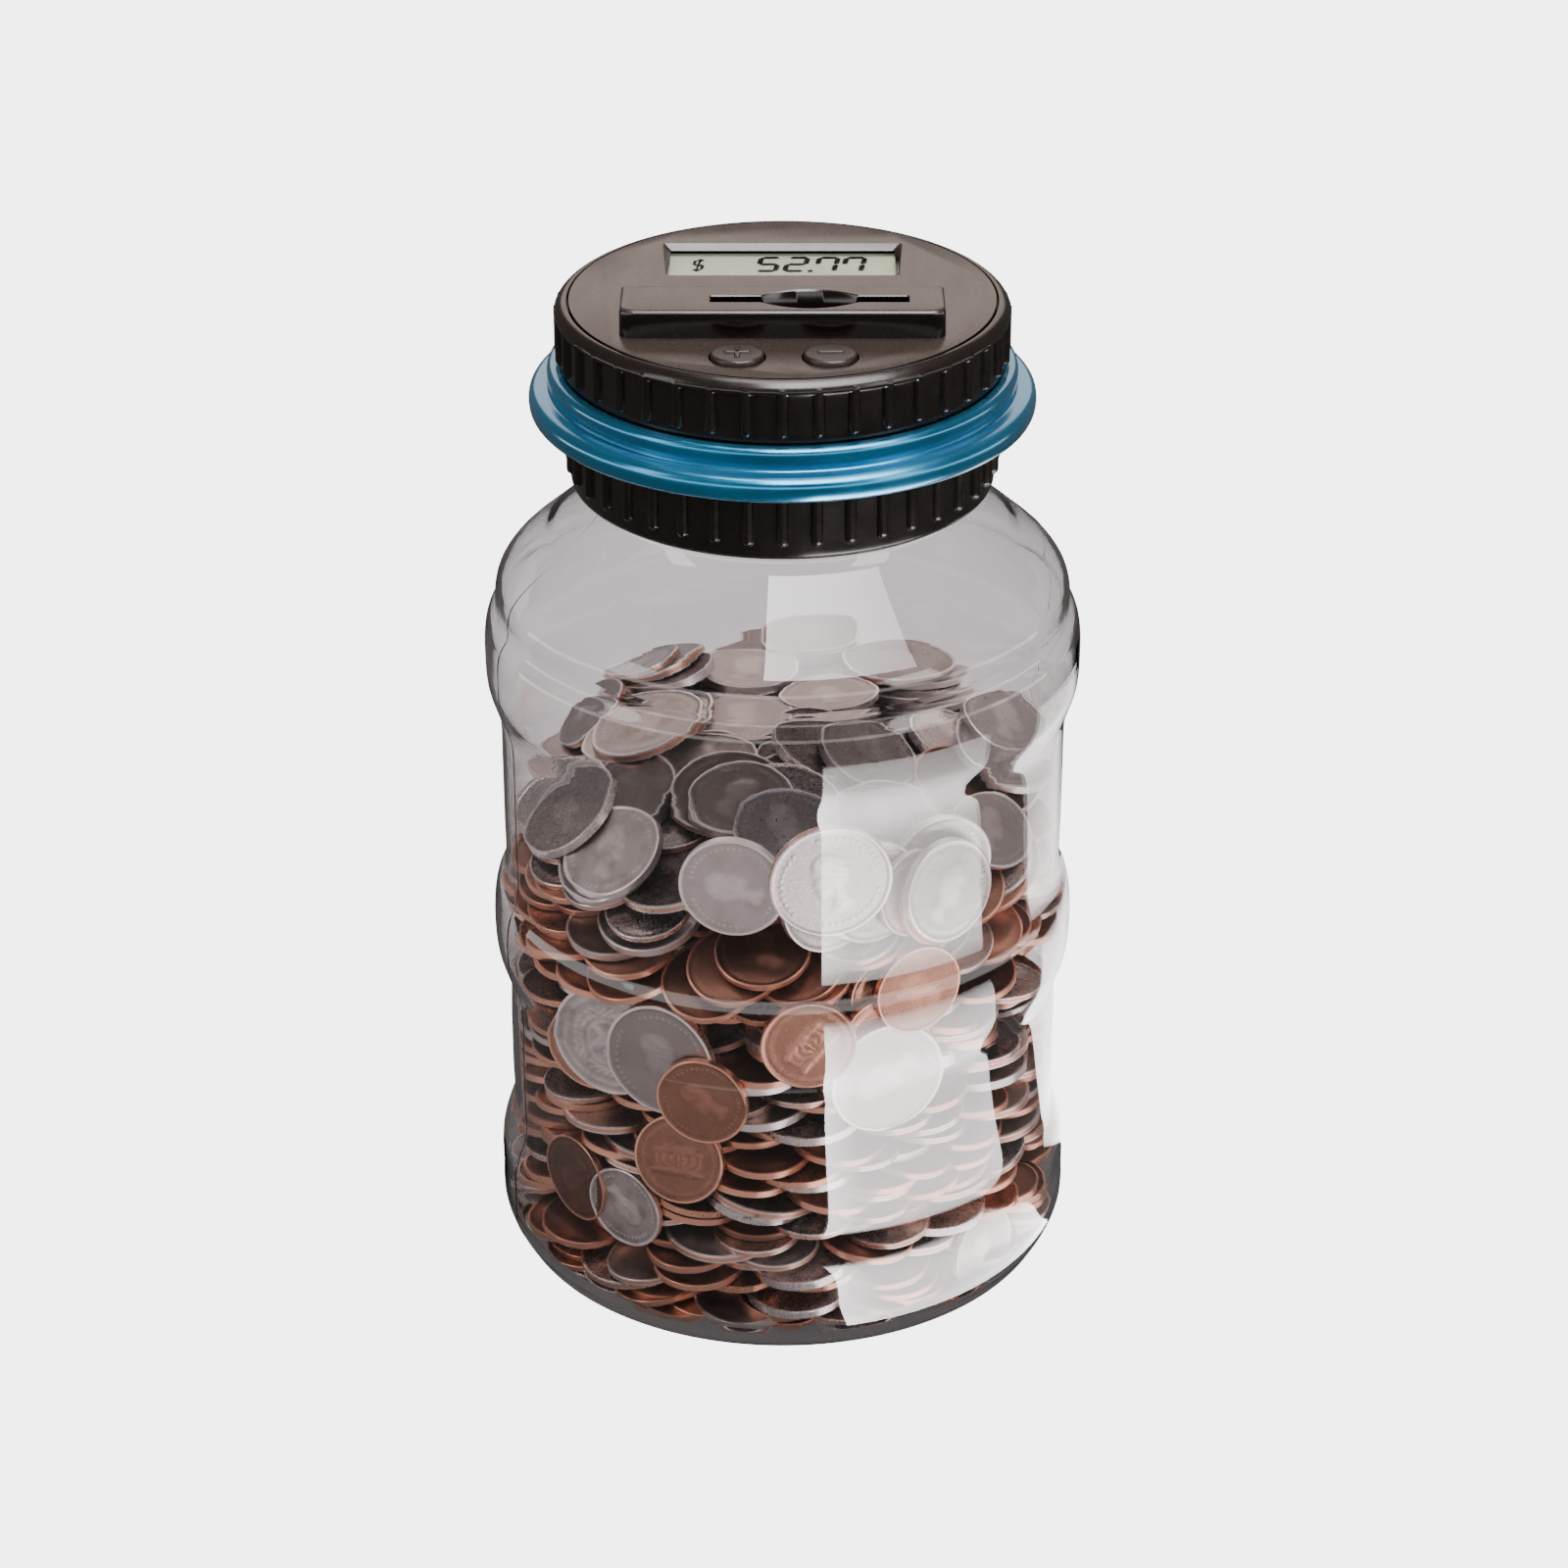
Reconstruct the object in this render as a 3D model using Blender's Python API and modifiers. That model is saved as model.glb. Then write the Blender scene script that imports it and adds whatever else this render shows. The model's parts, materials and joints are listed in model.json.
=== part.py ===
"""Coin counting jar with a screw-on digital lid.

A clear blow-moulded jar with three bulging bands and a screw neck, and a round
black lid: ribbed cap, slip-on coloured ring, top cover with a raised coin slot,
a display window and two push buttons.  Inside the lid: circuit board, display,
coin chute with a sprung sizing lever, two cells and a battery door.

Frame: metres, +Z up, origin at the middle of the base, front of the lid at -Y.
"""
import bpy
import bmesh
import math
from mathutils import Matrix, Vector

MM = 0.001

# ------------------------------------------------------------------ dimensions (mm)
SEG = 40                 # facets round every large turned piece
RIBS = 40                # grip ribs round the cap

# jar
JAR_WALL = 1.2
BASE_REST_IN = 46.0      # flat ring that the jar stands on
BASE_REST_OUT = 55.5
BASE_PUSH_UP = 5.6
WAIST_LOW_R = 57.4
WAIST_HIGH_R = 57.6
FOOT_R = 60.0
BAND_MID_R = 60.1
BAND_TOP_R = 60.5
NECK_R = 38.2
NECK_WALL = 1.4
RIM_Z = 190.0

# screw thread
PITCH = 5.0
THREAD_BASE_W = 2.2
THREAD_CREST_W = 1.0
MALE_CREST_R = 39.6
MALE_ROOT_R = 37.5
MALE_Z0 = 179.0
MALE_TURNS = 1.2
FEMALE_CREST_R = 38.9
FEMALE_ROOT_R = 41.0
FEMALE_DROP = 2.0        # female ridge runs this far under the male one
FEMALE_TURNS = 1.0

# ribbed cap
SKIRT_Z0 = 171.4
SKIRT_IN_R = 40.3
SKIRT_OUT_R = 42.2
CAP_STEP_Z = 196.4
CAP_CORE_R = 43.9
CAP_BAND_R = 44.85
CAP_IN_R = 41.5
WEB_Z0, WEB_Z1 = 191.9, 193.9
WEB_IN_R = 32.5
REBATE_R = 42.3
REBATE_Z = 206.6
RIB_R = 1.2
RIB_UP_C = 43.8
RIB_LOW_C = 42.1
RIB_UP_Z = (197.3, 207.0)
RIB_LOW_Z = (174.2, 195.6)

# coloured ring
RING_IN_R = 43.7
RING_Z0, RING_Z1 = 186.4, 196.1
FLANGE_R = 50.2
BEAD_R = 46.5

# top cover
COVER_R = 42.0
COVER_Z0, COVER_Z1 = 206.9, 209.1
PLAT_HALF_X = 31.4
PLAT_FRONT_Y = -22.3
PLAT_BACK_Y = -8.6
PLAT_FOOT_Y = -1.5
PLAT_TOP_Z = 214.6

# coin slot
SLOT_X, SLOT_Y = 5.2, -15.5
SLOT_LEN, SLOT_W = 38.2, 3.4
SCOOP_HALF_LEN, SCOOP_HALF_W = 11.6, 4.9
SCOOP_LOW_HALF_LEN, SCOOP_LOW_HALF_W = 10.0, 3.0

# display
WIN_BACK_X, WIN_FRONT_X, WIN_Y0, WIN_Y1 = 24.1, 23.0, 11.5, 29.4
WIN_LOW_HALF_X, WIN_LOW_Y0, WIN_LOW_Y1 = 22.6, 12.0, 28.4

# buttons
BTN_X = {"plus": -8.6, "minus": 9.1}
BTN_Y = -31.8
BTN_R = 5.1
BTN_HOLE_R = 5.4
BTN_TOP_Z = 210.2

# electronics
PCB_R = 31.8
PCB_Z0, PCB_Z1 = 200.5, 202.0
CASE_SCREW_R = 35.0
CASE_SCREW_ANGLES = (90.0, 190.0, 350.0)
PCB_SCREW_XY = ((-27.0, 4.0), (27.0, 4.0))

# coin chute and its lever
CHUTE_X0, CHUTE_X1 = -15.0, 25.0
CHUTE_Y0, CHUTE_Y1 = -17.7, -13.3
CHUTE_Z0, CHUTE_Z1 = 184.0, 206.6
CHUTE_WALL = 0.8
PIVOT_X, PIVOT_Z = 28.4, 202.6
TIP_X, TIP_Z = 3.4, 187.0

# cells and tray
CELL_R, CELL_HALF_LEN = 5.25, 22.25
CELL_Z = 191.05
CELL_Y = (1.6, 12.6)
TRAY_IN_R, TRAY_OUT_R = 32.4, 33.2
TRAY_Z0, TRAY_Z1 = 184.0, 185.2
TRAY_TOP = 191.6
TRAY_FLANGE_R = 36.3
DOOR_HALF_X, DOOR_Y0, DOOR_Y1 = 22.95, -4.5, 18.6
DOOR_TAB_HALF_X, DOOR_TAB_Y = 3.5, 25.0
DOOR_SCREW_Y = 22.4
GAP = 0.3

# ------------------------------------------------------------------ scene
for ob in list(bpy.data.objects):
    bpy.data.objects.remove(ob, do_unlink=True)

PARTS = bpy.data.collections.new("coin_counting_jar")
CUTTERS = bpy.data.collections.new("coin_counting_jar_cutters")
bpy.context.scene.collection.children.link(PARTS)
bpy.context.scene.collection.children.link(CUTTERS)


def material(name, rgb, rough=0.4, metal=0.0, alpha=1.0, transmission=0.0):
    m = bpy.data.materials.get(name)
    if m:
        return m
    m = bpy.data.materials.new(name)
    m.use_nodes = True
    b = m.node_tree.nodes["Principled BSDF"]
    b.inputs["Base Color"].default_value = (rgb[0], rgb[1], rgb[2], 1.0)
    b.inputs["Roughness"].default_value = rough
    b.inputs["Metallic"].default_value = metal
    b.inputs["Alpha"].default_value = alpha
    b.inputs["Transmission Weight"].default_value = transmission
    m.diffuse_color = (rgb[0], rgb[1], rgb[2], alpha)
    return m


CLEAR = material("clear_pet", (0.80, 0.78, 0.80), 0.08, 0.0, 0.35, 0.9)
BLUE = material("ring_blue", (0.03, 0.35, 0.55), 0.12, 0.0, 0.9, 0.3)
BLACK = material("cap_black", (0.030, 0.024, 0.022), 0.28)
COVER = material("cover_black", (0.045, 0.038, 0.035), 0.32)
BUTTON = material("button_black", (0.050, 0.043, 0.040), 0.38)
RUBBER = material("gasket_foam", (0.55, 0.56, 0.56), 0.85)
LENS = material("lens_clear", (0.85, 0.87, 0.84), 0.05, 0.0, 0.3, 0.9)
LCD = material("lcd_glass", (0.50, 0.50, 0.42), 0.2)
ZEBRA = material("zebra_rubber", (0.30, 0.22, 0.25), 0.7)
BOARD = material("board_green", (0.03, 0.20, 0.08), 0.5)
EPOXY = material("chip_epoxy", (0.01, 0.01, 0.01), 0.25)
SWITCH = material("switch_body", (0.06, 0.06, 0.07), 0.5)
CHUTE = material("chute_black", (0.05, 0.05, 0.05), 0.45)
LEVER = material("lever_acetal", (0.80, 0.80, 0.76), 0.4)
STEEL = material("steel", (0.60, 0.60, 0.62), 0.25, 1.0)
NICKEL = material("nickel_plate", (0.66, 0.64, 0.58), 0.22, 1.0)
CELL = material("cell_jacket", (0.16, 0.17, 0.20), 0.3)
TRAY = material("tray_black", (0.04, 0.04, 0.04), 0.45)


def add_object(name, mesh, mat=None, coll=PARTS):
    ob = bpy.data.objects.new(name, mesh)
    coll.objects.link(ob)
    if mat is not None:
        mesh.materials.append(mat)
    if coll is CUTTERS:
        ob.hide_render = True
        ob.display_type = 'WIRE'
    return ob


def from_bmesh(name, bm, mat=None, coll=PARTS, smooth=False, shift=(0, 0, 0)):
    """Turn a bmesh drawn in millimetres into an object whose origin is `shift`."""
    bmesh.ops.transform(bm, matrix=Matrix.Scale(MM, 4) @ Matrix.Translation(-Vector(shift)),
                        verts=bm.verts)
    bmesh.ops.recalc_face_normals(bm, faces=bm.faces)
    mesh = bpy.data.meshes.new(name)
    bm.to_mesh(mesh)
    bm.free()
    if smooth:
        mesh.shade_smooth()
        mesh.set_sharp_from_angle(angle=math.radians(32))
    ob = add_object(name, mesh, mat, coll)
    ob.location = Vector(shift) * MM
    return ob


def put_box(bm, x0, x1, y0, y1, z0, z1):
    size = Matrix.Diagonal((x1 - x0, y1 - y0, z1 - z0, 1.0))
    mid = Matrix.Translation(((x0 + x1) / 2, (y0 + y1) / 2, (z0 + z1) / 2))
    return bmesh.ops.create_cube(bm, size=1.0, matrix=mid @ size)["verts"]


def put_cyl(bm, x, y, z0, z1, r, seg=16, r_top=None, turn=0.0):
    mid = Matrix.Translation((x, y, (z0 + z1) / 2)) @ Matrix.Rotation(turn, 4, 'Z')
    return bmesh.ops.create_cone(bm, cap_ends=True, cap_tris=False, segments=seg, radius1=r,
                                 radius2=r if r_top is None else r_top,
                                 depth=z1 - z0, matrix=mid)["verts"]


def put_cyl_along(bm, axis, centre, half, r, seg=16, turn=0.0):
    quarter = {'X': Matrix.Rotation(math.pi / 2, 4, 'Y'),
               'Y': Matrix.Rotation(math.pi / 2, 4, 'X')}[axis]
    mid = Matrix.Translation(centre) @ quarter @ Matrix.Rotation(turn, 4, 'Z')
    return bmesh.ops.create_cone(bm, cap_ends=True, cap_tris=False, segments=seg, radius1=r,
                                 radius2=r, depth=2 * half, matrix=mid)["verts"]


def box(name, x0, x1, y0, y1, z0, z1, mat=None, coll=PARTS):
    bm = bmesh.new()
    put_box(bm, x0, x1, y0, y1, z0, z1)
    return from_bmesh(name, bm, mat, coll)


def cyl(name, x, y, z0, z1, r, seg=16, mat=None, coll=PARTS, turn=0.0):
    bm = bmesh.new()
    put_cyl(bm, x, y, z0, z1, r, seg, None, turn)
    return from_bmesh(name, bm, mat, coll, smooth=coll is PARTS)


def boolean(ob, other, operation):
    m = ob.modifiers.new(operation.lower() + "_" + other.name, 'BOOLEAN')
    m.operation = operation
    m.solver = 'EXACT'
    m.object = other
    return m


def cut(ob, other):
    return boolean(ob, other, 'DIFFERENCE')


def join(ob, other):
    return boolean(ob, other, 'UNION')


def bevel(ob, width, segments=2, angle=40.0):
    m = ob.modifiers.new("edges", 'BEVEL')
    m.width = width * MM
    m.segments = segments
    m.limit_method = 'ANGLE'
    m.angle_limit = math.radians(angle)
    m.use_clamp_overlap = True
    return m


def turned(name, profile, mat=None, closed=True, seg=SEG, turn=0.0, coll=PARTS):
    """Profile points (r, z) in mm, running down the outer side, turned about Z."""
    bm = bmesh.new()
    ring = [bm.verts.new((r, 0.0, z)) for r, z in profile]
    for a, b in zip(ring, ring[1:]):
        bm.edges.new((a, b))
    if closed:
        bm.edges.new((ring[-1], ring[0]))
    bmesh.ops.transform(bm, matrix=Matrix.Scale(MM, 4), verts=bm.verts)
    mesh = bpy.data.meshes.new(name)
    bm.to_mesh(mesh)
    bm.free()
    ob = add_object(name, mesh, mat, coll)
    s = ob.modifiers.new("turn", 'SCREW')
    s.axis = 'Z'
    s.angle = 2 * math.pi
    s.steps = seg
    s.render_steps = seg
    s.use_merge_vertices = True
    s.merge_threshold = 1e-6
    s.use_smooth_shade = True
    ob.rotation_euler = (0.0, 0.0, turn)
    return ob


def offset_line(points, distance):
    """Shift an (r, z) line sideways by `distance`, to its right-hand side."""
    out = []
    for i, (r, z) in enumerate(points):
        a = Vector(points[max(i - 1, 0)])
        b = Vector(points[min(i + 1, len(points) - 1)])
        d = (b - a).normalized()
        out.append((r + d.y * distance, z - d.x * distance))
    return out


def helix_ridge(name, z0, turns, root_r, crest_r, phase=0.5):
    """Trapezoid ridge along a right-hand helix, with its ends run out."""
    steps = int(round(turns * SEG))
    bm = bmesh.new()
    rings = []
    for i in range(steps + 1):
        a = 2 * math.pi * (i + phase) / SEG
        z = z0 + PITCH * i / SEG
        fade = min(1.0, 0.15 + i / 3.0, 0.15 + (steps - i) / 3.0)
        crest = root_r + (crest_r - root_r) * (0.45 + 0.55 * fade)
        hb, hc = THREAD_BASE_W / 2, THREAD_CREST_W / 2
        # the flank widens below the wall surface so that the root stays buried
        section = ((root_r, -hb - 0.25), (crest, -hc), (crest, hc), (root_r, hb + 0.25))
        rings.append([bm.verts.new((r * math.cos(a), r * math.sin(a), z + dz))
                      for r, dz in section])
    for p, q in zip(rings, rings[1:]):
        for k in range(4):
            bm.faces.new((p[k], p[(k + 1) % 4], q[(k + 1) % 4], q[k]))
    bm.faces.new(rings[0])
    bm.faces.new(rings[-1])
    return from_bmesh(name, bm, None, CUTTERS)


def lens_loft(name, levels, points=9):
    """Closed solid between pointed-lens outlines (z, half length, half width)."""
    bm = bmesh.new()
    rings = []
    for z, half_len, half_w in levels:
        upper = []
        for i in range(points + 1):
            x = -half_len + 2 * half_len * i / points
            upper.append((x, half_w * (1 - (x / half_len) ** 2)))
        line = upper + [(x, -y) for x, y in reversed(upper[1:-1])]
        rings.append([bm.verts.new((SLOT_X + x, SLOT_Y + y, z)) for x, y in line])
    n = len(rings[0])
    for p, q in zip(rings, rings[1:]):
        for k in range(n):
            bm.faces.new((p[k], p[(k + 1) % n], q[(k + 1) % n], q[k]))
    bm.faces.new(rings[0])
    bm.faces.new(rings[-1])
    return from_bmesh(name, bm, None, CUTTERS)


def flat_outline(name, points, z0, z1, mat=None, coll=PARTS):
    """A flat plate from a 2D curve outline (x, y) in mm, made a mesh."""
    cu = bpy.data.curves.new(name + "_outline", 'CURVE')
    cu.dimensions = '2D'
    cu.fill_mode = 'BOTH'
    cu.extrude = (z1 - z0) / 2 * MM
    sp = cu.splines.new('POLY')
    sp.points.add(len(points) - 1)
    for p, (x, y) in zip(sp.points, points):
        p.co = (x * MM, y * MM, 0.0, 1.0)
    sp.use_cyclic_u = True
    tmp = bpy.data.objects.new(name + "_outline", cu)
    tmp.location = (0, 0, (z0 + z1) / 2 * MM)
    PARTS.objects.link(tmp)
    return curve_to_mesh(tmp, name, mat, coll)


def curve_to_mesh(tmp, name, mat=None, coll=PARTS, tilt=None):
    bpy.context.view_layer.update()
    dg = bpy.context.evaluated_depsgraph_get()
    mesh = bpy.data.meshes.new_from_object(tmp.evaluated_get(dg))
    world = tmp.matrix_world.copy()
    bm = bmesh.new()
    bm.from_mesh(mesh)
    bmesh.ops.remove_doubles(bm, verts=bm.verts, dist=1e-6)
    bmesh.ops.recalc_face_normals(bm, faces=bm.faces)
    bm.to_mesh(mesh)
    bm.free()
    mesh.name = name
    mesh.materials.clear()
    bpy.data.objects.remove(tmp, do_unlink=True)
    ob = add_object(name, mesh, mat, coll)
    ob.matrix_world = world
    return ob


def arc(cx, cy, r, a0, a1, n):
    return [(cx + r * math.cos(math.radians(a0 + (a1 - a0) * i / n)),
             cy + r * math.sin(math.radians(a0 + (a1 - a0) * i / n))) for i in range(n + 1)]


# ------------------------------------------------------------------ jar
outer = [
    (37.8, RIM_Z), (NECK_R, RIM_Z - 0.5), (NECK_R, 171.0), (38.5, 169.3), (39.6, 167.3),
    (41.8, 165.0), (48.6, 159.0), (52.1, 156.0), (55.4, 153.0), (57.4, 150.2),
    (58.1, 147.4), (58.2, 144.2), (59.8, 141.4), (60.4, 138.4), (BAND_TOP_R, 134.0),
    (60.2, 128.4), (59.0, 124.5), (58.1, 121.6), (57.7, 118.0),
    (WAIST_HIGH_R, 86.5), (58.3, 83.2), (59.5, 80.6), (BAND_MID_R, 77.0), (BAND_MID_R, 70.0),
    (59.6, 66.8), (58.5, 63.4), (WAIST_LOW_R, 59.8), (WAIST_LOW_R, 28.4), (58.9, 24.0),
    (FOOT_R, 20.0), (FOOT_R, 8.0), (59.0, 5.0), (57.6, 2.4), (56.5, 0.7), (BASE_REST_OUT, 0.0),
    (BASE_REST_IN, 0.0), (44.6, 0.9), (38.0, 3.8), (20.0, BASE_PUSH_UP), (0.0, BASE_PUSH_UP),
]
# every other outer point is enough for the inner wall, always keeping the bands' ends
body = [p for p in outer if p[1] < 171.5]
inside = offset_line(body, JAR_WALL)
keep = [p for i, p in enumerate(inside) if i % 2 == 0 or i >= len(inside) - 5]
keep = [(r, z) for r, z in keep if r >= 0.0 and z > 0.9]
keep[-1] = (0.0, BASE_PUSH_UP + JAR_WALL)
inner_neck = [(NECK_R - NECK_WALL, 170.6), (NECK_R - NECK_WALL, RIM_Z - 0.5), (37.1, RIM_Z)]
below = [p for p in keep if p[1] < 169.0]
jar_profile = list(reversed(below)) + inner_neck + outer
jar = turned("jar_body", jar_profile, CLEAR, closed=False)
join(jar, helix_ridge("cut_male_thread", MALE_Z0, MALE_TURNS, MALE_ROOT_R, MALE_CREST_R))

# ------------------------------------------------------------------ coloured ring
ring_profile = [
    (RING_IN_R, RING_Z1), (45.7, RING_Z1), (BEAD_R, 195.2), (BEAD_R, 192.6), (46.0, 191.7),
    (48.9, 191.3), (49.9, 190.6), (FLANGE_R, 189.5), (FLANGE_R, 187.5), (49.4, RING_Z0),
    (RING_IN_R, RING_Z0),
]
turned("blue_ring", ring_profile, BLUE, turn=math.radians(4.5))

# ------------------------------------------------------------------ ribbed cap
cap_profile = [
    (REBATE_R, 208.9), (42.7, 209.0), (43.6, 208.6), (44.4, 207.9), (CAP_BAND_R, 206.9),
    (CAP_BAND_R, 206.4), (CAP_CORE_R, 206.1), (CAP_CORE_R, CAP_STEP_Z), (SKIRT_OUT_R, CAP_STEP_Z),
    (SKIRT_OUT_R, 172.3), (41.7, SKIRT_Z0), (SKIRT_IN_R, SKIRT_Z0), (SKIRT_IN_R, WEB_Z0),
    (WEB_IN_R, WEB_Z0), (WEB_IN_R, WEB_Z1), (CAP_IN_R, WEB_Z1), (CAP_IN_R, REBATE_Z),
    (REBATE_R, REBATE_Z),
]
cap = turned("ribbed_cap", cap_profile, BLACK, turn=math.radians(4.5))
bm = bmesh.new()
for k in range(RIBS):
    a = 2 * math.pi * k / RIBS
    for centre, (z0, z1) in ((RIB_UP_C, RIB_UP_Z), (RIB_LOW_C, RIB_LOW_Z)):
        put_cyl(bm, centre * math.cos(a), centre * math.sin(a), z0, z1, RIB_R, 6, None, a)
join(cap, from_bmesh("cut_ribs", bm, None, CUTTERS))
join(cap, helix_ridge("cut_female_thread", MALE_Z0 - FEMALE_DROP, FEMALE_TURNS,
                      FEMALE_ROOT_R, FEMALE_CREST_R, 0.0))
bm = bmesh.new()
case_xy = [(CASE_SCREW_R * math.cos(math.radians(a)), CASE_SCREW_R * math.sin(math.radians(a)))
           for a in CASE_SCREW_ANGLES]
for x, y in case_xy:
    put_cyl(bm, x, y, WEB_Z0 - 2, WEB_Z1 + 2, 1.15, 8)
cut(cap, from_bmesh("cut_web_holes", bm, None, CUTTERS))

turned("sealing_gasket", [(36.8, 191.6), (39.8, 191.6), (39.8, 190.3), (36.8, 190.3)], RUBBER)

# ------------------------------------------------------------------ top cover
bm = bmesh.new()
put_cyl(bm, 0, 0, COVER_Z0, COVER_Z1, COVER_R, SEG, None, math.radians(4.5))
top = from_bmesh("top_cover", bm, COVER, smooth=True)

# raised coin platform: upright front, sloping back, rounded front corners
bm = bmesh.new()
verts = put_box(bm, -PLAT_HALF_X, PLAT_HALF_X, PLAT_FRONT_Y, PLAT_FOOT_Y, COVER_Z0 + 0.6,
                PLAT_TOP_Z)
for v in verts:
    if v.co.z > PLAT_TOP_Z - 0.1 and v.co.y > PLAT_BACK_Y:
        v.co.y = PLAT_BACK_Y
corners = [e for e in bm.edges
           if all(abs(v.co.y - PLAT_FRONT_Y) < 0.01 for v in e.verts)
           and abs(e.verts[0].co.x - e.verts[1].co.x) < 0.01]
bmesh.ops.bevel(bm, geom=corners, offset=2.6, offset_type='OFFSET', segments=3, profile=0.5,
                affect='EDGES')
rim = [e for e in bm.edges if all(abs(v.co.z - PLAT_TOP_Z) < 0.01 for v in e.verts)]
bmesh.ops.bevel(bm, geom=rim, offset=0.7, offset_type='OFFSET', segments=2, profile=0.5,
                affect='EDGES')
join(top, from_bmesh("cut_platform", bm, None, CUTTERS))

# bosses that take the case screws and the board screws
bm = bmesh.new()
for x, y in case_xy:
    put_cyl(bm, x, y, WEB_Z1 + GAP, COVER_Z0 + 0.8, 2.1, 10)
for x, y in PCB_SCREW_XY:
    put_cyl(bm, x, y, PCB_Z1 + GAP, COVER_Z0 + 0.8, 2.2, 10)
join(top, from_bmesh("cut_bosses", bm, None, CUTTERS))

bm = bmesh.new()
for x, y in case_xy:
    put_cyl(bm, x, y, WEB_Z1 - 1.0, 201.5, 1.15, 8)
for x, y in PCB_SCREW_XY:
    put_cyl(bm, x, y, PCB_Z1 - 1.0, 206.2, 1.15, 8)
for x in BTN_X.values():
    put_cyl(bm, x, BTN_Y, COVER_Z0 - 1, COVER_Z1 + 1, BTN_HOLE_R, 24)
cut(top, from_bmesh("cut_round_holes", bm, None, CUTTERS))

# pocket under the window and the bevelled window itself
cut(top, box("cut_lens_pocket", -24.9, 24.9, 10.3, 30.5, COVER_Z0 - 1, 207.8, None, CUTTERS))
bm = bmesh.new()
for v in put_box(bm, -1, 1, -1, 1, 207.3, COVER_Z1 + 0.4):
    up, back = v.co.z > 208, v.co.y > 0
    half_x = (WIN_BACK_X + 0.46 if back else WIN_FRONT_X + 0.12) if up else \
             (WIN_LOW_HALF_X - 0.58 if back else WIN_LOW_HALF_X - 0.15)
    v.co.x = math.copysign(half_x, v.co.x)
    v.co.y = (WIN_Y1 + 0.31 if up else WIN_LOW_Y1 - 0.38) if back else \
             (WIN_Y0 - 0.15 if up else WIN_LOW_Y0 + 0.19)
cut(top, from_bmesh("cut_window", bm, None, CUTTERS))

# coin slot with the finger scoop narrowing down into it
cut(top, box("cut_slot", SLOT_X - SLOT_LEN / 2, SLOT_X + SLOT_LEN / 2, SLOT_Y - SLOT_W / 2,
             SLOT_Y + SLOT_W / 2, COVER_Z0 - 1, PLAT_TOP_Z + 1, None, CUTTERS))
cut(top, lens_loft("cut_scoop", (
    (COVER_Z0 - 1.0, SCOOP_LOW_HALF_LEN, SCOOP_LOW_HALF_W),
    (PLAT_TOP_Z + 0.5, SCOOP_HALF_LEN + 0.1, SCOOP_HALF_W + 0.15))))

# ------------------------------------------------------------------ display
box("lcd_lens", -24.6, 24.6, 10.6, 30.2, 206.9, 207.5, LENS)
box("lcd_panel", -24.0, 24.0, 10.9, 29.9, 204.4, 206.6, LCD)
box("zebra_strip", -20.0, 20.0, 12.0, 14.2, 202.3, 204.1, ZEBRA)

# ------------------------------------------------------------------ buttons and switches
for label, x in BTN_X.items():
    bm = bmesh.new()
    put_cyl(bm, x, BTN_Y, 205.9, 206.6, 6.3, 20)
    flange = from_bmesh("cut_button_flange_" + label, bm, None, CUTTERS)
    bm = bmesh.new()
    put_cyl(bm, x, BTN_Y, 206.2, BTN_TOP_Z - 0.35, BTN_R, 20)
    put = [f for f in bm.faces if f.calc_center_median().z > BTN_TOP_Z - 0.36]
    top_face = bmesh.ops.inset_region(bm, faces=put, thickness=0.35, depth=0.35)
    b = from_bmesh("button_" + label, bm, BUTTON, smooth=True, shift=(x, BTN_Y, 206.6))
    join(b, flange)

    bm = bmesh.new()
    put_box(bm, x - 3.0, x + 3.0, BTN_Y - 3.0, BTN_Y + 3.0, PCB_Z1 + GAP, 204.4)
    s = from_bmesh("switch_" + label, bm, SWITCH)
    join(s, cyl("cut_plunger_" + label, x, BTN_Y, 204.0, 205.1, 1.75, 12, None, CUTTERS))

# ------------------------------------------------------------------ circuit board
bm = bmesh.new()
put_cyl(bm, 0, 0, PCB_Z0, PCB_Z1, PCB_R, SEG)
pcb = from_bmesh("main_pcb", bm, BOARD)
join(pcb, box("cut_pcb_tab", -14.0, 14.0, -36.2, -22.0, PCB_Z0, PCB_Z1, None, CUTTERS))
bm = bmesh.new()
put_box(bm, CHUTE_X0 - CHUTE_WALL - 0.5, 36.0, CHUTE_Y0 - CHUTE_WALL - 0.5,
        CHUTE_Y1 + CHUTE_WALL + 0.5, PCB_Z0 - 1, PCB_Z1 + 1)
for x, y in PCB_SCREW_XY:
    put_cyl(bm, x, y, PCB_Z0 - 1, PCB_Z1 + 1, 1.25, 8)
cut(pcb, from_bmesh("cut_pcb_holes", bm, None, CUTTERS))
# the notch that clears the lever's spring
cut(pcb, box("cut_pcb_notch", 23.5, 36.2, CHUTE_Y0, -6.2, PCB_Z0 - 1.2, PCB_Z1 + 1.2, None,
             CUTTERS))
bm = bmesh.new()
put_cyl(bm, -9.0, 3.0, PCB_Z1 + GAP, PCB_Z1 + GAP + 1.3, 4.2, 16, 2.8)
from_bmesh("chip_blob", bm, EPOXY, smooth=True)

for k, (x, y) in enumerate(PCB_SCREW_XY):
    s = cyl("pcb_screw_%d" % (k + 1), x, y, 198.8, 200.2, 1.9, 12, STEEL)
    join(s, cyl("cut_pcb_shank_%d" % (k + 1), x, y, 199.5, 205.6, 0.85, 8, None, CUTTERS))
for k, (x, y) in enumerate(case_xy):
    s = cyl("case_screw_%d" % (k + 1), x, y, 188.8, 190.1, 1.45, 12, STEEL)
    join(s, cyl("cut_case_shank_%d" % (k + 1), x, y, 189.5, 200.8, 0.85, 8, None, CUTTERS))

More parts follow.
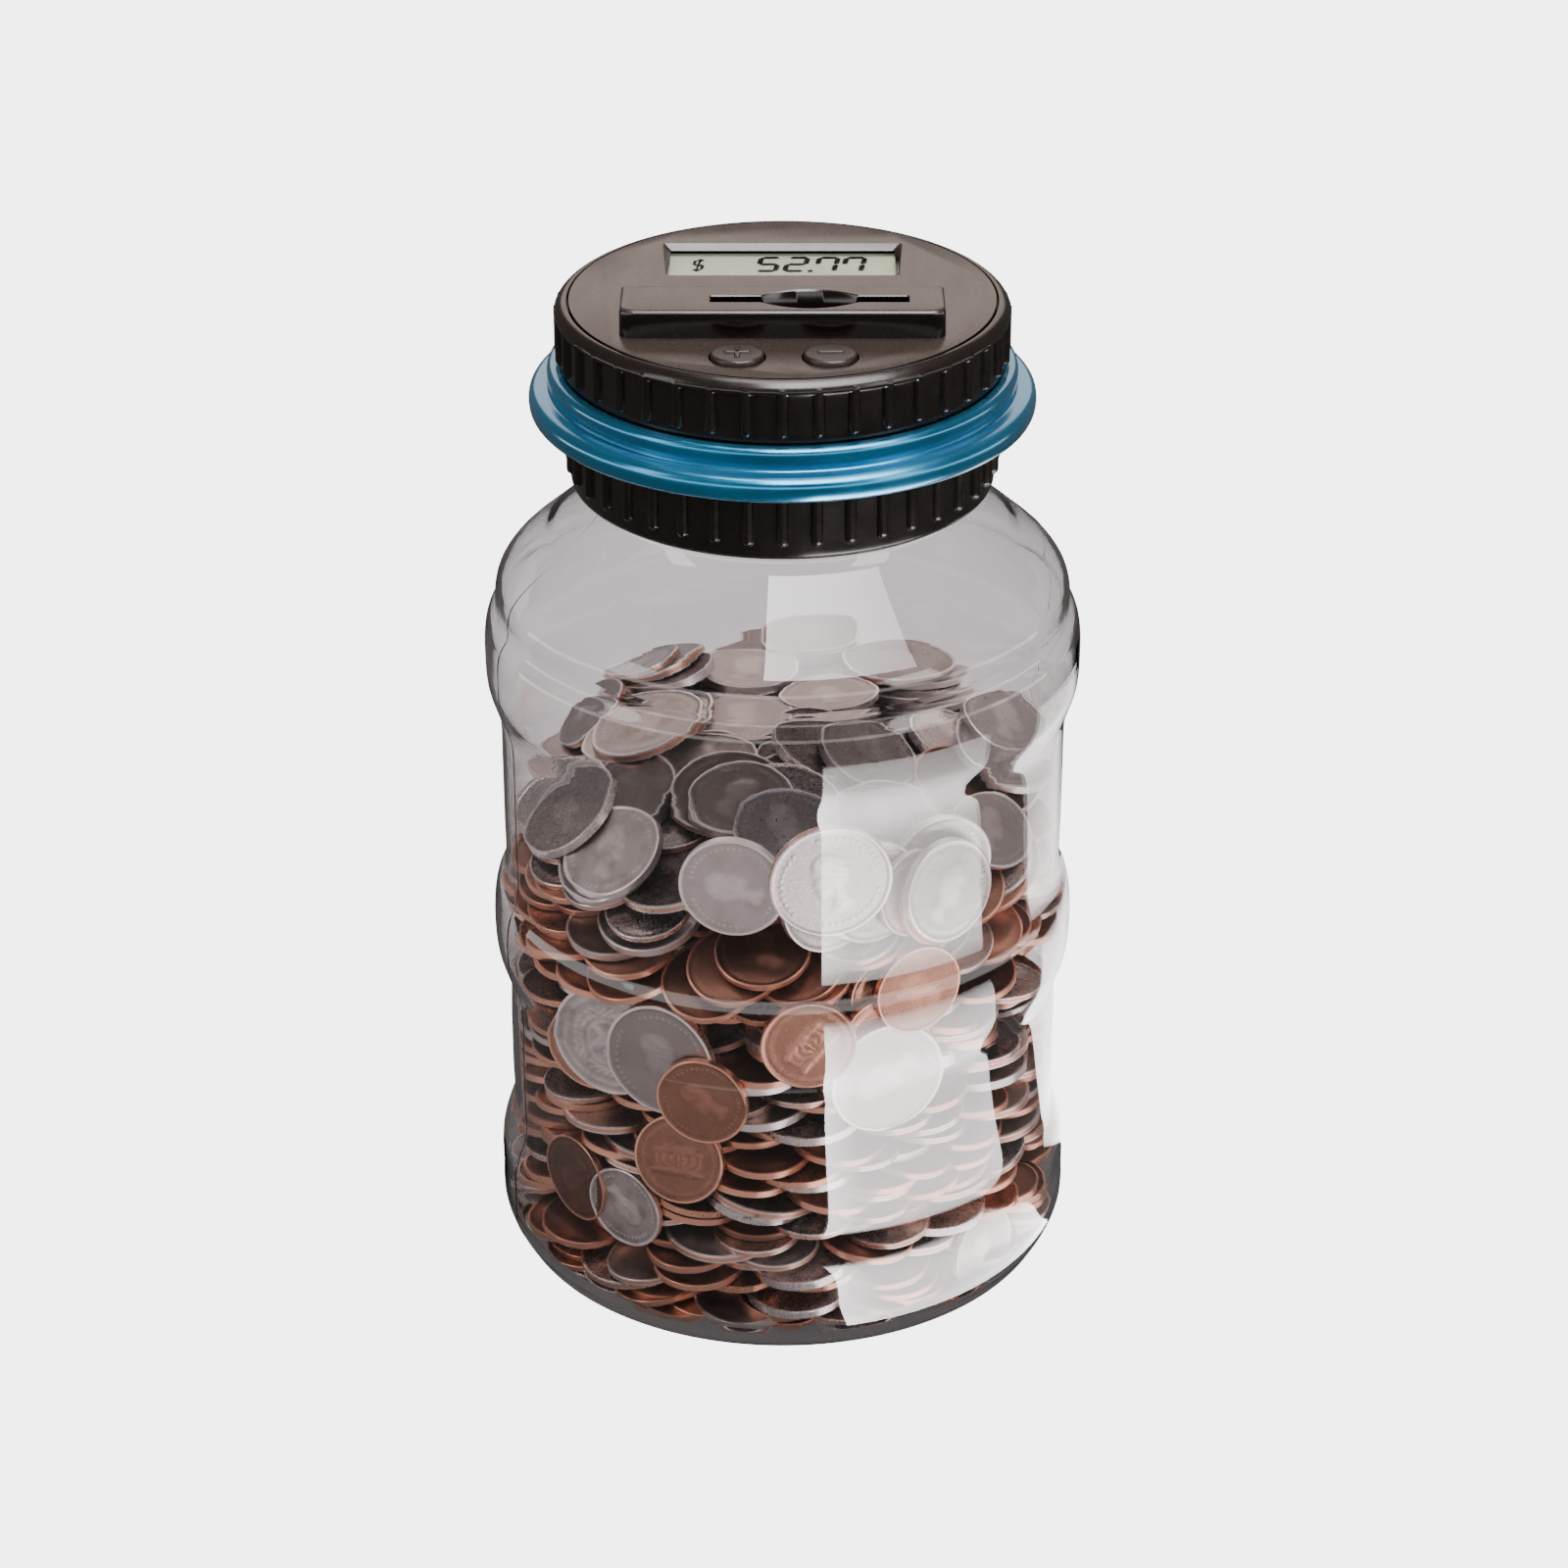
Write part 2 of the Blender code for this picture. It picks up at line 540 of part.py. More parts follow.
# ------------------------------------------------------------------ coin chute
cx0, cx1 = CHUTE_X0 - CHUTE_WALL, CHUTE_X1 + CHUTE_WALL
cy0, cy1 = CHUTE_Y0 - CHUTE_WALL, CHUTE_Y1 + CHUTE_WALL
chute = box("coin_chute", cx0, cx1, cy0, cy1, CHUTE_Z0, CHUTE_Z1, CHUTE)
join(chute, box("cut_chute_flange", cx0 - 1.5, cx1 + 1.6, -21.9, -9.1, 205.5, CHUTE_Z1, None,
                CUTTERS))
bm = bmesh.new()
put_box(bm, cx1 - 0.5, 31.2, cy0, cy0 + 1.3, 199.2, 206.0)
put_box(bm, cx1 - 0.5, 31.2, cy1 - 1.3, cy1, 199.2, 206.0)
join(chute, from_bmesh("cut_chute_ears", bm, None, CUTTERS))
cut(chute, box("cut_chute_bore", CHUTE_X0, CHUTE_X1, CHUTE_Y0, CHUTE_Y1, CHUTE_Z0 - 1,
               CHUTE_Z1 + 1, None, CUTTERS))
bm = bmesh.new()
put_box(bm, CHUTE_X1 - 0.4, cx1 + 3.4, SLOT_Y - 1.55, SLOT_Y + 1.55, 189.5, 205.4)
put_cyl_along(bm, 'Y', (PIVOT_X, (cy0 + cy1) / 2, PIVOT_Z), 8.0, 1.3, 10)
cut(chute, from_bmesh("cut_chute_lever_gate", bm, None, CUTTERS))

# lever: a hub on the pin and a tapering arm that hangs across the chute
arm_dir = Vector((TIP_X - PIVOT_X, TIP_Z - PIVOT_Z)).normalized()
arm_len = math.hypot(TIP_X - PIVOT_X, TIP_Z - PIVOT_Z)
normal = Vector((-arm_dir.y, arm_dir.x))
hub_r, tip_r = 2.3, 1.3
a_arm = math.degrees(math.atan2(arm_dir.y, arm_dir.x))
lever_line = arc(0, 0, hub_r, a_arm + 65, a_arm + 295, 10)
lever_line += arc(arm_dir.x * arm_len, arm_dir.y * arm_len, tip_r, a_arm - 90, a_arm + 90, 6)
lever = flat_outline("coin_lever", lever_line, -1.2, 1.2, LEVER)
lever.matrix_world = Matrix.Translation(Vector((PIVOT_X, SLOT_Y, PIVOT_Z)) * MM) \
    @ Matrix.Rotation(math.pi / 2, 4, 'X')
bm = bmesh.new()
put_cyl_along(bm, 'Y', (PIVOT_X, SLOT_Y, PIVOT_Z), 3.0, 1.3, 10)
cut(lever, from_bmesh("cut_lever_bore", bm, None, CUTTERS))

bm = bmesh.new()
put_cyl_along(bm, 'Y', (PIVOT_X, (cy0 - 0.9 - 8.6) / 2, PIVOT_Z), (cy0 - 0.9 + 8.6) / -2, 1.0, 10)
pin = from_bmesh("lever_pin", bm, STEEL, smooth=True)
bm = bmesh.new()
put_cyl_along(bm, 'Y', (PIVOT_X, cy0 - 0.8, PIVOT_Z), 0.5, 1.7, 10)
join(pin, from_bmesh("cut_pin_head", bm, None, CUTTERS))

# torsion spring wound round the free end of the pin
spring_pts = []
turns, per = 2.25, 9
n = int(turns * per)
for i in range(n + 1):
    a = 2 * math.pi * i / per
    spring_pts.append((PIVOT_X + 1.7 * math.cos(a), -11.7 + 0.85 * i / per,
                       PIVOT_Z + 1.7 * math.sin(a)))
first = (PIVOT_X + 1.7, -11.7, PIVOT_Z - 3.2)
last = spring_pts[-1]
spring_pts = [first] + spring_pts + [(last[0] - 3.2, last[1], last[2])]
cu = bpy.data.curves.new("lever_spring_wire", 'CURVE')
cu.dimensions = '3D'
cu.bevel_depth = 0.22 * MM
cu.bevel_resolution = 2
cu.use_fill_caps = True
sp = cu.splines.new('POLY')
sp.points.add(len(spring_pts) - 1)
for p, q in zip(sp.points, spring_pts):
    p.co = (q[0] * MM, q[1] * MM, q[2] * MM, 1.0)
tmp = bpy.data.objects.new("lever_spring_wire", cu)
PARTS.objects.link(tmp)
curve_to_mesh(tmp, "lever_spring", STEEL)

box("sensor_board", 15.0, 27.0, -11.6, -10.4, 187.0, 198.0, BOARD)

# ------------------------------------------------------------------ lower tray
tray_profile = [
    (TRAY_FLANGE_R, TRAY_TOP), (TRAY_FLANGE_R, TRAY_TOP - 1.2), (TRAY_OUT_R, TRAY_TOP - 1.2),
    (TRAY_OUT_R, TRAY_Z0), (0.0, TRAY_Z0),
]
tray_inside = [(0.0, TRAY_Z1), (TRAY_IN_R, TRAY_Z1), (TRAY_IN_R, TRAY_TOP)]
tray = turned("inner_tray", tray_inside + tray_profile, TRAY, closed=False)
bm = bmesh.new()
for sx in (-1, 1):
    put_box(bm, *sorted((sx * 23.4, sx * 24.6)), DOOR_Y0, DOOR_Y1, TRAY_Z1 - 0.6, 195.4)
put_box(bm, -1.6, 1.6, DOOR_SCREW_Y + 1.2, TRAY_IN_R + 0.4, TRAY_Z1 + 0.3, 190.0)
put_cyl(bm, 0.0, DOOR_SCREW_Y, TRAY_Z1 + 0.3, 190.0, 2.5, 12)
join(tray, from_bmesh("cut_tray_walls", bm, None, CUTTERS))
bm = bmesh.new()
put_box(bm, -DOOR_HALF_X - GAP, DOOR_HALF_X + GAP, DOOR_Y0 - GAP, DOOR_Y1 + GAP, TRAY_Z0 - 1,
        TRAY_Z1 + 0.15)
cut(tray, from_bmesh("cut_tray_door", bm, None, CUTTERS))
bm = bmesh.new()
put_box(bm, -DOOR_TAB_HALF_X - GAP, DOOR_TAB_HALF_X + GAP, DOOR_Y1 - 1, DOOR_TAB_Y + GAP,
        TRAY_Z0 - 1, TRAY_Z1 + 0.15)
cut(tray, from_bmesh("cut_tray_tab", bm, None, CUTTERS))
bm = bmesh.new()
put_box(bm, cx0 - GAP, cx1 + GAP, cy0 - GAP, cy1 + GAP, TRAY_Z0 - 1, TRAY_Z1 + 1)
put_cyl(bm, 0.0, DOOR_SCREW_Y, TRAY_Z1 - 0.5, 189.0, 1.15, 8)
for x, y in case_xy:
    put_cyl(bm, x, y, TRAY_TOP - 3, TRAY_TOP + 1, 1.15, 8)
cut(tray, from_bmesh("cut_tray_holes", bm, None, CUTTERS))

# ------------------------------------------------------------------ cells and contacts
for k, (y, way) in enumerate(zip(CELL_Y, (1, -1))):
    bm = bmesh.new()
    put_cyl_along(bm, 'X', (-0.4 * way, y, CELL_Z), CELL_HALF_LEN - 0.4, CELL_R, 20)
    cell = from_bmesh("battery_%d" % (k + 1), bm, CELL, smooth=True)
    bm = bmesh.new()
    put_cyl_along(bm, 'X', (way * (CELL_HALF_LEN - 1.0), y, CELL_Z), 1.0, 1.9, 12)
    join(cell, from_bmesh("cut_cell_nub_%d" % (k + 1), bm, None, CUTTERS))
box("contact_bridge", -23.1, -22.6, CELL_Y[0] - 4.0, CELL_Y[1] + 4.0, 186.6, 194.6, NICKEL)
box("contact_plus", 22.6, 23.1, CELL_Y[0] - 4.0, CELL_Y[0] + 4.0, 186.6, 194.6, NICKEL)
box("contact_minus", 22.6, 23.1, CELL_Y[1] - 4.0, CELL_Y[1] + 4.0, 186.6, 194.6, NICKEL)

# ------------------------------------------------------------------ battery door
door = box("battery_door", -DOOR_HALF_X, DOOR_HALF_X, DOOR_Y0, DOOR_Y1, TRAY_Z0, TRAY_Z1, TRAY)
join(door, box("cut_door_tab", -DOOR_TAB_HALF_X, DOOR_TAB_HALF_X, DOOR_Y1 - 0.5, DOOR_TAB_Y,
               TRAY_Z0, TRAY_Z1, None, CUTTERS))
cut(door, cyl("cut_door_hole", 0.0, DOOR_SCREW_Y, TRAY_Z0 - 1, TRAY_Z1 + 1, 1.2, 8, None,
              CUTTERS))
s = cyl("battery_door_screw", 0.0, DOOR_SCREW_Y, 182.6, 183.7, 1.9, 12, STEEL)
join(s, cyl("cut_door_shank", 0.0, DOOR_SCREW_Y, 183.2, 188.2, 0.85, 8, None, CUTTERS))
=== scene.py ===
"""Coin counting jar with a digital lid: fine pieces, materials, coins, camera and light.

Lengths in the tables below are millimetres; everything is made in metres, in the
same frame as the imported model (+Z up, front of the lid at -Y).
"""
import json
import math

import bmesh
import bpy
import numpy as np
from mathutils import Matrix, Quaternion, Vector

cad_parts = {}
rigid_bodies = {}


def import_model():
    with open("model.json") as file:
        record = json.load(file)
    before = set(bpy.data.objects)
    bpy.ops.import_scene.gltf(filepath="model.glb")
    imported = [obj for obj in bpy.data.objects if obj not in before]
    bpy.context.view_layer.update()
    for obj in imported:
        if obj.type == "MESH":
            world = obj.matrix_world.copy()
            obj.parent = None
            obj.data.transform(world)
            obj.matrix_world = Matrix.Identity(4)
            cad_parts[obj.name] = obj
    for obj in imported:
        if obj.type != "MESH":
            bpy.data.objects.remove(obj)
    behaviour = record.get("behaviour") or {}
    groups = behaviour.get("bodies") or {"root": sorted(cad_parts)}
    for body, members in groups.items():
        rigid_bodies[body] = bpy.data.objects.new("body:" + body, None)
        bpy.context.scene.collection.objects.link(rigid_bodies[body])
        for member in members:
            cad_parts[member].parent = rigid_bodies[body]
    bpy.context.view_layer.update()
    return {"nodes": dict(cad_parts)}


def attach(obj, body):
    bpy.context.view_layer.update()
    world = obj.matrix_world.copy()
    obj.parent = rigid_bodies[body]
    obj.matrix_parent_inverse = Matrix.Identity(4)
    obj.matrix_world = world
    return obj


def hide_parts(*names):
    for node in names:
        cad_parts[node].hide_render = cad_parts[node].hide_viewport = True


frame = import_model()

MM = 0.001
NODES = frame["nodes"]
TAU = 2 * math.pi


def rad(deg):
    return deg * math.pi / 180.0


# ------------------------------------------------------------------ camera
ELEV = rad(27.25)
TARGET = Vector((0.0, 0.0, 0.1016))
cam_data = bpy.data.cameras.new("camera")
cam_data.sensor_width = 36.0
cam_data.lens = 104.74
cam_data.shift_x = 0.00094
cam_data.clip_start, cam_data.clip_end = 0.05, 60.0
cam = bpy.data.objects.new("camera", cam_data)
bpy.context.scene.collection.objects.link(cam)
back = Vector((0.0, -math.cos(ELEV), math.sin(ELEV)))
cam.location = TARGET + back * 0.943
cam.rotation_euler = (-back).to_track_quat("-Z", "Y").to_euler()
bpy.context.scene.camera = cam


# ------------------------------------------------------------------ node helpers
class Nodes:
    """Small helper that adds nodes to one material or world tree."""

    def __init__(self, tree):
        self.t = tree
        tree.nodes.clear()

    def add(self, kind, inputs=None, **props):
        n = self.t.nodes.new("ShaderNode" + kind)
        for k, v in props.items():
            setattr(n, k, v)
        for k, v in (inputs or {}).items():
            s = n.inputs[k]
            if isinstance(v, bpy.types.NodeSocket):
                self.t.links.new(v, s)
            else:
                s.default_value = v
        return n

    def link(self, a, b):
        self.t.links.new(a, b)

    def coord(self):
        return self.add("TexCoord").outputs["Object"]

    def noise(self, scale, detail=4.0, rough=0.55, vector=None, stretch=None):
        v = vector or self.coord()
        if stretch:
            v = self.add("Mapping", {"Vector": v, "Scale": stretch}).outputs["Vector"]
        return self.add("TexNoise", {"Vector": v, "Scale": scale, "Detail": detail,
                                     "Roughness": rough}).outputs["Fac"]

    def ramp(self, fac, stops, ease="LINEAR"):
        n = self.add("ValToRGB", {"Fac": fac})
        cr = n.color_ramp
        cr.interpolation = ease
        while len(cr.elements) < len(stops):
            cr.elements.new(0.5)
        for el, (p, c) in zip(cr.elements, stops):
            el.position = p
            el.color = (c[0], c[1], c[2], 1.0)
        return n.outputs["Color"]

    def span(self, fac, a, b, lo=0.0, hi=1.0):
        return self.add("MapRange", {"Value": fac, "From Min": lo, "From Max": hi,
                                     "To Min": a, "To Max": b}).outputs["Result"]

    def bump(self, height, strength, distance, normal=None):
        n = self.add("Bump", {"Height": height, "Strength": strength, "Distance": distance})
        if normal is not None:
            self.link(normal, n.inputs["Normal"])
        return n.outputs["Normal"]

    def math(self, op, a, b=0.0):
        n = self.add("Math", operation=op)
        for s, v in zip(n.inputs, (a, b)):
            if isinstance(v, bpy.types.NodeSocket):
                self.link(v, s)
            else:
                s.default_value = v
        return n.outputs[0]

    def mix(self, fac, a, b, blend="MIX"):
        n = self.add("MixRGB", blend_type=blend)
        for s, v in zip(n.inputs, (fac, a, b)):
            if isinstance(v, bpy.types.NodeSocket):
                self.link(v, s)
            elif s.type == "VALUE":
                s.default_value = v
            else:
                s.default_value = (v[0], v[1], v[2], 1.0)
        return n.outputs["Color"]

    def out(self, shader):
        o = self.add("OutputMaterial")
        self.link(shader, o.inputs["Surface"])


def new_material(name):
    m = bpy.data.materials.new(name)
    m.use_nodes = True
    return m, Nodes(m.node_tree)


def plastic(name, dark, light, rough=(0.25, 0.35), grain=1400.0, grain_bump=0.12,
            wave_bump=0.0, coat=0.0, ior=1.5, speck=0.0, metallic=0.0, spec=0.5, painted_shade_walls=None):
    """Moulded plastic: slow colour drift, fine moulded grain, uneven gloss.

    The colour given for walls is painted shade on upright faces, which are painted darker and made smoother than the
    faces that look up."""
    m, n = new_material(name)
    co = n.coord()
    slow = n.noise(45.0, 3.0, 0.5, co)
    fine = n.noise(grain, 5.0, 0.62, co)
    scuff = n.noise(260.0, 6.0, 0.7, co, (1.0, 0.25, 1.0))
    drift = n.math("ADD", n.math("MULTIPLY", slow, 0.65), n.math("MULTIPLY", fine, 0.35))
    col = n.ramp(drift, [(0.32, dark), (0.68, light)])
    if speck:
        dust = n.ramp(n.noise(5200.0, 2.0, 0.5, co), [(0.70, (0, 0, 0)), (0.78, (1, 1, 1))])
        col = n.mix(n.math("MULTIPLY", dust, speck), col, (0.45, 0.43, 0.42))
    r = n.span(scuff, rough[0], rough[1], 0.3, 0.7)
    # painted shade: upright faces take the darker wall colour by the direction of their normal, and faces that look up
    # keep the lighter colour
    if painted_shade_walls:
        up = n.add("SeparateXYZ", {"Vector": n.add("TexCoord").outputs["Normal"]}).outputs["Z"]
        top = n.span(up, 0.0, 1.0, 0.45, 0.92)
        col = n.mix(top, painted_shade_walls, col)
        r = n.math("MULTIPLY", r, n.span(top, 0.5, 1.0))
    nrm = n.bump(fine, grain_bump, 0.00006)
    if wave_bump:
        nrm = n.bump(n.noise(70.0, 1.0, 0.4, co), wave_bump, 0.0009, nrm)
    b = n.add("BsdfPrincipled", {"Base Color": col, "Roughness": r, "Normal": nrm, "IOR": ior,
                                 "Metallic": metallic, "Coat Weight": coat,
                                 "Coat Roughness": 0.06, "Specular IOR Level": spec})
    n.out(b.outputs["BSDF"])
    return m


def clear_plastic(name, tint, shade, ior=1.5, rough=0.02, ripple=0.0):
    """Clear moulded plastic that lets lamps through, with faint flow ripples."""
    m, n = new_material(name)
    co = n.coord()
    glass = n.add("BsdfPrincipled", {"Base Color": (*tint, 1.0), "Roughness": rough, "IOR": ior,
                                     "Transmission Weight": 1.0})
    if ripple:
        flow = n.noise(38.0, 2.0, 0.5, co, (1.0, 1.0, 0.35))
        glass_n = n.bump(flow, ripple, 0.0012)
        n.link(glass_n, glass.inputs["Normal"])
    clear = n.add("BsdfTransparent", {"Color": (*shade, 1.0)})
    shadow = n.add("LightPath").outputs["Is Shadow Ray"]
    mix = n.add("MixShader", {"Fac": shadow})
    n.link(glass.outputs["BSDF"], mix.inputs[1])
    n.link(clear.outputs["BSDF"], mix.inputs[2])
    n.out(mix.outputs["Shader"])
    return m


def metal(name, dark, light, rough=(0.2, 0.4), scale=600.0, brushed=None, bump=0.08):
    m, n = new_material(name)
    co = n.coord()
    base = n.noise(scale, 5.0, 0.6, co, brushed)
    col = n.ramp(base, [(0.3, dark), (0.7, light)])
    b = n.add("BsdfPrincipled", {"Base Color": col, "Metallic": 1.0,
                                 "Roughness": n.span(base, rough[0], rough[1], 0.3, 0.7),
                                 "Normal": n.bump(base, bump, 0.00008)})
    n.out(b.outputs["BSDF"])
    return m


# ------------------------------------------------------------------ materials
M_JAR = clear_plastic("jar_clear", (0.90, 0.875, 0.885), (0.93, 0.91, 0.92), 1.52, 0.012, 0.10)
M_LENS = clear_plastic("window_clear", (0.97, 0.98, 0.96), (0.97, 0.98, 0.96), 1.03, 0.0)
M_CAP = plastic("cap_plastic", (0.020, 0.014, 0.011), (0.032, 0.023, 0.019), (0.17, 0.27), 1500.0,
                0.10, 0.05)
# painted light and shade: the cover's top colour is lifted to stand in for its sheen, and its upright faces are painted
# darker
M_COVER = plastic("cover_plastic_painted_light", (0.070, 0.050, 0.043), (0.086, 0.062, 0.053), (0.25, 0.32),
                  2100.0, 0.12, 0.03, painted_shade_walls=(0.012, 0.008, 0.0065))
M_BUTTON = plastic("button_plastic", (0.036, 0.026, 0.022), (0.050, 0.037, 0.032), (0.30, 0.40),
                   1900.0, 0.16)
M_GASKET = plastic("gasket_foam_fine", (0.38, 0.39, 0.39), (0.62, 0.63, 0.62), (0.8, 0.95), 2600.0,
                   0.8)
M_CHUTE = plastic("chute_plastic", (0.030, 0.029, 0.029), (0.055, 0.053, 0.052), (0.4, 0.55),
                  1500.0, 0.2)
M_TRAY = plastic("tray_plastic", (0.022, 0.020, 0.020), (0.042, 0.039, 0.038), (0.38, 0.52),
                 1700.0, 0.25)
M_LEVER = plastic("lever_plastic", (0.66, 0.66, 0.60), (0.82, 0.82, 0.77), (0.32, 0.45), 1300.0,
                  0.1)
M_ZEBRA = plastic("zebra_rubber_fine", (0.20, 0.14, 0.16), (0.38, 0.28, 0.30), (0.6, 0.8), 900.0,
                  0.2)
M_SWITCH = plastic("switch_plastic", (0.040, 0.040, 0.046), (0.080, 0.080, 0.088), (0.4, 0.55),
                   1600.0, 0.15)
M_EPOXY = plastic("epoxy_blob", (0.006, 0.006, 0.006), (0.016, 0.016, 0.017), (0.12, 0.3), 700.0,
                  0.1, 0.25, coat=0.3)
M_CELL = plastic("cell_sleeve", (0.09, 0.10, 0.125), (0.19, 0.20, 0.24), (0.2, 0.32), 900.0, 0.05,
                 coat=0.4)
M_STEEL = metal("zinc_steel", (0.42, 0.42, 0.44), (0.70, 0.70, 0.72), (0.18, 0.36), 900.0)
M_NICKEL = metal("nickel_spring", (0.52, 0.50, 0.45), (0.76, 0.74, 0.68), (0.16, 0.3), 500.0,
                 (1.0, 8.0, 1.0))


def ring_material():
    """Translucent blue slip-on ring, glossy; a painted glow and a paler colour at grazing edges stand in for light
    passing through the plastic.
    """
    m, n = new_material("ring_translucent")
    co = n.coord()
    slow = n.noise(60.0, 3.0, 0.5, co)
    fine = n.noise(900.0, 3.0, 0.5, co)
    # painted light: the colour turns paler grey-blue where the surface is seen edge-on, in place of light through the
    # thin plastic
    edge = n.add("LayerWeight", {"Blend": 0.30}).outputs["Facing"]
    body = n.ramp(slow, [(0.3, (0.003, 0.175, 0.370)), (0.7, (0.008, 0.250, 0.480))])
    col = n.mix(n.span(edge, 0.0, 0.75), body, (0.26, 0.46, 0.60))
    # painted glow: the ring emits a little blue light though it is no lamp
    b = n.add("BsdfPrincipled", {"Base Color": col, "IOR": 1.6,
                                 "Roughness": n.span(slow, 0.18, 0.27, 0.3, 0.7),
                                 "Metallic": 0.58,
                                 "Emission Color": (0.0, 0.25, 0.42, 1.0),
                                 "Emission Strength": 0.08,
                                 "Normal": n.bump(fine, 0.04, 0.00006),
                                 "Coat Weight": 0.45, "Coat Roughness": 0.12,
                                 "Coat Tint": (0.80, 0.96, 1.0, 1.0)})
    n.out(b.outputs["BSDF"])
    return m


M_RING = ring_material()


def board_material():
    """Green solder mask over copper traces."""
    m, n = new_material("board_solder_mask")
    co = n.coord()
    cells = n.add("TexBrick", {"Vector": co, "Scale": 300.0, "Mortar Size": 0.05,
                               "Color1": (0.010, 0.105, 0.040, 1),
                               "Color2": (0.016, 0.150, 0.058, 1),
                               "Mortar": (0.030, 0.230, 0.085, 1)})
    col = n.mix(n.noise(500.0, 4.0, 0.6, co), cells.outputs["Color"], (0.012, 0.12, 0.045))
    b = n.add("BsdfPrincipled", {"Base Color": col, "Roughness": 0.33,
                                 "Normal": n.bump(cells.outputs["Fac"], 0.3, 0.00005)})
    n.out(b.outputs["BSDF"])
    return m


M_BOARD = board_material()


def lcd_material():
    """Reflective twisted-nematic glass: grey-green, faint polariser grain, with a painted glow that brightens it though
    it has no backlight.
    """
    m, n = new_material("lcd_reflective")
    co = n.coord()
    slow = n.noise(50.0, 2.0, 0.5, co)
    fine = n.noise(6000.0, 2.0, 0.5, co)
    col = n.ramp(slow, [(0.3, (0.315, 0.345, 0.255)), (0.7, (0.36, 0.39, 0.29))])
    col = n.mix(n.span(fine, 0.0, 0.22), col, (0.24, 0.26, 0.20))
    # painted light: the glass glows faintly though it is lit only from outside
    b = n.add("BsdfPrincipled", {"Base Color": col, "Roughness": 0.42,
                                 "Emission Color": (0.47, 0.50, 0.38, 1.0),
                                 "Emission Strength": 0.15,
                                 "Specular IOR Level": 0.03})
    n.out(b.outputs["BSDF"])
    return m


def lcd_ink(name, rgb, rough=0.35):
    m, n = new_material(name)
    co = n.coord()
    f = n.noise(3000.0, 3.0, 0.5, co)
    col = n.ramp(f, [(0.3, rgb), (0.7, tuple(min(1.0, c * 1.5 + 0.004) for c in rgb))])
    b = n.add("BsdfPrincipled", {"Base Color": col, "Roughness": rough,
                                 "Specular IOR Level": 0.0})
    n.out(b.outputs["BSDF"])
    return m


M_LCD = lcd_material()
M_INK = lcd_ink("lcd_segment", (0.004, 0.0045, 0.004))
M_INK_SHADOW = lcd_ink("lcd_segment_shadow", (0.30, 0.31, 0.245), 0.5)


def coin_material(name, bright, worn, grime, patina, rough):
    """Struck coin metal: every coin has its own tone, dirt lies in the low parts."""
    m, n = new_material(name)
    co = n.coord()
    tag = n.add("Attribute", attribute_name="coin")
    sep = n.add("SeparateColor", {"Color": tag.outputs["Color"]})
    tone, tarnish, height = sep.outputs[0], sep.outputs[1], sep.outputs[2]
    cloud = n.noise(190.0, 4.0, 0.6, co)
    scratch = n.noise(1500.0, 6.0, 0.72, co)
    k = n.math("ADD", n.math("MULTIPLY", tone, 0.75), n.math("MULTIPLY", cloud, 0.25))
    col = n.ramp(k, [(0.12, grime), (0.45, worn), (0.88, bright)])
    spots = n.math("MULTIPLY", n.span(cloud, 0.0, 1.0, 0.45, 0.7), tarnish)
    col = n.mix(spots, col, patina)
    low = n.span(height, 0.42, 0.0, 0.0, 0.6)
    col = n.mix(low, col, grime)
    col = n.mix(n.span(height, 0.0, 0.75, 0.85, 0.97), col, bright)
    r = n.math("ADD", n.span(scratch, rough[0], rough[1], 0.3, 0.7),
               n.math("MULTIPLY", tarnish, 0.13))
    nrm = n.bump(scratch, 0.16, 0.00006)
    b = n.add("BsdfPrincipled", {"Base Color": col, "Metallic": 1.0, "Roughness": r,
                                 "Normal": nrm})
    n.out(b.outputs["BSDF"])
    return m


M_COPPER = coin_material("coin_copper", (0.80, 0.42, 0.30), (0.30, 0.150, 0.102),
                         (0.075, 0.040, 0.030), (0.17, 0.095, 0.068), (0.22, 0.38))
M_SILVER = coin_material("coin_cupronickel", (0.82, 0.76, 0.745), (0.40, 0.355, 0.345),
                         (0.10, 0.082, 0.076), (0.28, 0.23, 0.205), (0.20, 0.36))


# ------------------------------------------------------------------ mesh helpers
def to_object(name, verts, faces, mat, sharp=32.0, mat_index=None):
    """verts in mm (N x 3), faces as an (M x 4) array of quads or a list."""
    me = bpy.data.meshes.new(name)
    if isinstance(faces, np.ndarray):
        nf = len(faces)
        me.vertices.add(len(verts))
        me.vertices.foreach_set("co", np.ascontiguousarray(verts * MM, np.float32).ravel())
        me.loops.add(nf * 4)
        me.loops.foreach_set("vertex_index", np.ascontiguousarray(faces, np.int32).ravel())
        me.polygons.add(nf)
        me.polygons.foreach_set("loop_start", np.arange(0, nf * 4, 4, dtype=np.int32))
        me.update(calc_edges=True)
    else:
        me.from_pydata([tuple(c * MM for c in v) for v in verts], [], faces)
        me.update()
    if mat_index is not None:
        me.polygons.foreach_set("material_index", np.ascontiguousarray(mat_index, np.int32))
    for m in (mat if isinstance(mat, (list, tuple)) else [mat]):
        me.materials.append(m)
    me.shade_smooth()
    if sharp:
        me.set_sharp_from_angle(angle=rad(sharp))
    ob = bpy.data.objects.new(name, me)
    bpy.context.scene.collection.objects.link(ob)
    return ob


def clean(ob, sharp=None):
    """Merge doubled points, drop empty faces and face outwards."""
    bm = bmesh.new()
    bm.from_mesh(ob.data)
    bmesh.ops.remove_doubles(bm, verts=bm.verts, dist=2e-7)
    bmesh.ops.dissolve_degenerate(bm, edges=bm.edges, dist=1e-8)
    bmesh.ops.recalc_face_normals(bm, faces=bm.faces)
    bm.to_mesh(ob.data)
    bm.free()
    ob.data.shade_smooth()
    if sharp:
        ob.data.set_sharp_from_angle(angle=rad(sharp))
    return ob


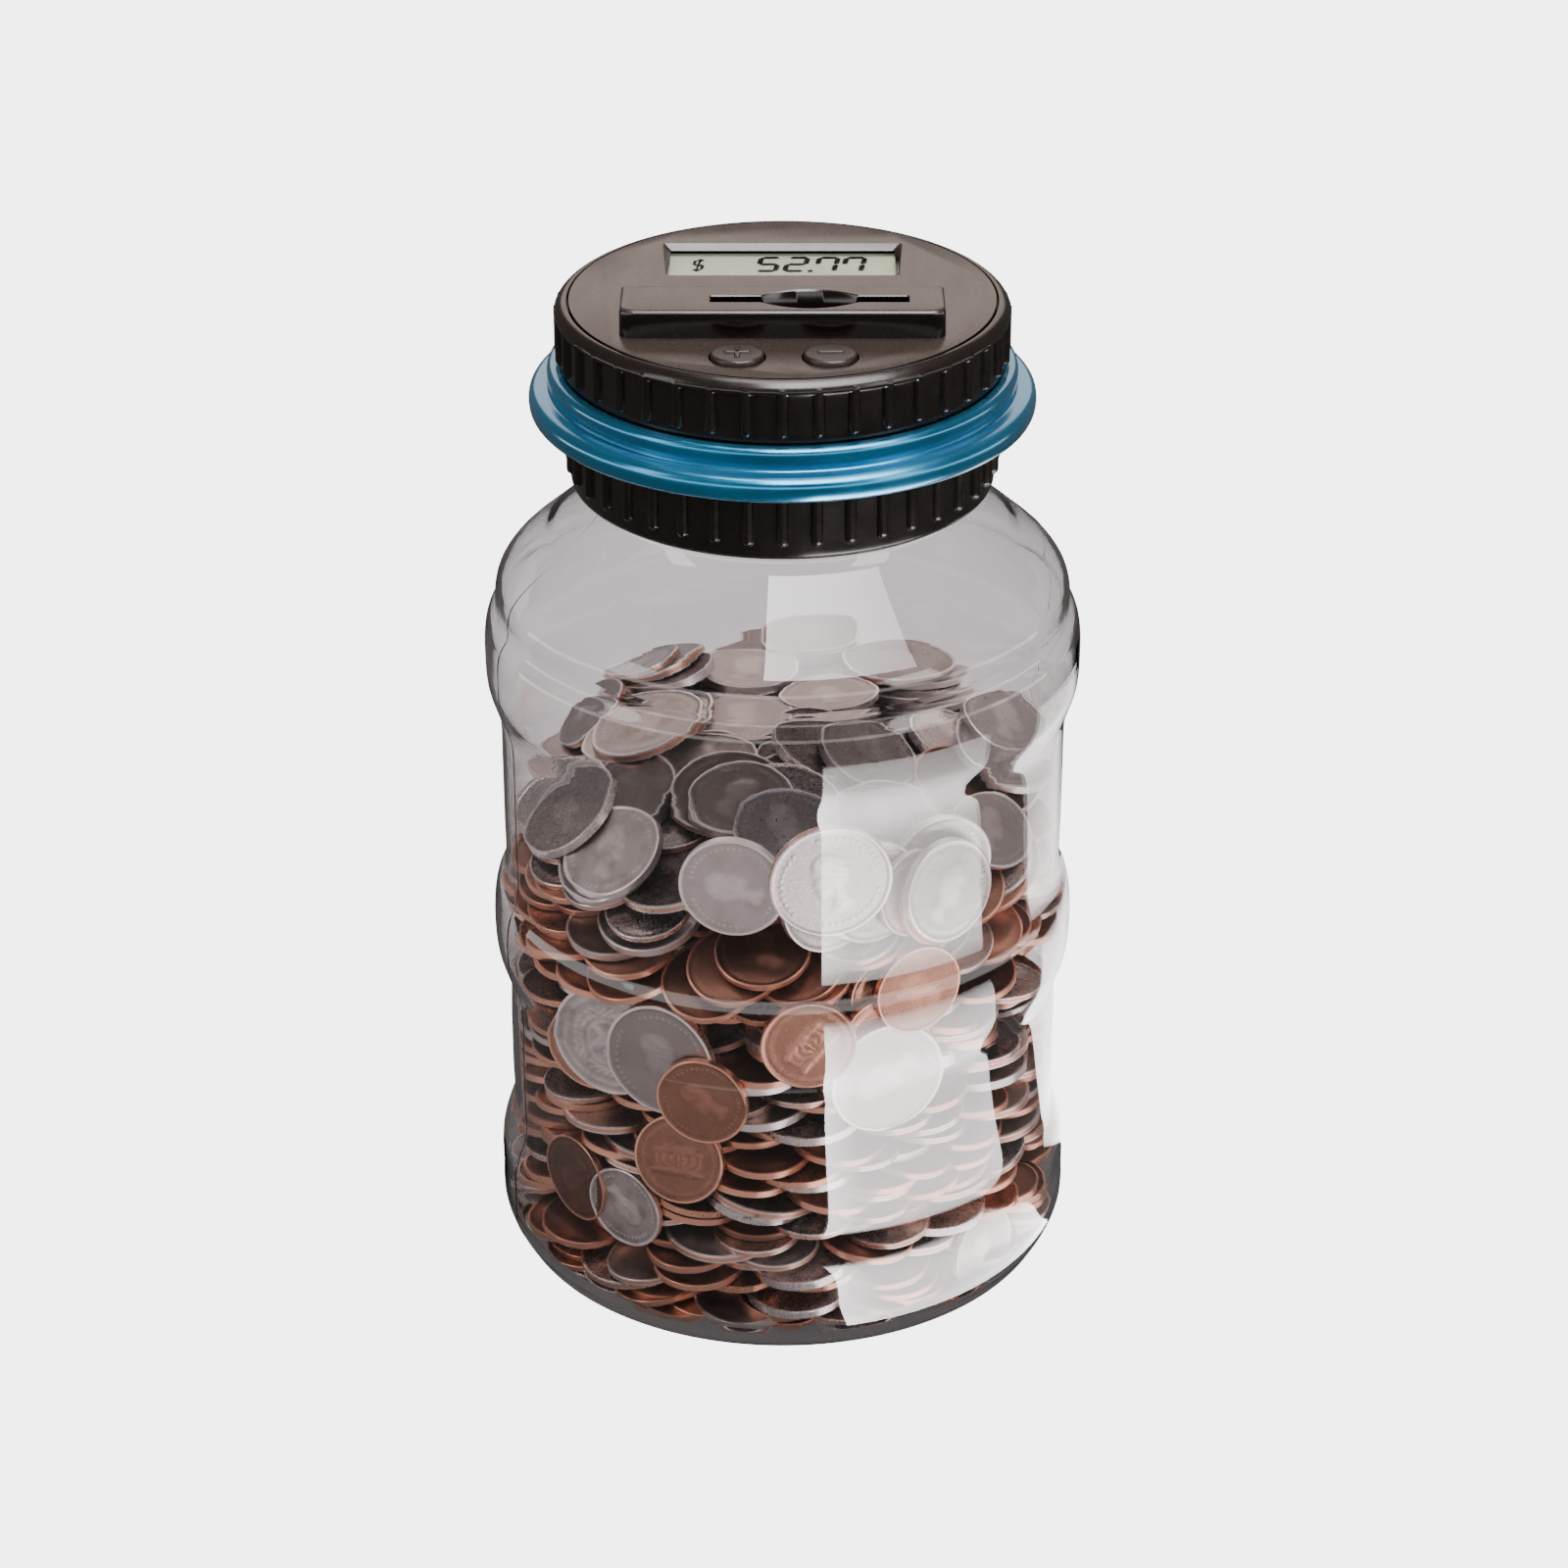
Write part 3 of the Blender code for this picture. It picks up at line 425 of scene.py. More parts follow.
def sweep(name, rows, angles, mat, sharp=32.0, closed=True):
    """Turned solid.  Each row is (r, z); r and z are numbers or arrays over `angles`."""
    n = len(angles)
    rr = np.array([np.broadcast_to(np.asarray(r, float), n) for r, _ in rows])
    zz = np.array([np.broadcast_to(np.asarray(z, float), n) for _, z in rows])
    verts = np.stack([rr * np.cos(angles), rr * np.sin(angles), zz], axis=-1).reshape(-1, 3)
    last = len(rows) if closed else len(rows) - 1
    i = np.arange(last)[:, None]
    j = np.arange(n)[None, :]
    i2, j2 = (i + 1) % len(rows), (j + 1) % n
    quads = np.stack([i * n + j, i * n + j2, i2 * n + j2, i2 * n + j], axis=-1).reshape(-1, 4)
    return clean(to_object(name, verts, quads, mat, None), sharp)


def spline(points, parts=4):
    """Centripetal Catmull-Rom curve through (r, z) points."""
    p = [np.array(q, float) for q in points]
    p = [2 * p[0] - p[1]] + p + [2 * p[-1] - p[-2]]
    out = []
    for a, b, c, d in zip(p, p[1:], p[2:], p[3:]):
        t0 = 0.0
        t1 = t0 + math.sqrt(max(np.linalg.norm(b - a), 1e-6))
        t2 = t1 + math.sqrt(max(np.linalg.norm(c - b), 1e-6))
        t3 = t2 + math.sqrt(max(np.linalg.norm(d - c), 1e-6))
        for k in range(parts):
            t = t1 + (t2 - t1) * k / parts
            a1 = (t1 - t) / (t1 - t0) * a + (t - t0) / (t1 - t0) * b
            a2 = (t2 - t) / (t2 - t1) * b + (t - t1) / (t2 - t1) * c
            a3 = (t3 - t) / (t3 - t2) * c + (t - t2) / (t3 - t2) * d
            b1 = (t2 - t) / (t2 - t0) * a1 + (t - t0) / (t2 - t0) * a2
            b2 = (t3 - t) / (t3 - t1) * a2 + (t - t1) / (t3 - t1) * a3
            out.append((t2 - t) / (t2 - t1) * b1 + (t - t1) / (t2 - t1) * b2)
    out.append(p[-2])
    return [(max(0.0, float(q[0])), float(q[1])) for q in out]


def loft(name, rings, mat=None, sharp=30.0):
    """Closed solid between outlines that all have the same number of points."""
    n = len(rings[0])
    verts = [v for ring in rings for v in ring]
    faces = [tuple(range(n))[::-1], tuple(range((len(rings) - 1) * n, len(rings) * n))]
    for i in range(len(rings) - 1):
        for k in range(n):
            faces.append((i * n + k, i * n + (k + 1) % n, (i + 1) * n + (k + 1) % n,
                          (i + 1) * n + k))
    ob = to_object(name, verts, faces, mat, None) if mat else to_object(name, verts, faces, [], None)
    return clean(ob, sharp)


def rounded(x0, x1, y0, y1, z, r, n=5, taper=0.0):
    """Rounded rectangle outline, counter-clockwise; `taper` narrows its front edge."""
    pts = []
    for cx, cy, a0 in ((x1 - r, y1 - r, 0), (x0 + r, y1 - r, 90), (x0 + r, y0 + r, 180),
                       (x1 - r, y0 + r, 270)):
        for i in range(n + 1):
            a = rad(a0 + 90 * i / n)
            pts.append((cx + r * math.cos(a), cy + r * math.sin(a), z))
    if taper:
        mid, out = (x0 + x1) / 2, []
        for x, y, zz in pts:
            f = (y1 - y) / (y1 - y0)
            out.append((mid + (x - mid) * (1 - taper * f), y, zz))
        pts = out
    return pts


def disc(x, y, r, z, n=64):
    return [(x + r * math.cos(TAU * k / n), y + r * math.sin(TAU * k / n), z) for k in range(n)]


def apply_booleans(ob, steps):
    """steps: (operation, other); the others are used up."""
    for op, other in steps:
        m = ob.modifiers.new(op.lower(), "BOOLEAN")
        m.operation, m.solver, m.object = op, "EXACT", other
    bpy.context.view_layer.update()
    dg = bpy.context.evaluated_depsgraph_get()
    me = bpy.data.meshes.new_from_object(ob.evaluated_get(dg))
    ob.modifiers.clear()
    ob.data = me
    for _, other in steps:
        bpy.data.objects.remove(other, do_unlink=True)
    return ob


def joined(name, obs):
    """One object out of several, keeping their material slots."""
    for o in bpy.context.view_layer.objects:
        o.select_set(False)
    for o in obs:
        o.select_set(True)
    bpy.context.view_layer.objects.active = obs[0]
    bpy.ops.object.join()
    obs[0].name = name
    obs[0].data.name = name
    return obs[0]


def smoothstep(x, a, b):
    t = np.clip((x - a) / (b - a), 0.0, 1.0)
    return t * t * (3 - 2 * t)


# ------------------------------------------------------------------ screw thread
PITCH = 5.0


def thread(angles, z, base_r, crest_r, z0, turns, phase):
    """Radius over `angles` at height z, with a trapezoid ridge on a right-hand helix."""
    out = np.full(len(angles), float(base_r))
    for k in range(2):
        a = angles - phase + TAU * k
        zc = z0 + PITCH * a / TAU
        on = (a >= 0) & (a <= turns * TAU)
        fade = np.clip(0.15 + np.minimum(a, turns * TAU - a) / rad(27.0), 0.0, 1.0)
        h = 1.0 - smoothstep(np.abs(z - zc), 0.5, 1.15)
        ridge = base_r + (crest_r - base_r) * h * fade
        out = np.where(on & (h > 0), ridge, out)
    return out


# ------------------------------------------------------------------ jar
SEAM = rad(20.0)
fine = [SEAM + s + rad(d) for s in (0.0, math.pi)
        for d in (-0.75, -0.45, -0.25, -0.1, 0.0, 0.1, 0.25, 0.45, 0.75)]
around = np.array(sorted(set([round(TAU * k / 264, 9) for k in range(264)
                              if min(abs(((TAU * k / 264 - s) + math.pi) % TAU - math.pi)
                                     for s in (SEAM, SEAM + math.pi)) > rad(0.9)]
                             + [round(f % TAU, 9) for f in fine])))
seam_off = np.minimum(np.abs((around - SEAM + math.pi) % TAU - math.pi),
                      np.abs((around - SEAM + TAU) % TAU - math.pi))
seam_ridge = np.exp(-(seam_off / rad(0.16)) ** 2)

OUTER = [
    (38.2, 171.0), (38.5, 169.3), (39.6, 167.3), (41.8, 165.0), (45.2, 162.0), (48.6, 159.0),
    (52.1, 156.0), (55.4, 153.0), (57.4, 150.2), (58.1, 147.4), (58.2, 144.2), (59.8, 141.4),
    (60.4, 138.4), (60.5, 134.0), (60.2, 128.4), (59.0, 124.5), (58.1, 121.6), (57.7, 118.0),
    (57.65, 110.0), (57.6, 96.0), (57.6, 86.5), (58.3, 83.2), (59.5, 80.6), (60.1, 77.0),
    (60.1, 70.0), (59.6, 66.8), (58.5, 63.4), (57.4, 59.8), (57.4, 50.0), (57.4, 38.0),
    (57.4, 28.4), (58.9, 24.0), (60.0, 20.0), (60.0, 14.0), (60.0, 8.0), (59.0, 5.0),
    (57.6, 2.4), (56.5, 0.7), (55.5, 0.0),
]
BASE = [(55.5, 0.0), (51.0, 0.0), (46.0, 0.0), (44.6, 0.9), (38.0, 3.8), (29.0, 4.9), (20.0, 5.6),
        (10.0, 5.6), (0.0, 5.6)]


def make_jar():
    body = spline(OUTER, 3)
    base = spline(BASE, 2)
    wall = 1.2

    def shifted(line, by):
        out = []
        for i, (r, z) in enumerate(line):
            a = np.array(line[max(i - 1, 0)])
            b = np.array(line[min(i + 1, len(line) - 1)])
            d = (b - a) / max(np.linalg.norm(b - a), 1e-9)
            out.append((max(r + d[1] * by, 0.0), z - d[0] * by))
        return out

    under = body[:-1] + base
    inner = shifted(under, wall)
    inner[-1] = (0.0, inner[-1][1])
    inner = [p for p in inner if p[1] < 168.6]
    rows = []
    wav = lambda z, s: (0.05 * np.sin(2 * around + 0.8 + z * 0.031 + s) +
                        0.035 * np.sin(3 * around - 1.1 + z * 0.05 + 2 * s))
    for i, (r, z) in enumerate(reversed(inner)):
        amount = min(1.0, r / 30.0) * (1.0 if 6.0 < z < 160.0 else 0.0)
        rows.append((np.maximum(r - amount * (0.09 + wav(z, 2.1)), 0.0) if r else 0.0, z))
    rows += [(36.8, 170.6), (36.8, 176.0), (36.8, 183.0), (36.8, 189.4), (36.9, 189.8), (37.1, 190.0),
             (37.8, 190.0), (38.05, 189.85), (38.2, 189.5)]
    for z in np.arange(188.6, 171.2, -0.3):
        rows.append((thread(around, z, 38.2, 39.6, 179.0, 1.2, rad(4.5)), z))
    for r, z in under:
        if z > 1.0 and r > 50:
            amount = smoothstep(np.array(z), 1.0, 12.0) * (1 - smoothstep(np.array(z), 150.0, 168.0))
            rr = r - float(amount) * (0.09 + wav(z, 0.0)) + 0.085 * seam_ridge
            rr = np.minimum(rr, 60.48)
        elif r > 44 or z > 150:
            rr = r + (0.05 * seam_ridge if z > 1 else 0.0)
        else:
            rr = r + 0.0 * around
        rows.append((rr if r else 0.0, max(z, 0.0)))
    ob = sweep("jar_shell", rows, around, M_JAR, 48.0)
    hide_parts("jar_body")
    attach(ob, "jar")
    return ob


make_jar()

# ------------------------------------------------------------------ coloured ring
ring_rows = spline([
    (43.7, 195.7), (44.0, 196.02), (44.9, 196.1), (45.7, 195.95), (46.25, 195.5), (46.5, 194.7),
    (46.5, 193.6), (46.4, 192.6), (46.15, 191.95), (46.5, 191.55), (47.4, 191.4), (48.6, 191.28),
    (49.4, 190.9), (49.95, 190.2), (50.2, 189.3), (50.2, 188.2), (50.0, 187.3), (49.5, 186.65),
    (48.6, 186.4), (46.0, 186.4), (44.1, 186.4), (43.75, 186.7), (43.7, 189.5), (43.7, 193.0),
], 3)[:-1]
ring = sweep("ring_turned", ring_rows, np.linspace(0, TAU, 288, endpoint=False), M_RING, 50.0)
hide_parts("blue_ring")
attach(ring, "ring")


# ------------------------------------------------------------------ ribbed cap
def make_cap():
    ribs = 40
    step = 360.0 / ribs
    part = [-4.5, -3.6, -2.6, -1.95, -1.62, -1.5, -1.25, -0.95, -0.6, -0.2, 0.2, 0.6, 0.95, 1.25,
            1.5, 1.62, 1.95, 2.6, 3.6]
    ang = np.array([rad(k * step + d) for k in range(ribs) for d in part]) % TAU
    delta = np.array([rad(d) for _ in range(ribs) for d in part])
    order = np.argsort(ang, kind="stable")
    ang, delta = ang[order], delta[order]
    rho = 1.2

    def ribbed(core, centre, z, z_low, z_high):
        """Core radius with half-round ribs whose ends are round."""
        dz = np.maximum(0.0, np.maximum(z_low + rho - z, z - (z_high - rho)))
        inside = rho ** 2 - (centre * np.sin(delta)) ** 2 - dz ** 2
        bump = centre * np.cos(delta) + np.sqrt(np.maximum(inside, 0.0))
        return np.where(inside > 0, np.maximum(core, bump), core)

    rows = [(42.3, 206.6), (42.3, 208.55), (42.42, 208.85), (42.7, 208.97), (43.1, 208.88),
            (43.6, 208.6), (44.05, 208.25), (44.45, 207.8), (44.72, 207.35)]
    for z, r in ((207.05, 44.84), (206.75, 44.85), (206.45, 44.78), (206.2, 44.3), (206.05, 43.95),
                 (205.8, 43.9)):
        rows.append((ribbed(r, 43.8, z, 197.3, 208.2), z))
    for z in (205.0, 204.0, 202.5, 201.0, 199.8, 199.0, 198.5, 198.2, 197.95, 197.75, 197.6, 197.48,
              197.38, 197.31):
        rows.append((ribbed(43.9, 43.8, z, 197.3, 208.2), z))
    rows += [(43.9, 197.0), (43.85, 196.5), (43.7, 196.4), (42.5, 196.4), (42.2, 196.2)]
    for z in (195.7, 195.0, 193.0, 190.0, 187.0, 184.0, 181.0, 178.5, 176.5, 175.6, 175.2, 174.9,
              174.7, 174.55, 174.42, 174.32, 174.24, 174.2):
        rows.append((ribbed(42.2, 42.1, z, 174.2, 196.9), z))
    rows += [(42.2, 173.4), (42.2, 172.5), (42.12, 172.1), (41.95, 171.75), (41.7, 171.5),
             (41.4, 171.4), (40.7, 171.4), (40.4, 171.55), (40.3, 171.8)]
    for z in np.arange(172.6, 186.6, 0.3):
        rows.append((thread(ang, z, 40.3, 38.9, 177.0, 1.0, 0.0), z))
    rows += [(40.3, 189.0), (40.3, 191.9), (38.0, 191.9), (35.0, 191.9), (32.5, 191.9),
             (32.5, 193.9), (36.0, 193.9), (41.5, 193.9), (41.5, 200.0), (41.5, 206.6)]
    ob = sweep("cap_moulding", rows, ang, M_CAP, 38.0)
    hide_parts("ribbed_cap")
    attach(ob, "cap")
    return ob


make_cap()

# ------------------------------------------------------------------ top cover
SLOT_X, SLOT_Y = 5.2, -15.5
BTN = {"plus": -8.6, "minus": 9.1}
BTN_Y = -31.8


def lens_ring(z, half_len, half_w, n=40):
    pts = []
    for i in range(n + 1):
        x = -half_len + 2 * half_len * i / n
        pts.append((x, half_w * (1 - (x / half_len) ** 2)))
    line = pts + [(x, -y) for x, y in reversed(pts[1:-1])]
    return [(SLOT_X + x, SLOT_Y + y, z) for x, y in line][::-1]


def make_cover():
    disc_rows = [disc(0, 0, 42.0, 206.9, 256), disc(0, 0, 42.0, 208.85, 256),
                 disc(0, 0, 41.93, 209.03, 256), disc(0, 0, 41.75, 209.1, 256)]
    cover = loft("cover_moulding", disc_rows, M_COVER)

    # raised platform: rounded front corners, rolled top edges, sloping back
    levels = []
    for z, inset in ((207.5, 0.0), (209.05, 0.0), (211.5, 0.05), (213.7, 0.1), (214.15, 0.22),
                     (214.42, 0.45), (214.56, 0.75), (214.6, 1.05)):
        f = max(0.0, min(1.0, (z - 209.1) / 5.5))
        back_y = -1.5 + (-8.6 + 1.5) * f
        pts = []
        x0, x1, y0, y1 = -31.4 + inset, 31.4 - inset, -22.3 + inset, back_y - inset * 0.6
        for cx, cy, r, a0 in ((x1 - 0.5, y1 - 0.5, 0.5, 0), (x0 + 0.5, y1 - 0.5, 0.5, 90),
                              (x0 + 2.6, y0 + 2.6, 2.6, 180), (x1 - 2.6, y0 + 2.6, 2.6, 270)):
            for i in range(11):
                a = rad(a0 + 9.0 * i)
                pts.append((cx + r * math.cos(a), cy + r * math.sin(a), z))
        levels.append(pts)
    platform = loft("platform", levels)

    bosses = []
    for a in (90.0, 190.0, 350.0):
        x, y = 35.0 * math.cos(rad(a)), 35.0 * math.sin(rad(a))
        bosses.append(loft("boss", [disc(x, y, 2.1, 194.2, 24), disc(x, y, 2.1, 207.6, 24)]))
    for x in (-27.0, 27.0):
        bosses.append(loft("boss", [disc(x, 4.0, 2.2, 202.3, 24), disc(x, 4.0, 2.2, 207.6, 24)]))

    cuts = [
        loft("pocket", [rounded(-24.9, 24.9, 10.3, 30.5, z, 0.8) for z in (205.5, 207.8)]),
        # bevelled window: lower edge, facets, then a small rounded lip
        loft("window", [
            rounded(-22.6, 22.6, 12.0, 28.4, 207.0, 0.5, 5),
            rounded(-22.6, 22.6, 12.0, 28.4, 207.85, 0.5, 5),
            rounded(-24.0, 24.0, 11.55, 29.3, 208.95, 0.7, 5, 0.045),
            rounded(-24.25, 24.25, 11.35, 29.5, 209.12, 0.8, 5, 0.045),
            rounded(-24.9, 24.9, 10.9, 30.0, 209.4, 0.9, 5, 0.045)]),
        loft("slot", [
            rounded(SLOT_X - 19.1, SLOT_X + 19.1, SLOT_Y - 1.7, SLOT_Y + 1.7, 205.5, 0.35),
            rounded(SLOT_X - 19.1, SLOT_X + 19.1, SLOT_Y - 1.7, SLOT_Y + 1.7, 214.35, 0.35),
            rounded(SLOT_X - 19.3, SLOT_X + 19.3, SLOT_Y - 1.9, SLOT_Y + 1.9, 214.62, 0.45),
            rounded(SLOT_X - 19.6, SLOT_X + 19.6, SLOT_Y - 2.2, SLOT_Y + 2.2, 214.9, 0.55)]),
        loft("scoop", [
            lens_ring(205.5, 10.0, 3.0), lens_ring(208.0, 10.2, 3.3), lens_ring(211.5, 10.9, 4.1),
            lens_ring(214.25, 11.5, 4.8), lens_ring(214.5, 11.7, 5.0), lens_ring(214.7, 12.0, 5.3)]),
    ]
    for x in BTN.values():
        cuts.append(loft("hole", [disc(x, BTN_Y, 5.4, 205.5, 72), disc(x, BTN_Y, 5.4, 208.9, 72),
                                  disc(x, BTN_Y, 5.55, 209.12, 72), disc(x, BTN_Y, 5.9, 209.4, 72)]))
    steps = [("UNION", platform)] + [("UNION", b) for b in bosses] + \
            [("DIFFERENCE", c) for c in cuts]
    cover = apply_booleans(cover, steps)
    cover.data.materials.clear()
    cover.data.materials.append(M_COVER)
    cover.data.polygons.foreach_set("material_index", [0] * len(cover.data.polygons))
    clean(cover, 24.0)
    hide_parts("top_cover")
    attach(cover, "cap")
    return cover


make_cover()


# ------------------------------------------------------------------ buttons
def bar(x, y, length, width, z0, z1, along):
    """Raised bar with rounded ends and soft top edges."""
    hx, hy = (length / 2, width / 2) if along == "X" else (width / 2, length / 2)
    r = width / 2 - 0.01
    return loft("bar", [rounded(x - hx - e, x + hx + e, y - hy - e, y + hy + e, z, r + e, 6)
                        for z, e in ((z0, 0.12), (z0 + 0.12, 0.1), (z1 - 0.1, 0.0),
                                     (z1 - 0.02, -0.08), (z1, -0.16))], M_BUTTON, 40.0)


for label, x in BTN.items():
    rows = [(0.0, 205.9), (6.3, 205.9), (6.3, 206.6), (5.1, 206.6), (5.1, 209.55), (5.04, 209.82),
            (4.88, 210.02), (4.6, 210.13), (4.2, 210.16), (3.2, 210.1), (1.8, 210.04), (0.0, 210.02)]
    b = sweep("button_turned_" + label, rows, np.linspace(0, TAU, 96, endpoint=False), M_BUTTON,
              40.0, False)
    b.data.transform(Matrix.Translation((x * MM, BTN_Y * MM, 0)))
    marks = [bar(x, BTN_Y, 5.0, 0.95, 209.95, 210.45, "X")]
    if label == "plus":
        marks.append(bar(x, BTN_Y, 5.0, 0.95, 209.95, 210.45, "Y"))
    b = joined("button_moulding_" + label, [b] + marks)
    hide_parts("button_" + label)
    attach(b, "button_" + label)


# ------------------------------------------------------------------ display figures
LCD_Z = 206.6
SEG7 = {"0": "abcdef", "1": "bc", "2": "abged", "3": "abgcd", "4": "fgbc", "5": "afgcd",
        "6": "afgedc", "7": "fabc", "8": "abcdefg", "9": "abcdfg"}


def bar_2d(x0, y0, x1, y1, half, lean, foot, z0, z1, verts, faces):
    """Flat segment with pointed ends, leaned to the right about the line y = foot."""
    d = Vector((x1 - x0, y1 - y0)).normalized()
    n = Vector((-d.y, d.x))
    a, b = Vector((x0, y0)), Vector((x1, y1))
    line = [a, a + d * half + n * half, b - d * half + n * half, b, b - d * half - n * half,
            a + d * half - n * half]
    k = len(verts)
    for z in (z0, z1):
        for p in line:
            verts.append((p.x + lean * (p.y - foot), p.y, z))
    faces.append(tuple(k + i for i in (5, 4, 3, 2, 1, 0)))
    faces.append(tuple(k + 6 + i for i in range(6)))
    for i in range(6):
        faces.append((k + i, k + (i + 1) % 6, k + 6 + (i + 1) % 6, k + 6 + i))


def figures(name, mat, dx, dy, z0, z1):
    verts, faces = [], []
    foot, tall, wide, half, gap = 19.9, 7.4, 3.7, 0.55, 0.10
    lean = 0.14

    def digit(ch, x, y, w, h, hw):
        yt, ym, yb = y + h, y + h / 2, y
        g = gap
        spots = {"a": (x + g, yt, x + w - g, yt), "b": (x + w, yt - g, x + w, ym + g),
                 "c": (x + w, ym - g, x + w, yb + g), "d": (x + g, yb, x + w - g, yb),
                 "e": (x, ym - g, x, yb + g), "f": (x, yt - g, x, ym + g),
                 "g": (x + g, ym, x + w - g, ym)}
        for s in SEG7[ch]:
            x0, y0, x1, y1 = spots[s]
            bar_2d(x0 + dx, y0 + dy, x1 + dx, y1 + dy, hw, lean, foot, z0, z1, verts, faces)

    for ch, x in (("5", -5.2), ("2", 0.4), ("7", 6.5), ("7", 11.9)):
        digit(ch, x, foot, wide, tall, half)
    # decimal point
    k = len(verts)
    for z in (z0, z1):
        for px, py in ((5.0, 19.4), (5.95, 19.4), (6.05, 20.4), (5.1, 20.4)):
            verts.append((px + dx, py + dy, z))
    faces += [(k + 3, k + 2, k + 1, k), (k + 4, k + 5, k + 6, k + 7)] + \
             [(k + i, k + (i + 1) % 4, k + 4 + (i + 1) % 4, k + 4 + i) for i in range(4)]
    # currency sign: a narrow S of segments with a bar through it
    x, y, w, h = -18.3, 20.6, 1.9, 5.2
    digit("5", x, y, w, h, 0.30)
    bar_2d(x + w / 2 + dx, y - 0.9 + dy, x + w / 2 + dx, y + h + 0.9 + dy, 0.20, lean, foot, z0, z1,
           verts, faces)
    ob = to_object(name, np.array(verts), faces, mat, 30.0)
    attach(ob, "cap")
    return ob


figures("lcd_figures_shadow", M_INK_SHADOW, 0.35, -0.45, LCD_Z + 0.01, LCD_Z + 0.03)
figures("lcd_figures", M_INK, 0.0, 0.0, LCD_Z + 0.05, LCD_Z + 0.12)

# ------------------------------------------------------------------ CAD nodes that stay
KEEP = {
    "sealing_gasket": M_GASKET, "lcd_lens": M_LENS, "lcd_panel": M_LCD, "zebra_strip": M_ZEBRA,
    "main_pcb": M_BOARD, "chip_blob": M_EPOXY, "switch_plus": M_SWITCH, "switch_minus": M_SWITCH,
    "coin_chute": M_CHUTE, "coin_lever": M_LEVER, "lever_pin": M_STEEL, "lever_spring": M_STEEL,
    "sensor_board": M_BOARD, "inner_tray": M_TRAY, "battery_1": M_CELL, "battery_2": M_CELL,
    "contact_bridge": M_NICKEL, "contact_plus": M_NICKEL, "contact_minus": M_NICKEL,
    "battery_door": M_TRAY, "battery_door_screw": M_STEEL, "case_screw_1": M_STEEL,
    "case_screw_2": M_STEEL, "case_screw_3": M_STEEL, "pcb_screw_1": M_STEEL,
    "pcb_screw_2": M_STEEL,
}
for node, mat in KEEP.items():
    for s in NODES[node].material_slots:
        s.material = mat


# ------------------------------------------------------------------ coins
# (diameter, thickness, copper face, copper core seen at the edge)
KINDS = [(19.05, 1.52, True, True), (21.21, 1.95, False, False), (17.91, 1.35, False, True),
         (24.26, 1.75, False, True)]


def disc_grid(m):
    """Square grid mapped onto the unit disc; the last row of the result is its rim."""
    u = np.linspace(-1.0, 1.0, m + 1)
    x, y = np.meshgrid(u, u, indexing="ij")
    big = np.abs(x) > np.abs(y)
    safe_x = np.where(x == 0, 1e-9, x)
    safe_y = np.where(y == 0, 1e-9, y)
    r = np.where(big, x, y)
    phi = np.where(big, math.pi / 4 * y / safe_x, math.pi / 2 - math.pi / 4 * x / safe_y)
    i, j = np.meshgrid(np.arange(m), np.arange(m), indexing="ij")
    quads = np.stack([i * (m + 1) + j, (i + 1) * (m + 1) + j, (i + 1) * (m + 1) + j + 1,
                      i * (m + 1) + j + 1], axis=-1).reshape(-1, 4)
    k = np.arange(m)
    rim = np.concatenate([k * (m + 1), m * (m + 1) + k, (m - k) * (m + 1) + m, m - k])
    return (r * np.cos(phi)).ravel(), (r * np.sin(phi)).ravel(), quads, rim


def polygon_depth(x, y, pts):
    """Distance to the outline inside a polygon, zero outside."""
    pts = np.array(pts, float)
    inside = np.zeros(len(x), bool)
    dist = np.full(len(x), 9.0)
    for (ax, ay), (bx, by) in zip(pts, np.roll(pts, -1, axis=0)):
        hit = ((ay > y) != (by > y)) & (x < (bx - ax) * (y - ay) / ((by - ay) or 1e-9) + ax)
        inside ^= hit
        dx, dy = bx - ax, by - ay
        t = np.clip(((x - ax) * dx + (y - ay) * dy) / (dx * dx + dy * dy), 0, 1)
        dist = np.minimum(dist, np.hypot(x - ax - t * dx, y - ay - t * dy))
    return np.where(inside, dist, 0.0)


# a calm profile on plain textbook proportions, nobody's likeness
HEAD = [(-0.16, 0.56), (-0.25, 0.47), (-0.29, 0.36), (-0.30, 0.26), (-0.285, 0.19), (-0.32, 0.10),
        (-0.375, 0.00), (-0.33, -0.035), (-0.315, -0.07), (-0.34, -0.105), (-0.32, -0.135),
        (-0.335, -0.165), (-0.305, -0.20), (-0.31, -0.26), (-0.25, -0.315), (-0.12, -0.28),
        (-0.085, -0.36), (-0.11, -0.50), (-0.22, -0.62), (-0.02, -0.71), (0.26, -0.66),
        (0.33, -0.52), (0.24, -0.36), (0.25, -0.20), (0.35, -0.04), (0.41, 0.14), (0.38, 0.34),
        (0.27, 0.50), (0.10, 0.60), (-0.04, 0.61)]


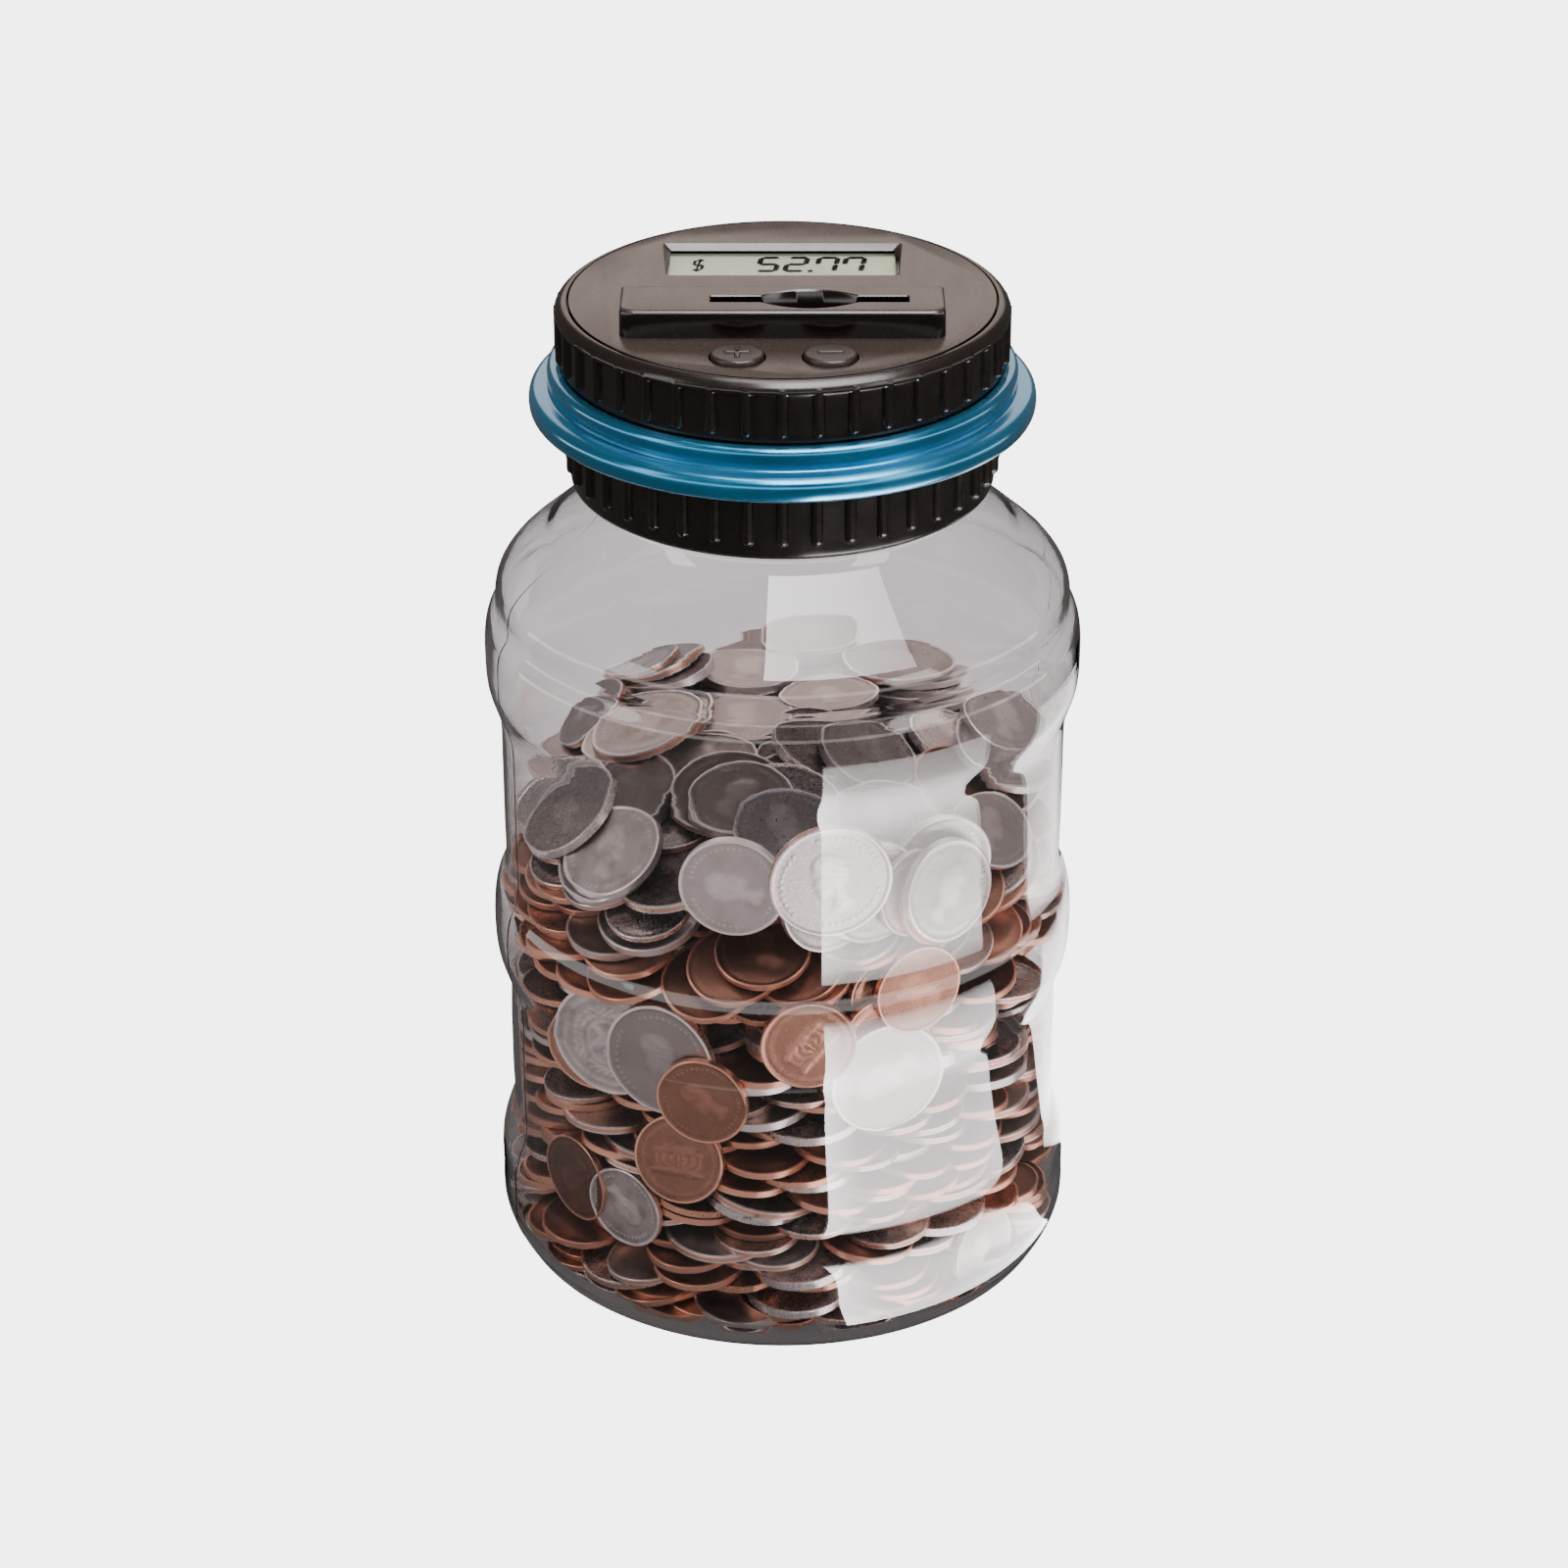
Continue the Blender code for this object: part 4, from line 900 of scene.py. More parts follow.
def relief(x, y, kind, side):
    """Height 0 to 1 over the unit disc."""
    h = np.zeros(len(x))
    rr = np.hypot(x, y)
    th = np.arctan2(y, x)

    def blob(cx, cy, sx, sy, a=0.0):
        c, s = math.cos(a), math.sin(a)
        u, v = (x - cx) * c + (y - cy) * s, -(x - cx) * s + (y - cy) * c
        return 1.0 - smoothstep((u / sx) ** 2 + (v / sy) ** 2, 0.55, 1.15)

    def block(x0, x1, y0, y1, e=0.012):
        return smoothstep(x, x0 - e, x0 + e) * (1 - smoothstep(x, x1 - e, x1 + e)) * \
            smoothstep(y, y0 - e, y0 + e) * (1 - smoothstep(y, y1 - e, y1 + e))

    if side == 0:
        s = 1.0 if kind in (0, 3) else -1.0
        px = x * s * 1.08
        d = polygon_depth(px, y * 1.05, HEAD)
        dome = np.minimum(d / 0.20, 1.0) ** 0.55
        hair = smoothstep(px * 0.8 + y, -0.02, 0.10) * (px > -0.30)
        wave = 0.5 + 0.5 * np.sin(26 * (px * 0.9 + 0.35 * np.sin(5 * y + 2 * kind)) + 9 * y)
        h = np.maximum(h, dome * (0.74 + 0.26 * np.where(hair > 0, hair * wave, 0.35)))
        px_eye = np.exp(-(((px + 0.20) / 0.05) ** 2 + ((y - 0.17) / 0.028) ** 2))
        ear = np.exp(-(((px - 0.06) / 0.045) ** 2 + ((y - 0.05) / 0.085) ** 2))
        jaw = np.exp(-(((px + 0.02) / 0.03) ** 2 + ((y + 0.20) / 0.10) ** 2))
        h = h - 0.22 * px_eye * (d > 0) + 0.16 * ear * (d > 0) - 0.14 * jaw * (d > 0)
    elif kind == 0:
        h = np.maximum(h, block(-0.62, 0.62, -0.36, -0.28) * 0.9)
        h = np.maximum(h, block(-0.55, 0.55, -0.28, -0.21) * 0.75)
        for k in range(11):
            cx = -0.50 + 0.10 * k
            h = np.maximum(h, block(cx - 0.026, cx + 0.026, -0.20, 0.14) * 0.8)
        h = np.maximum(h, block(-0.58, 0.58, 0.15, 0.27) * 0.85)
        h = np.maximum(h, block(-0.40, 0.40, 0.27, 0.37) * 0.65)
    elif kind == 1:
        h = np.maximum(h, block(-0.60, 0.60, -0.30, -0.22) * 0.8)
        h = np.maximum(h, block(-0.56, 0.56, -0.22, 0.05) * 0.45)
        for k in range(6):
            cx = -0.20 + 0.08 * k
            h = np.maximum(h, block(cx - 0.02, cx + 0.02, -0.20, 0.08) * 0.9)
        for cx in (-0.47, -0.34, 0.34, 0.47):
            h = h - 0.25 * block(cx - 0.035, cx + 0.035, -0.14, -0.02)
        tri = smoothstep(0.24 - np.abs(x) * 0.55 - y, -0.012, 0.012) * smoothstep(y, 0.08, 0.10)
        h = np.maximum(h, tri * (np.abs(x) < 0.30) * 0.8)
        h = np.maximum(h, (1 - smoothstep(np.hypot(x, (y - 0.20) * 1.1), 0.17, 0.20)) *
                       (y > 0.20) * 0.95)
    elif kind == 2:
        h = np.maximum(h, block(-0.045, 0.045, -0.55, 0.20) * 0.9)
        h = np.maximum(h, blob(0.0, 0.32, 0.10, 0.17))
        for s in (-1, 1):
            for k in range(7):
                yy = -0.42 + 0.13 * k
                h = np.maximum(h, 0.8 * blob(s * (0.24 + 0.05 * math.sin(k)), yy, 0.11, 0.042,
                                             s * rad(48)))
                h = np.maximum(h, 0.7 * blob(s * 0.42, yy + 0.03, 0.09, 0.036, -s * rad(35)))
    else:
        for k in range(26):
            a = rad(-66 + 312 * k / 25) + math.pi / 2 + rad(24)
            for off, lean in ((0.05, 0.7), (-0.05, -0.7)):
                q = 0.58 + off
                h = np.maximum(h, 0.8 * blob(q * math.cos(a), q * math.sin(a), 0.085, 0.032,
                                             a + math.pi / 2 + lean * 0.8))
        star = 0.20 + 0.10 * np.cos(5 * (th - math.pi / 2))
        h = np.maximum(h, 0.9 * (1 - smoothstep(rr / (star + 0.06), 0.9, 1.06)))
        h = np.maximum(h, 0.6 * (1 - smoothstep(np.abs(rr - 0.40), 0.010, 0.026)))
    # ring of small dots inside the rim, in place of a legend
    n_dots = 44 if side == 0 else 60
    dots = (1 - smoothstep(np.hypot((rr - 0.855) / 0.030, np.sin(th * n_dots / 2) * 0.86 * 2 /
                                    (n_dots * 0.030)), 0.75, 1.15))
    gate = 1.0 if side else (np.abs(np.sin(th * 1.5 + 0.4)) > 0.35)
    return np.clip(np.maximum(h, 0.62 * dots * gate), 0.0, 1.0)


def coin_template(kind, m, raised=True):
    """verts, quads, face material (0 face metal, 1 core metal), height tag."""
    d, t, copper, core = KINDS[kind]
    big, half = d / 2, t / 2
    gx, gy, gq, rim = disc_grid(m)
    n_rim = len(rim)
    face_r = 0.925
    low = 0.13
    parts_v, parts_h = [], []
    for side in (0, 1):
        h = relief(gx * 0.97, gy, kind, side) if raised else np.zeros(len(gx))
        edge = smoothstep(np.hypot(gx, gy), 0.985, 1.0)
        h = h * (1 - edge)
        z = half - low + 0.19 * h
        s = 1.0 if side == 0 else -1.0
        parts_v.append(np.stack([gx * big * face_r, gy * big * face_r * s, s * z], axis=-1))
        parts_h.append(0.10 + 0.72 * h if raised else np.full(len(gx), 0.40))
    base = len(gx)
    quads = [gq, gq + base]
    mats = [np.zeros(len(gq), int), np.zeros(len(gq), int)]
    ang = np.arctan2(gy[rim], gx[rim])
    ridged = kind in (2, 3)
    reed = 0.05 * ((np.arange(n_rim) % 2) * 2 - 1) if (ridged and m >= 24) else 0.0
    prof = [(0.940, half - 0.05, 0), (0.955, half, 0), (0.985, half, 0), (1.0, half - 0.10, 0),
            (1.0, 0.24 * t, 0), (1.0, -0.24 * t, 1), (1.0, -half + 0.10, 0), (0.985, -half, 0),
            (0.955, -half, 0), (0.940, -half + 0.05, 0)]
    start = 2 * base
    rings = [rim]
    for i, (r, z, _) in enumerate(prof):
        rr = big * r + (reed if r == 1.0 else 0.0)
        parts_v.append(np.stack([rr * np.cos(ang), rr * np.sin(ang), np.full(n_rim, z)], axis=-1))
        parts_h.append(np.full(n_rim, 1.0 if r >= 0.955 else 0.6))
        rings.append(start + i * n_rim + np.arange(n_rim))
    # the lower face is mirrored in y, so its rim is matched by angle
    ang2 = np.arctan2(-gy[rim], gx[rim])
    match = np.array([int(np.argmin(np.abs(np.angle(np.exp(1j * (ang2 - a)))))) for a in ang])
    rings.append(base + rim[match])
    marks = [0, 0, 0, 0, 0, 1, 0, 0, 0, 0, 0]
    for i, (a, b) in enumerate(zip(rings, rings[1:])):
        k = np.arange(n_rim)
        k2 = (k + 1) % n_rim
        quads.append(np.stack([a[k], b[k], b[k2], a[k2]], axis=-1))
        mats.append(np.full(n_rim, marks[i] if core else 0))
    return (np.concatenate(parts_v), np.concatenate(quads), np.concatenate(mats),
            np.concatenate(parts_h), copper)


# Where each coin came to rest, settled as rigid bodies in this jar: kind (plus 4 for the
# ones lying flat against the wall), centre x y z in mm, then its turn as a quaternion w x y z.
PILE = """
    7 9.3 -53.1 108.0 0.69 0.71 -0.04 0.17; 7 20.6 -49.6 61.3 0.26 0.49 -0.51 0.66; 4 -15.9 -52.0 57.0 0.66 0.56 -0.43 0.24;
    7 -24.2 -46.0 63.1 0.71 0.62 -0.33 0.01; 6 41.2 -34.9 10.9 0.61 0.67 0.23 0.36; 4 -42.0 -34.6 28.0 0.49 -0.08 -0.70 0.51;
    5 -9.7 -51.3 105.7 0.58 0.50 -0.50 0.40; 4 26.7 -47.6 80.4 0.54 0.69 -0.14 0.46; 6 -31.9 -44.2 26.9 0.08 0.48 0.52 -0.70;
    2 -4.6 -33.1 6.3 1.00 0.05 -0.00 -0.00; 0 -34.4 -29.6 4.1 0.98 0.05 -0.10 0.17; 0 31.1 -21.4 6.1 0.99 0.08 0.11 0.01;
    0 -37.4 21.4 4.4 0.98 -0.06 -0.12 -0.13; 2 14.4 43.7 4.1 0.99 -0.11 0.02 -0.08; 3 38.7 4.0 5.9 0.98 -0.00 0.11 0.15;
    2 12.0 -47.4 5.6 1.00 -0.04 0.02 -0.05; 0 -44.6 -6.0 4.6 0.99 -0.03 -0.13 0.03; 0 -46.0 4.2 5.1 0.99 -0.02 -0.13 -0.10;
    0 9.4 -31.6 7.1 0.99 0.03 0.04 0.10; 1 20.7 23.8 7.7 0.99 -0.08 0.07 0.13; 3 44.6 2.4 6.2 0.99 -0.02 0.11 0.05;
    0 -20.4 -42.6 5.0 0.97 0.05 -0.00 -0.25; 0 42.0 -19.1 5.5 0.99 0.08 0.11 0.03; 3 -35.0 -26.7 5.9 0.98 0.04 -0.09 0.20;
    0 -1.8 35.0 6.4 1.00 -0.07 0.00 0.00; 0 -39.8 23.8 5.1 0.99 -0.06 -0.10 -0.07; 0 25.7 39.5 5.6 0.99 -0.10 0.05 -0.12;
    0 31.3 -30.6 7.8 1.00 0.06 0.02 0.06; 0 -39.9 -26.5 6.9 0.94 0.02 -0.09 0.34; 3 4.6 44.6 6.3 0.99 -0.07 -0.01 -0.15;
    0 -48.1 6.8 7.9 0.98 -0.14 -0.05 0.11; 3 40.5 20.3 7.3 0.97 -0.06 0.09 0.20; 3 44.3 -12.6 8.7 0.97 0.01 0.07 -0.22;
    0 12.4 -33.1 8.2 0.99 0.03 0.03 0.13; 1 -7.6 -46.4 6.7 0.99 0.05 0.00 -0.11; 2 48.8 8.9 9.4 0.99 -0.07 0.08 0.10;
    0 -21.6 -22.1 10.1 1.00 0.05 -0.08 0.03; 0 24.5 -21.3 10.5 0.99 0.04 0.02 0.10; 0 -47.3 -8.8 7.1 0.98 0.02 -0.09 0.19;
    0 19.8 -44.4 8.4 0.97 0.07 0.02 0.23; 2 42.0 25.5 7.8 1.00 -0.08 0.05 -0.03; 0 28.6 38.5 7.0 0.96 -0.10 0.04 -0.27;
    2 -7.5 -37.7 9.2 1.00 0.05 -0.00 -0.02; 0 -25.7 -40.8 7.7 0.99 0.03 -0.08 0.08; 1 -28.1 -30.5 10.0 1.00 0.04 -0.07 0.04;
    0 30.9 4.2 11.1 1.00 0.03 0.02 -0.06; 2 -29.3 11.5 9.0 0.99 0.12 -0.04 0.07; 3 33.6 31.8 9.3 0.99 -0.07 0.06 0.13;
    1 3.0 -47.9 10.3 0.99 0.03 -0.02 0.11; 0 24.2 -42.7 9.8 0.99 0.07 0.02 0.15; 2 17.9 45.9 8.2 1.00 -0.08 -0.03 0.04;
    0 -22.7 37.8 4.4 0.99 -0.11 -0.06 0.08; 0 -45.5 -17.4 8.4 0.95 0.00 -0.08 0.31; 2 47.5 -14.4 9.9 0.98 0.01 0.07 -0.19;
    0 -3.7 -33.5 13.1 0.99 0.04 -0.01 0.15; 1 -31.6 -4.5 10.6 0.99 -0.06 0.01 0.11; 2 34.6 -2.2 12.6 0.99 0.03 0.09 -0.11;
    0 -20.1 42.4 5.4 0.96 -0.11 -0.04 0.24; 0 22.7 -43.5 11.6 0.97 0.07 -0.01 0.22; 3 -29.6 -35.9 11.0 1.00 0.04 -0.08 0.04;
    0 32.1 37.1 10.5 1.00 -0.05 0.05 -0.07; 2 -45.0 -20.3 9.7 0.99 0.03 -0.08 -0.06; 2 -43.7 21.8 7.0 0.99 -0.07 -0.05 -0.09;
    0 46.8 14.6 10.4 0.98 -0.09 0.05 -0.18; 2 13.0 42.3 10.0 1.00 -0.07 -0.05 0.02; 1 12.0 -38.5 14.3 0.99 0.08 -0.00 0.15;
    2 -27.2 -41.5 12.7 0.97 0.00 -0.07 0.23; 0 44.7 20.4 11.5 0.96 -0.08 0.04 -0.26; 0 -25.7 30.7 8.3 0.99 -0.08 -0.07 0.10;
    2 -45.8 18.6 8.8 0.99 -0.07 -0.05 -0.06; 2 35.0 -27.1 11.2 1.00 0.02 0.07 0.02; 0 -8.9 -44.5 13.6 0.99 0.04 -0.01 0.14;
    0 48.9 4.4 13.0 0.98 0.09 0.04 0.14; 0 -43.6 -22.4 11.3 1.00 0.02 -0.06 -0.07; 0 25.8 18.0 13.4 0.99 -0.02 0.02 -0.10;
    1 44.0 -0.8 14.4 0.99 0.09 0.05 -0.01; 0 20.6 -44.6 15.0 0.89 0.07 -0.03 0.45; 0 -6.4 -30.2 15.7 0.99 -0.02 -0.00 -0.12;
    1 -37.2 30.1 9.5 1.00 -0.06 -0.01 0.06; 3 15.1 44.0 11.5 0.99 -0.06 -0.06 -0.12; 2 -39.4 -9.6 13.6 0.99 -0.06 -0.11 -0.06;
    0 -40.3 -28.1 13.6 1.00 0.04 0.00 -0.02; 1 37.2 -22.0 12.8 0.99 0.03 0.07 0.10; 0 34.7 34.8 13.0 0.97 0.00 0.02 0.24;
    3 -19.4 38.4 10.4 1.00 -0.06 0.00 -0.05; 0 9.5 46.4 12.1 0.99 -0.06 -0.06 -0.10; 3 39.8 24.0 14.5 1.00 -0.01 0.01 0.04;
    0 6.7 -47.5 15.9 1.00 0.04 -0.05 0.05; 0 45.8 -17.6 14.5 0.93 0.00 0.01 -0.36; 0 -17.0 -46.0 15.0 1.00 0.04 -0.01 -0.06;
    0 -47.4 12.8 11.1 0.98 -0.06 -0.03 0.17; 0 -30.2 -27.1 15.1 1.00 0.02 0.01 0.02; 2 32.3 -30.2 15.0 1.00 0.03 0.05 -0.05;
    2 -32.2 20.4 12.4 0.99 -0.07 -0.01 0.10; 0 28.7 12.2 15.8 1.00 0.01 0.00 0.04; 0 26.5 34.6 15.4 1.00 -0.05 -0.03 0.05;
    0 45.8 -17.6 16.1 0.89 -0.00 0.01 -0.45; 1 4.0 -47.8 17.4 1.00 0.04 -0.06 0.01; 0 -7.3 47.8 7.6 1.00 -0.07 -0.02 -0.06;
    3 24.4 -36.0 17.8 1.00 -0.01 0.04 -0.06; 2 42.7 25.2 16.3 0.93 -0.01 -0.01 -0.38; 2 -30.9 31.4 12.9 1.00 -0.04 -0.03 -0.02;
    0 39.3 29.4 18.4 1.00 -0.05 -0.04 -0.06; 0 44.0 -20.0 17.8 1.00 -0.01 0.01 0.01; 3 -3.8 -41.3 18.7 0.99 0.04 -0.06 -0.13;
    0 49.0 1.2 16.0 0.98 0.10 0.04 0.14; 0 -22.6 -30.6 17.6 1.00 0.02 -0.06 -0.02; 1 -31.6 0.1 15.6 0.99 -0.07 -0.10 0.05;
    1 10.5 46.8 13.9 1.00 -0.06 -0.05 -0.02; 2 -5.1 35.0 12.6 0.98 -0.08 -0.04 -0.17; 1 36.4 -8.6 19.3 0.98 -0.02 0.01 0.19;
    2 -6.7 -31.3 20.8 0.99 0.02 -0.05 -0.09; 1 -10.7 46.8 12.1 0.99 -0.08 -0.04 -0.09; 0 -24.8 -27.4 18.9 1.00 -0.02 -0.08 0.01;
    0 -32.6 28.0 14.3 1.00 -0.04 -0.03 0.03; 0 -18.5 -45.4 18.8 0.98 0.04 -0.02 -0.18; 2 -48.7 -9.3 13.0 0.96 -0.09 -0.10 0.26;
    0 17.3 -45.7 20.3 1.00 -0.01 0.05 0.05; 0 32.4 11.2 18.4 1.00 -0.01 0.00 0.05; 3 2.0 37.3 16.3 0.99 -0.06 -0.05 -0.11;
    2 -36.7 33.4 15.1 0.99 -0.01 -0.03 -0.14; 2 -1.5 -48.5 20.8 0.98 0.04 -0.01 -0.18; 0 48.9 -1.1 20.7 0.98 0.02 0.04 0.20;
    0 -20.2 -40.1 21.1 0.98 0.04 -0.01 -0.21; 0 -37.6 0.3 16.1 0.98 -0.04 -0.13 -0.14; 0 39.3 -28.8 19.8 1.00 -0.02 -0.02 -0.06;
    2 47.9 13.0 19.3 0.98 0.00 0.04 0.18; 0 -35.8 -25.8 18.9 0.99 -0.03 -0.09 -0.07; 1 -19.9 43.7 13.9 0.99 -0.07 -0.03 -0.10;
    0 28.9 39.6 17.7 1.00 -0.07 -0.06 0.02; 3 -11.9 -44.3 22.5 1.00 0.04 -0.01 -0.09; 2 37.8 -14.8 21.8 1.00 0.04 -0.00 0.02;
    2 13.9 46.3 17.4 0.99 -0.06 -0.03 -0.10; 3 31.6 12.1 21.2 1.00 -0.01 -0.01 0.05; 1 31.1 -35.6 21.6 0.99 -0.00 -0.01 0.12;
    0 -28.6 24.9 17.0 1.00 0.03 -0.01 -0.03; 1 -48.1 -1.1 15.5 0.98 -0.05 -0.12 -0.13; 2 30.3 39.3 19.3 1.00 -0.06 -0.05 -0.02;
    3 -7.1 45.9 16.2 0.99 -0.06 -0.04 -0.12; 2 49.0 2.4 22.3 1.00 0.02 0.05 0.07; 0 31.1 7.3 23.2 1.00 -0.02 0.00 -0.09;
    2 -5.1 -48.3 23.9 1.00 0.03 -0.02 -0.04; 0 -1.8 40.4 18.8 0.99 -0.06 -0.03 -0.11; 3 35.7 28.4 22.5 1.00 -0.02 -0.01 0.04;
    0 18.9 45.2 19.3 1.00 -0.06 -0.03 -0.04; 1 -35.0 -25.1 20.6 1.00 -0.05 -0.08 0.02; 0 37.0 -16.3 23.1 1.00 0.04 -0.00 0.08;
    2 -26.1 20.0 18.2 1.00 0.03 -0.01 0.05; 0 -21.6 44.0 16.9 0.99 -0.03 -0.09 -0.08; 3 31.7 -21.3 24.4 1.00 0.04 0.00 0.06;
    3 5.4 43.5 20.4 0.99 -0.06 -0.03 -0.11; 2 28.1 35.1 23.7 0.99 -0.04 -0.03 0.09; 1 46.8 1.3 24.1 1.00 0.02 0.05 0.02;
    2 21.1 -43.9 23.0 1.00 0.03 -0.03 0.00; 2 -22.3 -39.3 24.6 1.00 -0.05 -0.08 0.00; 0 42.4 21.0 24.4 1.00 -0.01 -0.00 0.03;
    0 -20.2 41.9 18.6 1.00 -0.04 -0.09 0.01; 0 38.9 -26.8 25.5 1.00 0.03 0.00 0.02; 0 8.0 48.1 21.5 0.98 -0.05 -0.04 -0.19;
    0 35.1 7.0 26.8 1.00 -0.04 -0.01 0.09; 3 27.5 35.4 25.1 0.99 -0.05 -0.02 0.16; 0 -4.5 -44.1 25.6 1.00 0.03 -0.02 0.08;
    0 -29.1 -33.6 24.9 0.99 -0.08 -0.07 -0.00; 0 -46.0 12.0 15.7 0.97 -0.12 -0.11 -0.20; 2 47.2 -7.0 26.0 1.00 0.06 -0.00 0.06;
    0 -46.0 -17.2 19.8 0.99 -0.05 -0.08 0.06; 1 7.4 46.0 23.4 0.94 -0.03 -0.04 -0.33; 3 37.2 13.4 27.9 1.00 -0.06 -0.02 0.05;
    0 -25.9 -21.9 24.5 0.99 -0.12 -0.07 -0.08; 1 -18.0 28.4 21.9 0.99 -0.05 -0.09 0.12; 0 21.4 -35.9 25.0 0.99 0.04 -0.04 0.10;
    0 -44.2 0.4 20.3 1.00 -0.03 -0.08 -0.03; 0 28.5 37.3 26.6 0.97 -0.04 -0.02 0.22; 0 -17.2 -42.5 28.0 1.00 0.00 0.05 -0.06;
    0 45.8 -8.8 27.3 0.99 0.06 0.00 -0.10; 3 -34.4 23.0 19.9 0.99 -0.01 -0.16 -0.02; 0 -44.5 -18.6 21.8 0.99 -0.04 -0.07 -0.08;
    0 -17.4 -42.5 29.8 1.00 -0.01 0.07 -0.04; 0 -11.0 47.3 22.1 0.99 -0.05 -0.13 0.08; 0 40.7 -11.3 28.4 1.00 0.06 0.00 -0.06;
    2 21.9 -36.9 26.4 1.00 0.04 -0.03 0.07; 0 40.7 22.5 28.8 0.97 -0.06 -0.01 0.23; 2 7.6 47.6 24.9 0.99 -0.04 -0.04 -0.14;
    2 13.8 -41.7 26.8 0.99 0.08 -0.07 -0.01; 0 -18.8 37.7 22.9 0.99 -0.07 -0.10 0.06; 1 -0.5 29.9 26.2 1.00 -0.04 -0.03 0.00;
    0 39.7 24.1 30.4 1.00 -0.04 -0.04 0.05; 3 -32.3 -4.6 23.9 0.99 -0.03 -0.06 -0.08; 0 -45.3 19.4 18.1 0.99 -0.01 -0.15 -0.02;
    3 37.9 -22.0 28.5 0.99 0.07 -0.01 -0.10; 2 -32.0 -31.4 27.7 0.99 -0.11 -0.06 0.03; 0 25.5 38.9 27.8 0.97 -0.04 -0.02 0.22;
    3 31.5 -30.5 29.2 0.99 0.06 0.00 -0.14; 0 1.4 41.4 26.8 0.99 -0.05 -0.02 -0.11; 3 31.4 25.4 31.3 1.00 -0.01 -0.07 -0.03;
    0 -9.5 -34.5 29.9 1.00 -0.01 0.08 0.03; 0 -48.1 9.7 20.5 0.99 -0.05 -0.08 0.07; 2 -44.8 -15.3 24.8 1.00 -0.04 -0.04 -0.03;
    2 19.7 42.7 28.9 1.00 -0.05 -0.02 0.04; 2 6.3 -46.9 27.4 0.98 0.04 -0.01 -0.20; 0 1.2 41.6 28.2 0.99 -0.05 -0.02 -0.12;
    1 -5.6 -45.0 31.1 1.00 0.02 0.09 -0.03; 0 32.5 -33.2 31.6 0.95 0.10 -0.02 -0.30; 0 -21.3 43.5 23.1 0.99 -0.05 -0.11 -0.10;
    0 32.5 33.3 32.9 0.99 -0.01 -0.07 -0.09; 2 46.6 6.2 31.6 0.98 0.08 -0.02 0.17; 1 -34.4 -18.3 27.5 1.00 -0.05 -0.05 -0.04;
    2 -43.3 3.6 23.5 1.00 -0.05 -0.08 -0.02; 0 -40.7 27.3 21.1 0.99 -0.04 -0.09 -0.09; 0 -34.3 -7.8 28.0 0.99 -0.06 -0.07 -0.13;
    3 -3.9 -43.7 32.6 1.00 0.02 0.09 0.02; 2 -17.0 45.1 25.2 0.99 -0.04 -0.10 -0.10; 0 43.9 13.4 34.2 0.97 0.03 -0.03 0.24;
    0 -36.4 31.6 22.9 0.97 -0.07 -0.07 0.23; 2 28.2 30.0 33.8 1.00 -0.02 -0.07 0.04; 2 -35.9 -26.7 30.2 0.94 0.01 -0.02 -0.35;
    2 17.4 -43.7 29.4 1.00 0.04 -0.00 0.00; 1 -46.2 9.4 24.0 0.99 -0.06 -0.08 -0.01; 2 17.4 43.7 30.1 0.97 -0.04 -0.04 -0.22;
    0 31.9 -1.5 32.5 0.97 0.13 0.02 0.20; 0 9.7 -45.4 32.2 0.99 -0.02 0.06 -0.15; 2 -47.7 7.3 25.7 0.99 -0.05 -0.08 -0.11;
    0 -24.8 40.7 25.6 0.99 -0.04 -0.10 -0.03; 2 -27.5 -38.1 34.2 0.99 -0.13 0.10 0.03; 0 -29.7 22.2 26.5 0.99 -0.06 -0.07 0.14;
    1 24.4 38.3 34.6 0.98 -0.06 -0.08 0.15; 0 6.2 46.0 30.7 1.00 -0.02 -0.08 -0.03; 0 27.1 -37.7 32.2 1.00 0.07 -0.04 0.03;
    0 -45.3 -10.8 28.2 0.99 -0.06 -0.07 -0.07; 3 -16.2 -22.9 33.0 0.99 -0.07 -0.03 0.06; 0 39.6 24.3 36.6 0.99 0.05 -0.01 -0.13;
    3 -34.7 0.7 29.8 0.99 -0.06 -0.06 -0.07; 0 5.1 32.5 33.1 1.00 -0.04 -0.09 0.00; 2 -15.9 38.7 28.8 1.00 -0.05 -0.06 -0.01;
    3 41.3 -14.8 32.4 0.99 0.03 0.00 -0.10; 0 -7.2 -44.7 35.8 0.98 -0.03 0.05 -0.21; 1 -35.8 29.4 26.6 0.99 -0.05 -0.07 0.11;
    2 17.8 -43.5 33.7 0.99 -0.01 -0.00 -0.13; 0 -40.6 -20.2 31.5 0.97 -0.04 -0.04 0.25; 0 4.1 -30.3 34.1 0.99 -0.08 0.11 -0.01;
    2 -46.9 3.2 29.2 1.00 -0.05 -0.07 -0.00; 3 43.5 5.7 36.2 0.99 0.07 -0.01 0.08; 0 -3.9 46.0 31.5 0.99 -0.05 -0.10 -0.11;
    0 22.5 40.6 35.9 0.99 -0.04 -0.11 -0.08; 0 30.7 -14.3 34.1 0.99 0.04 0.01 -0.16; 3 -38.2 22.3 28.8 1.00 -0.05 -0.07 0.00;
    1 -22.9 39.2 29.5 0.99 -0.03 -0.08 -0.13; 3 5.1 43.5 35.2 0.99 -0.07 -0.10 0.08; 0 35.8 26.3 38.5 0.99 0.02 -0.05 0.16;
    0 -41.3 21.3 30.1 0.99 -0.04 -0.08 -0.08; 0 -29.3 36.1 30.7 0.99 -0.03 -0.08 -0.09; 0 -40.4 -20.5 33.1 0.99 -0.04 -0.04 0.13;
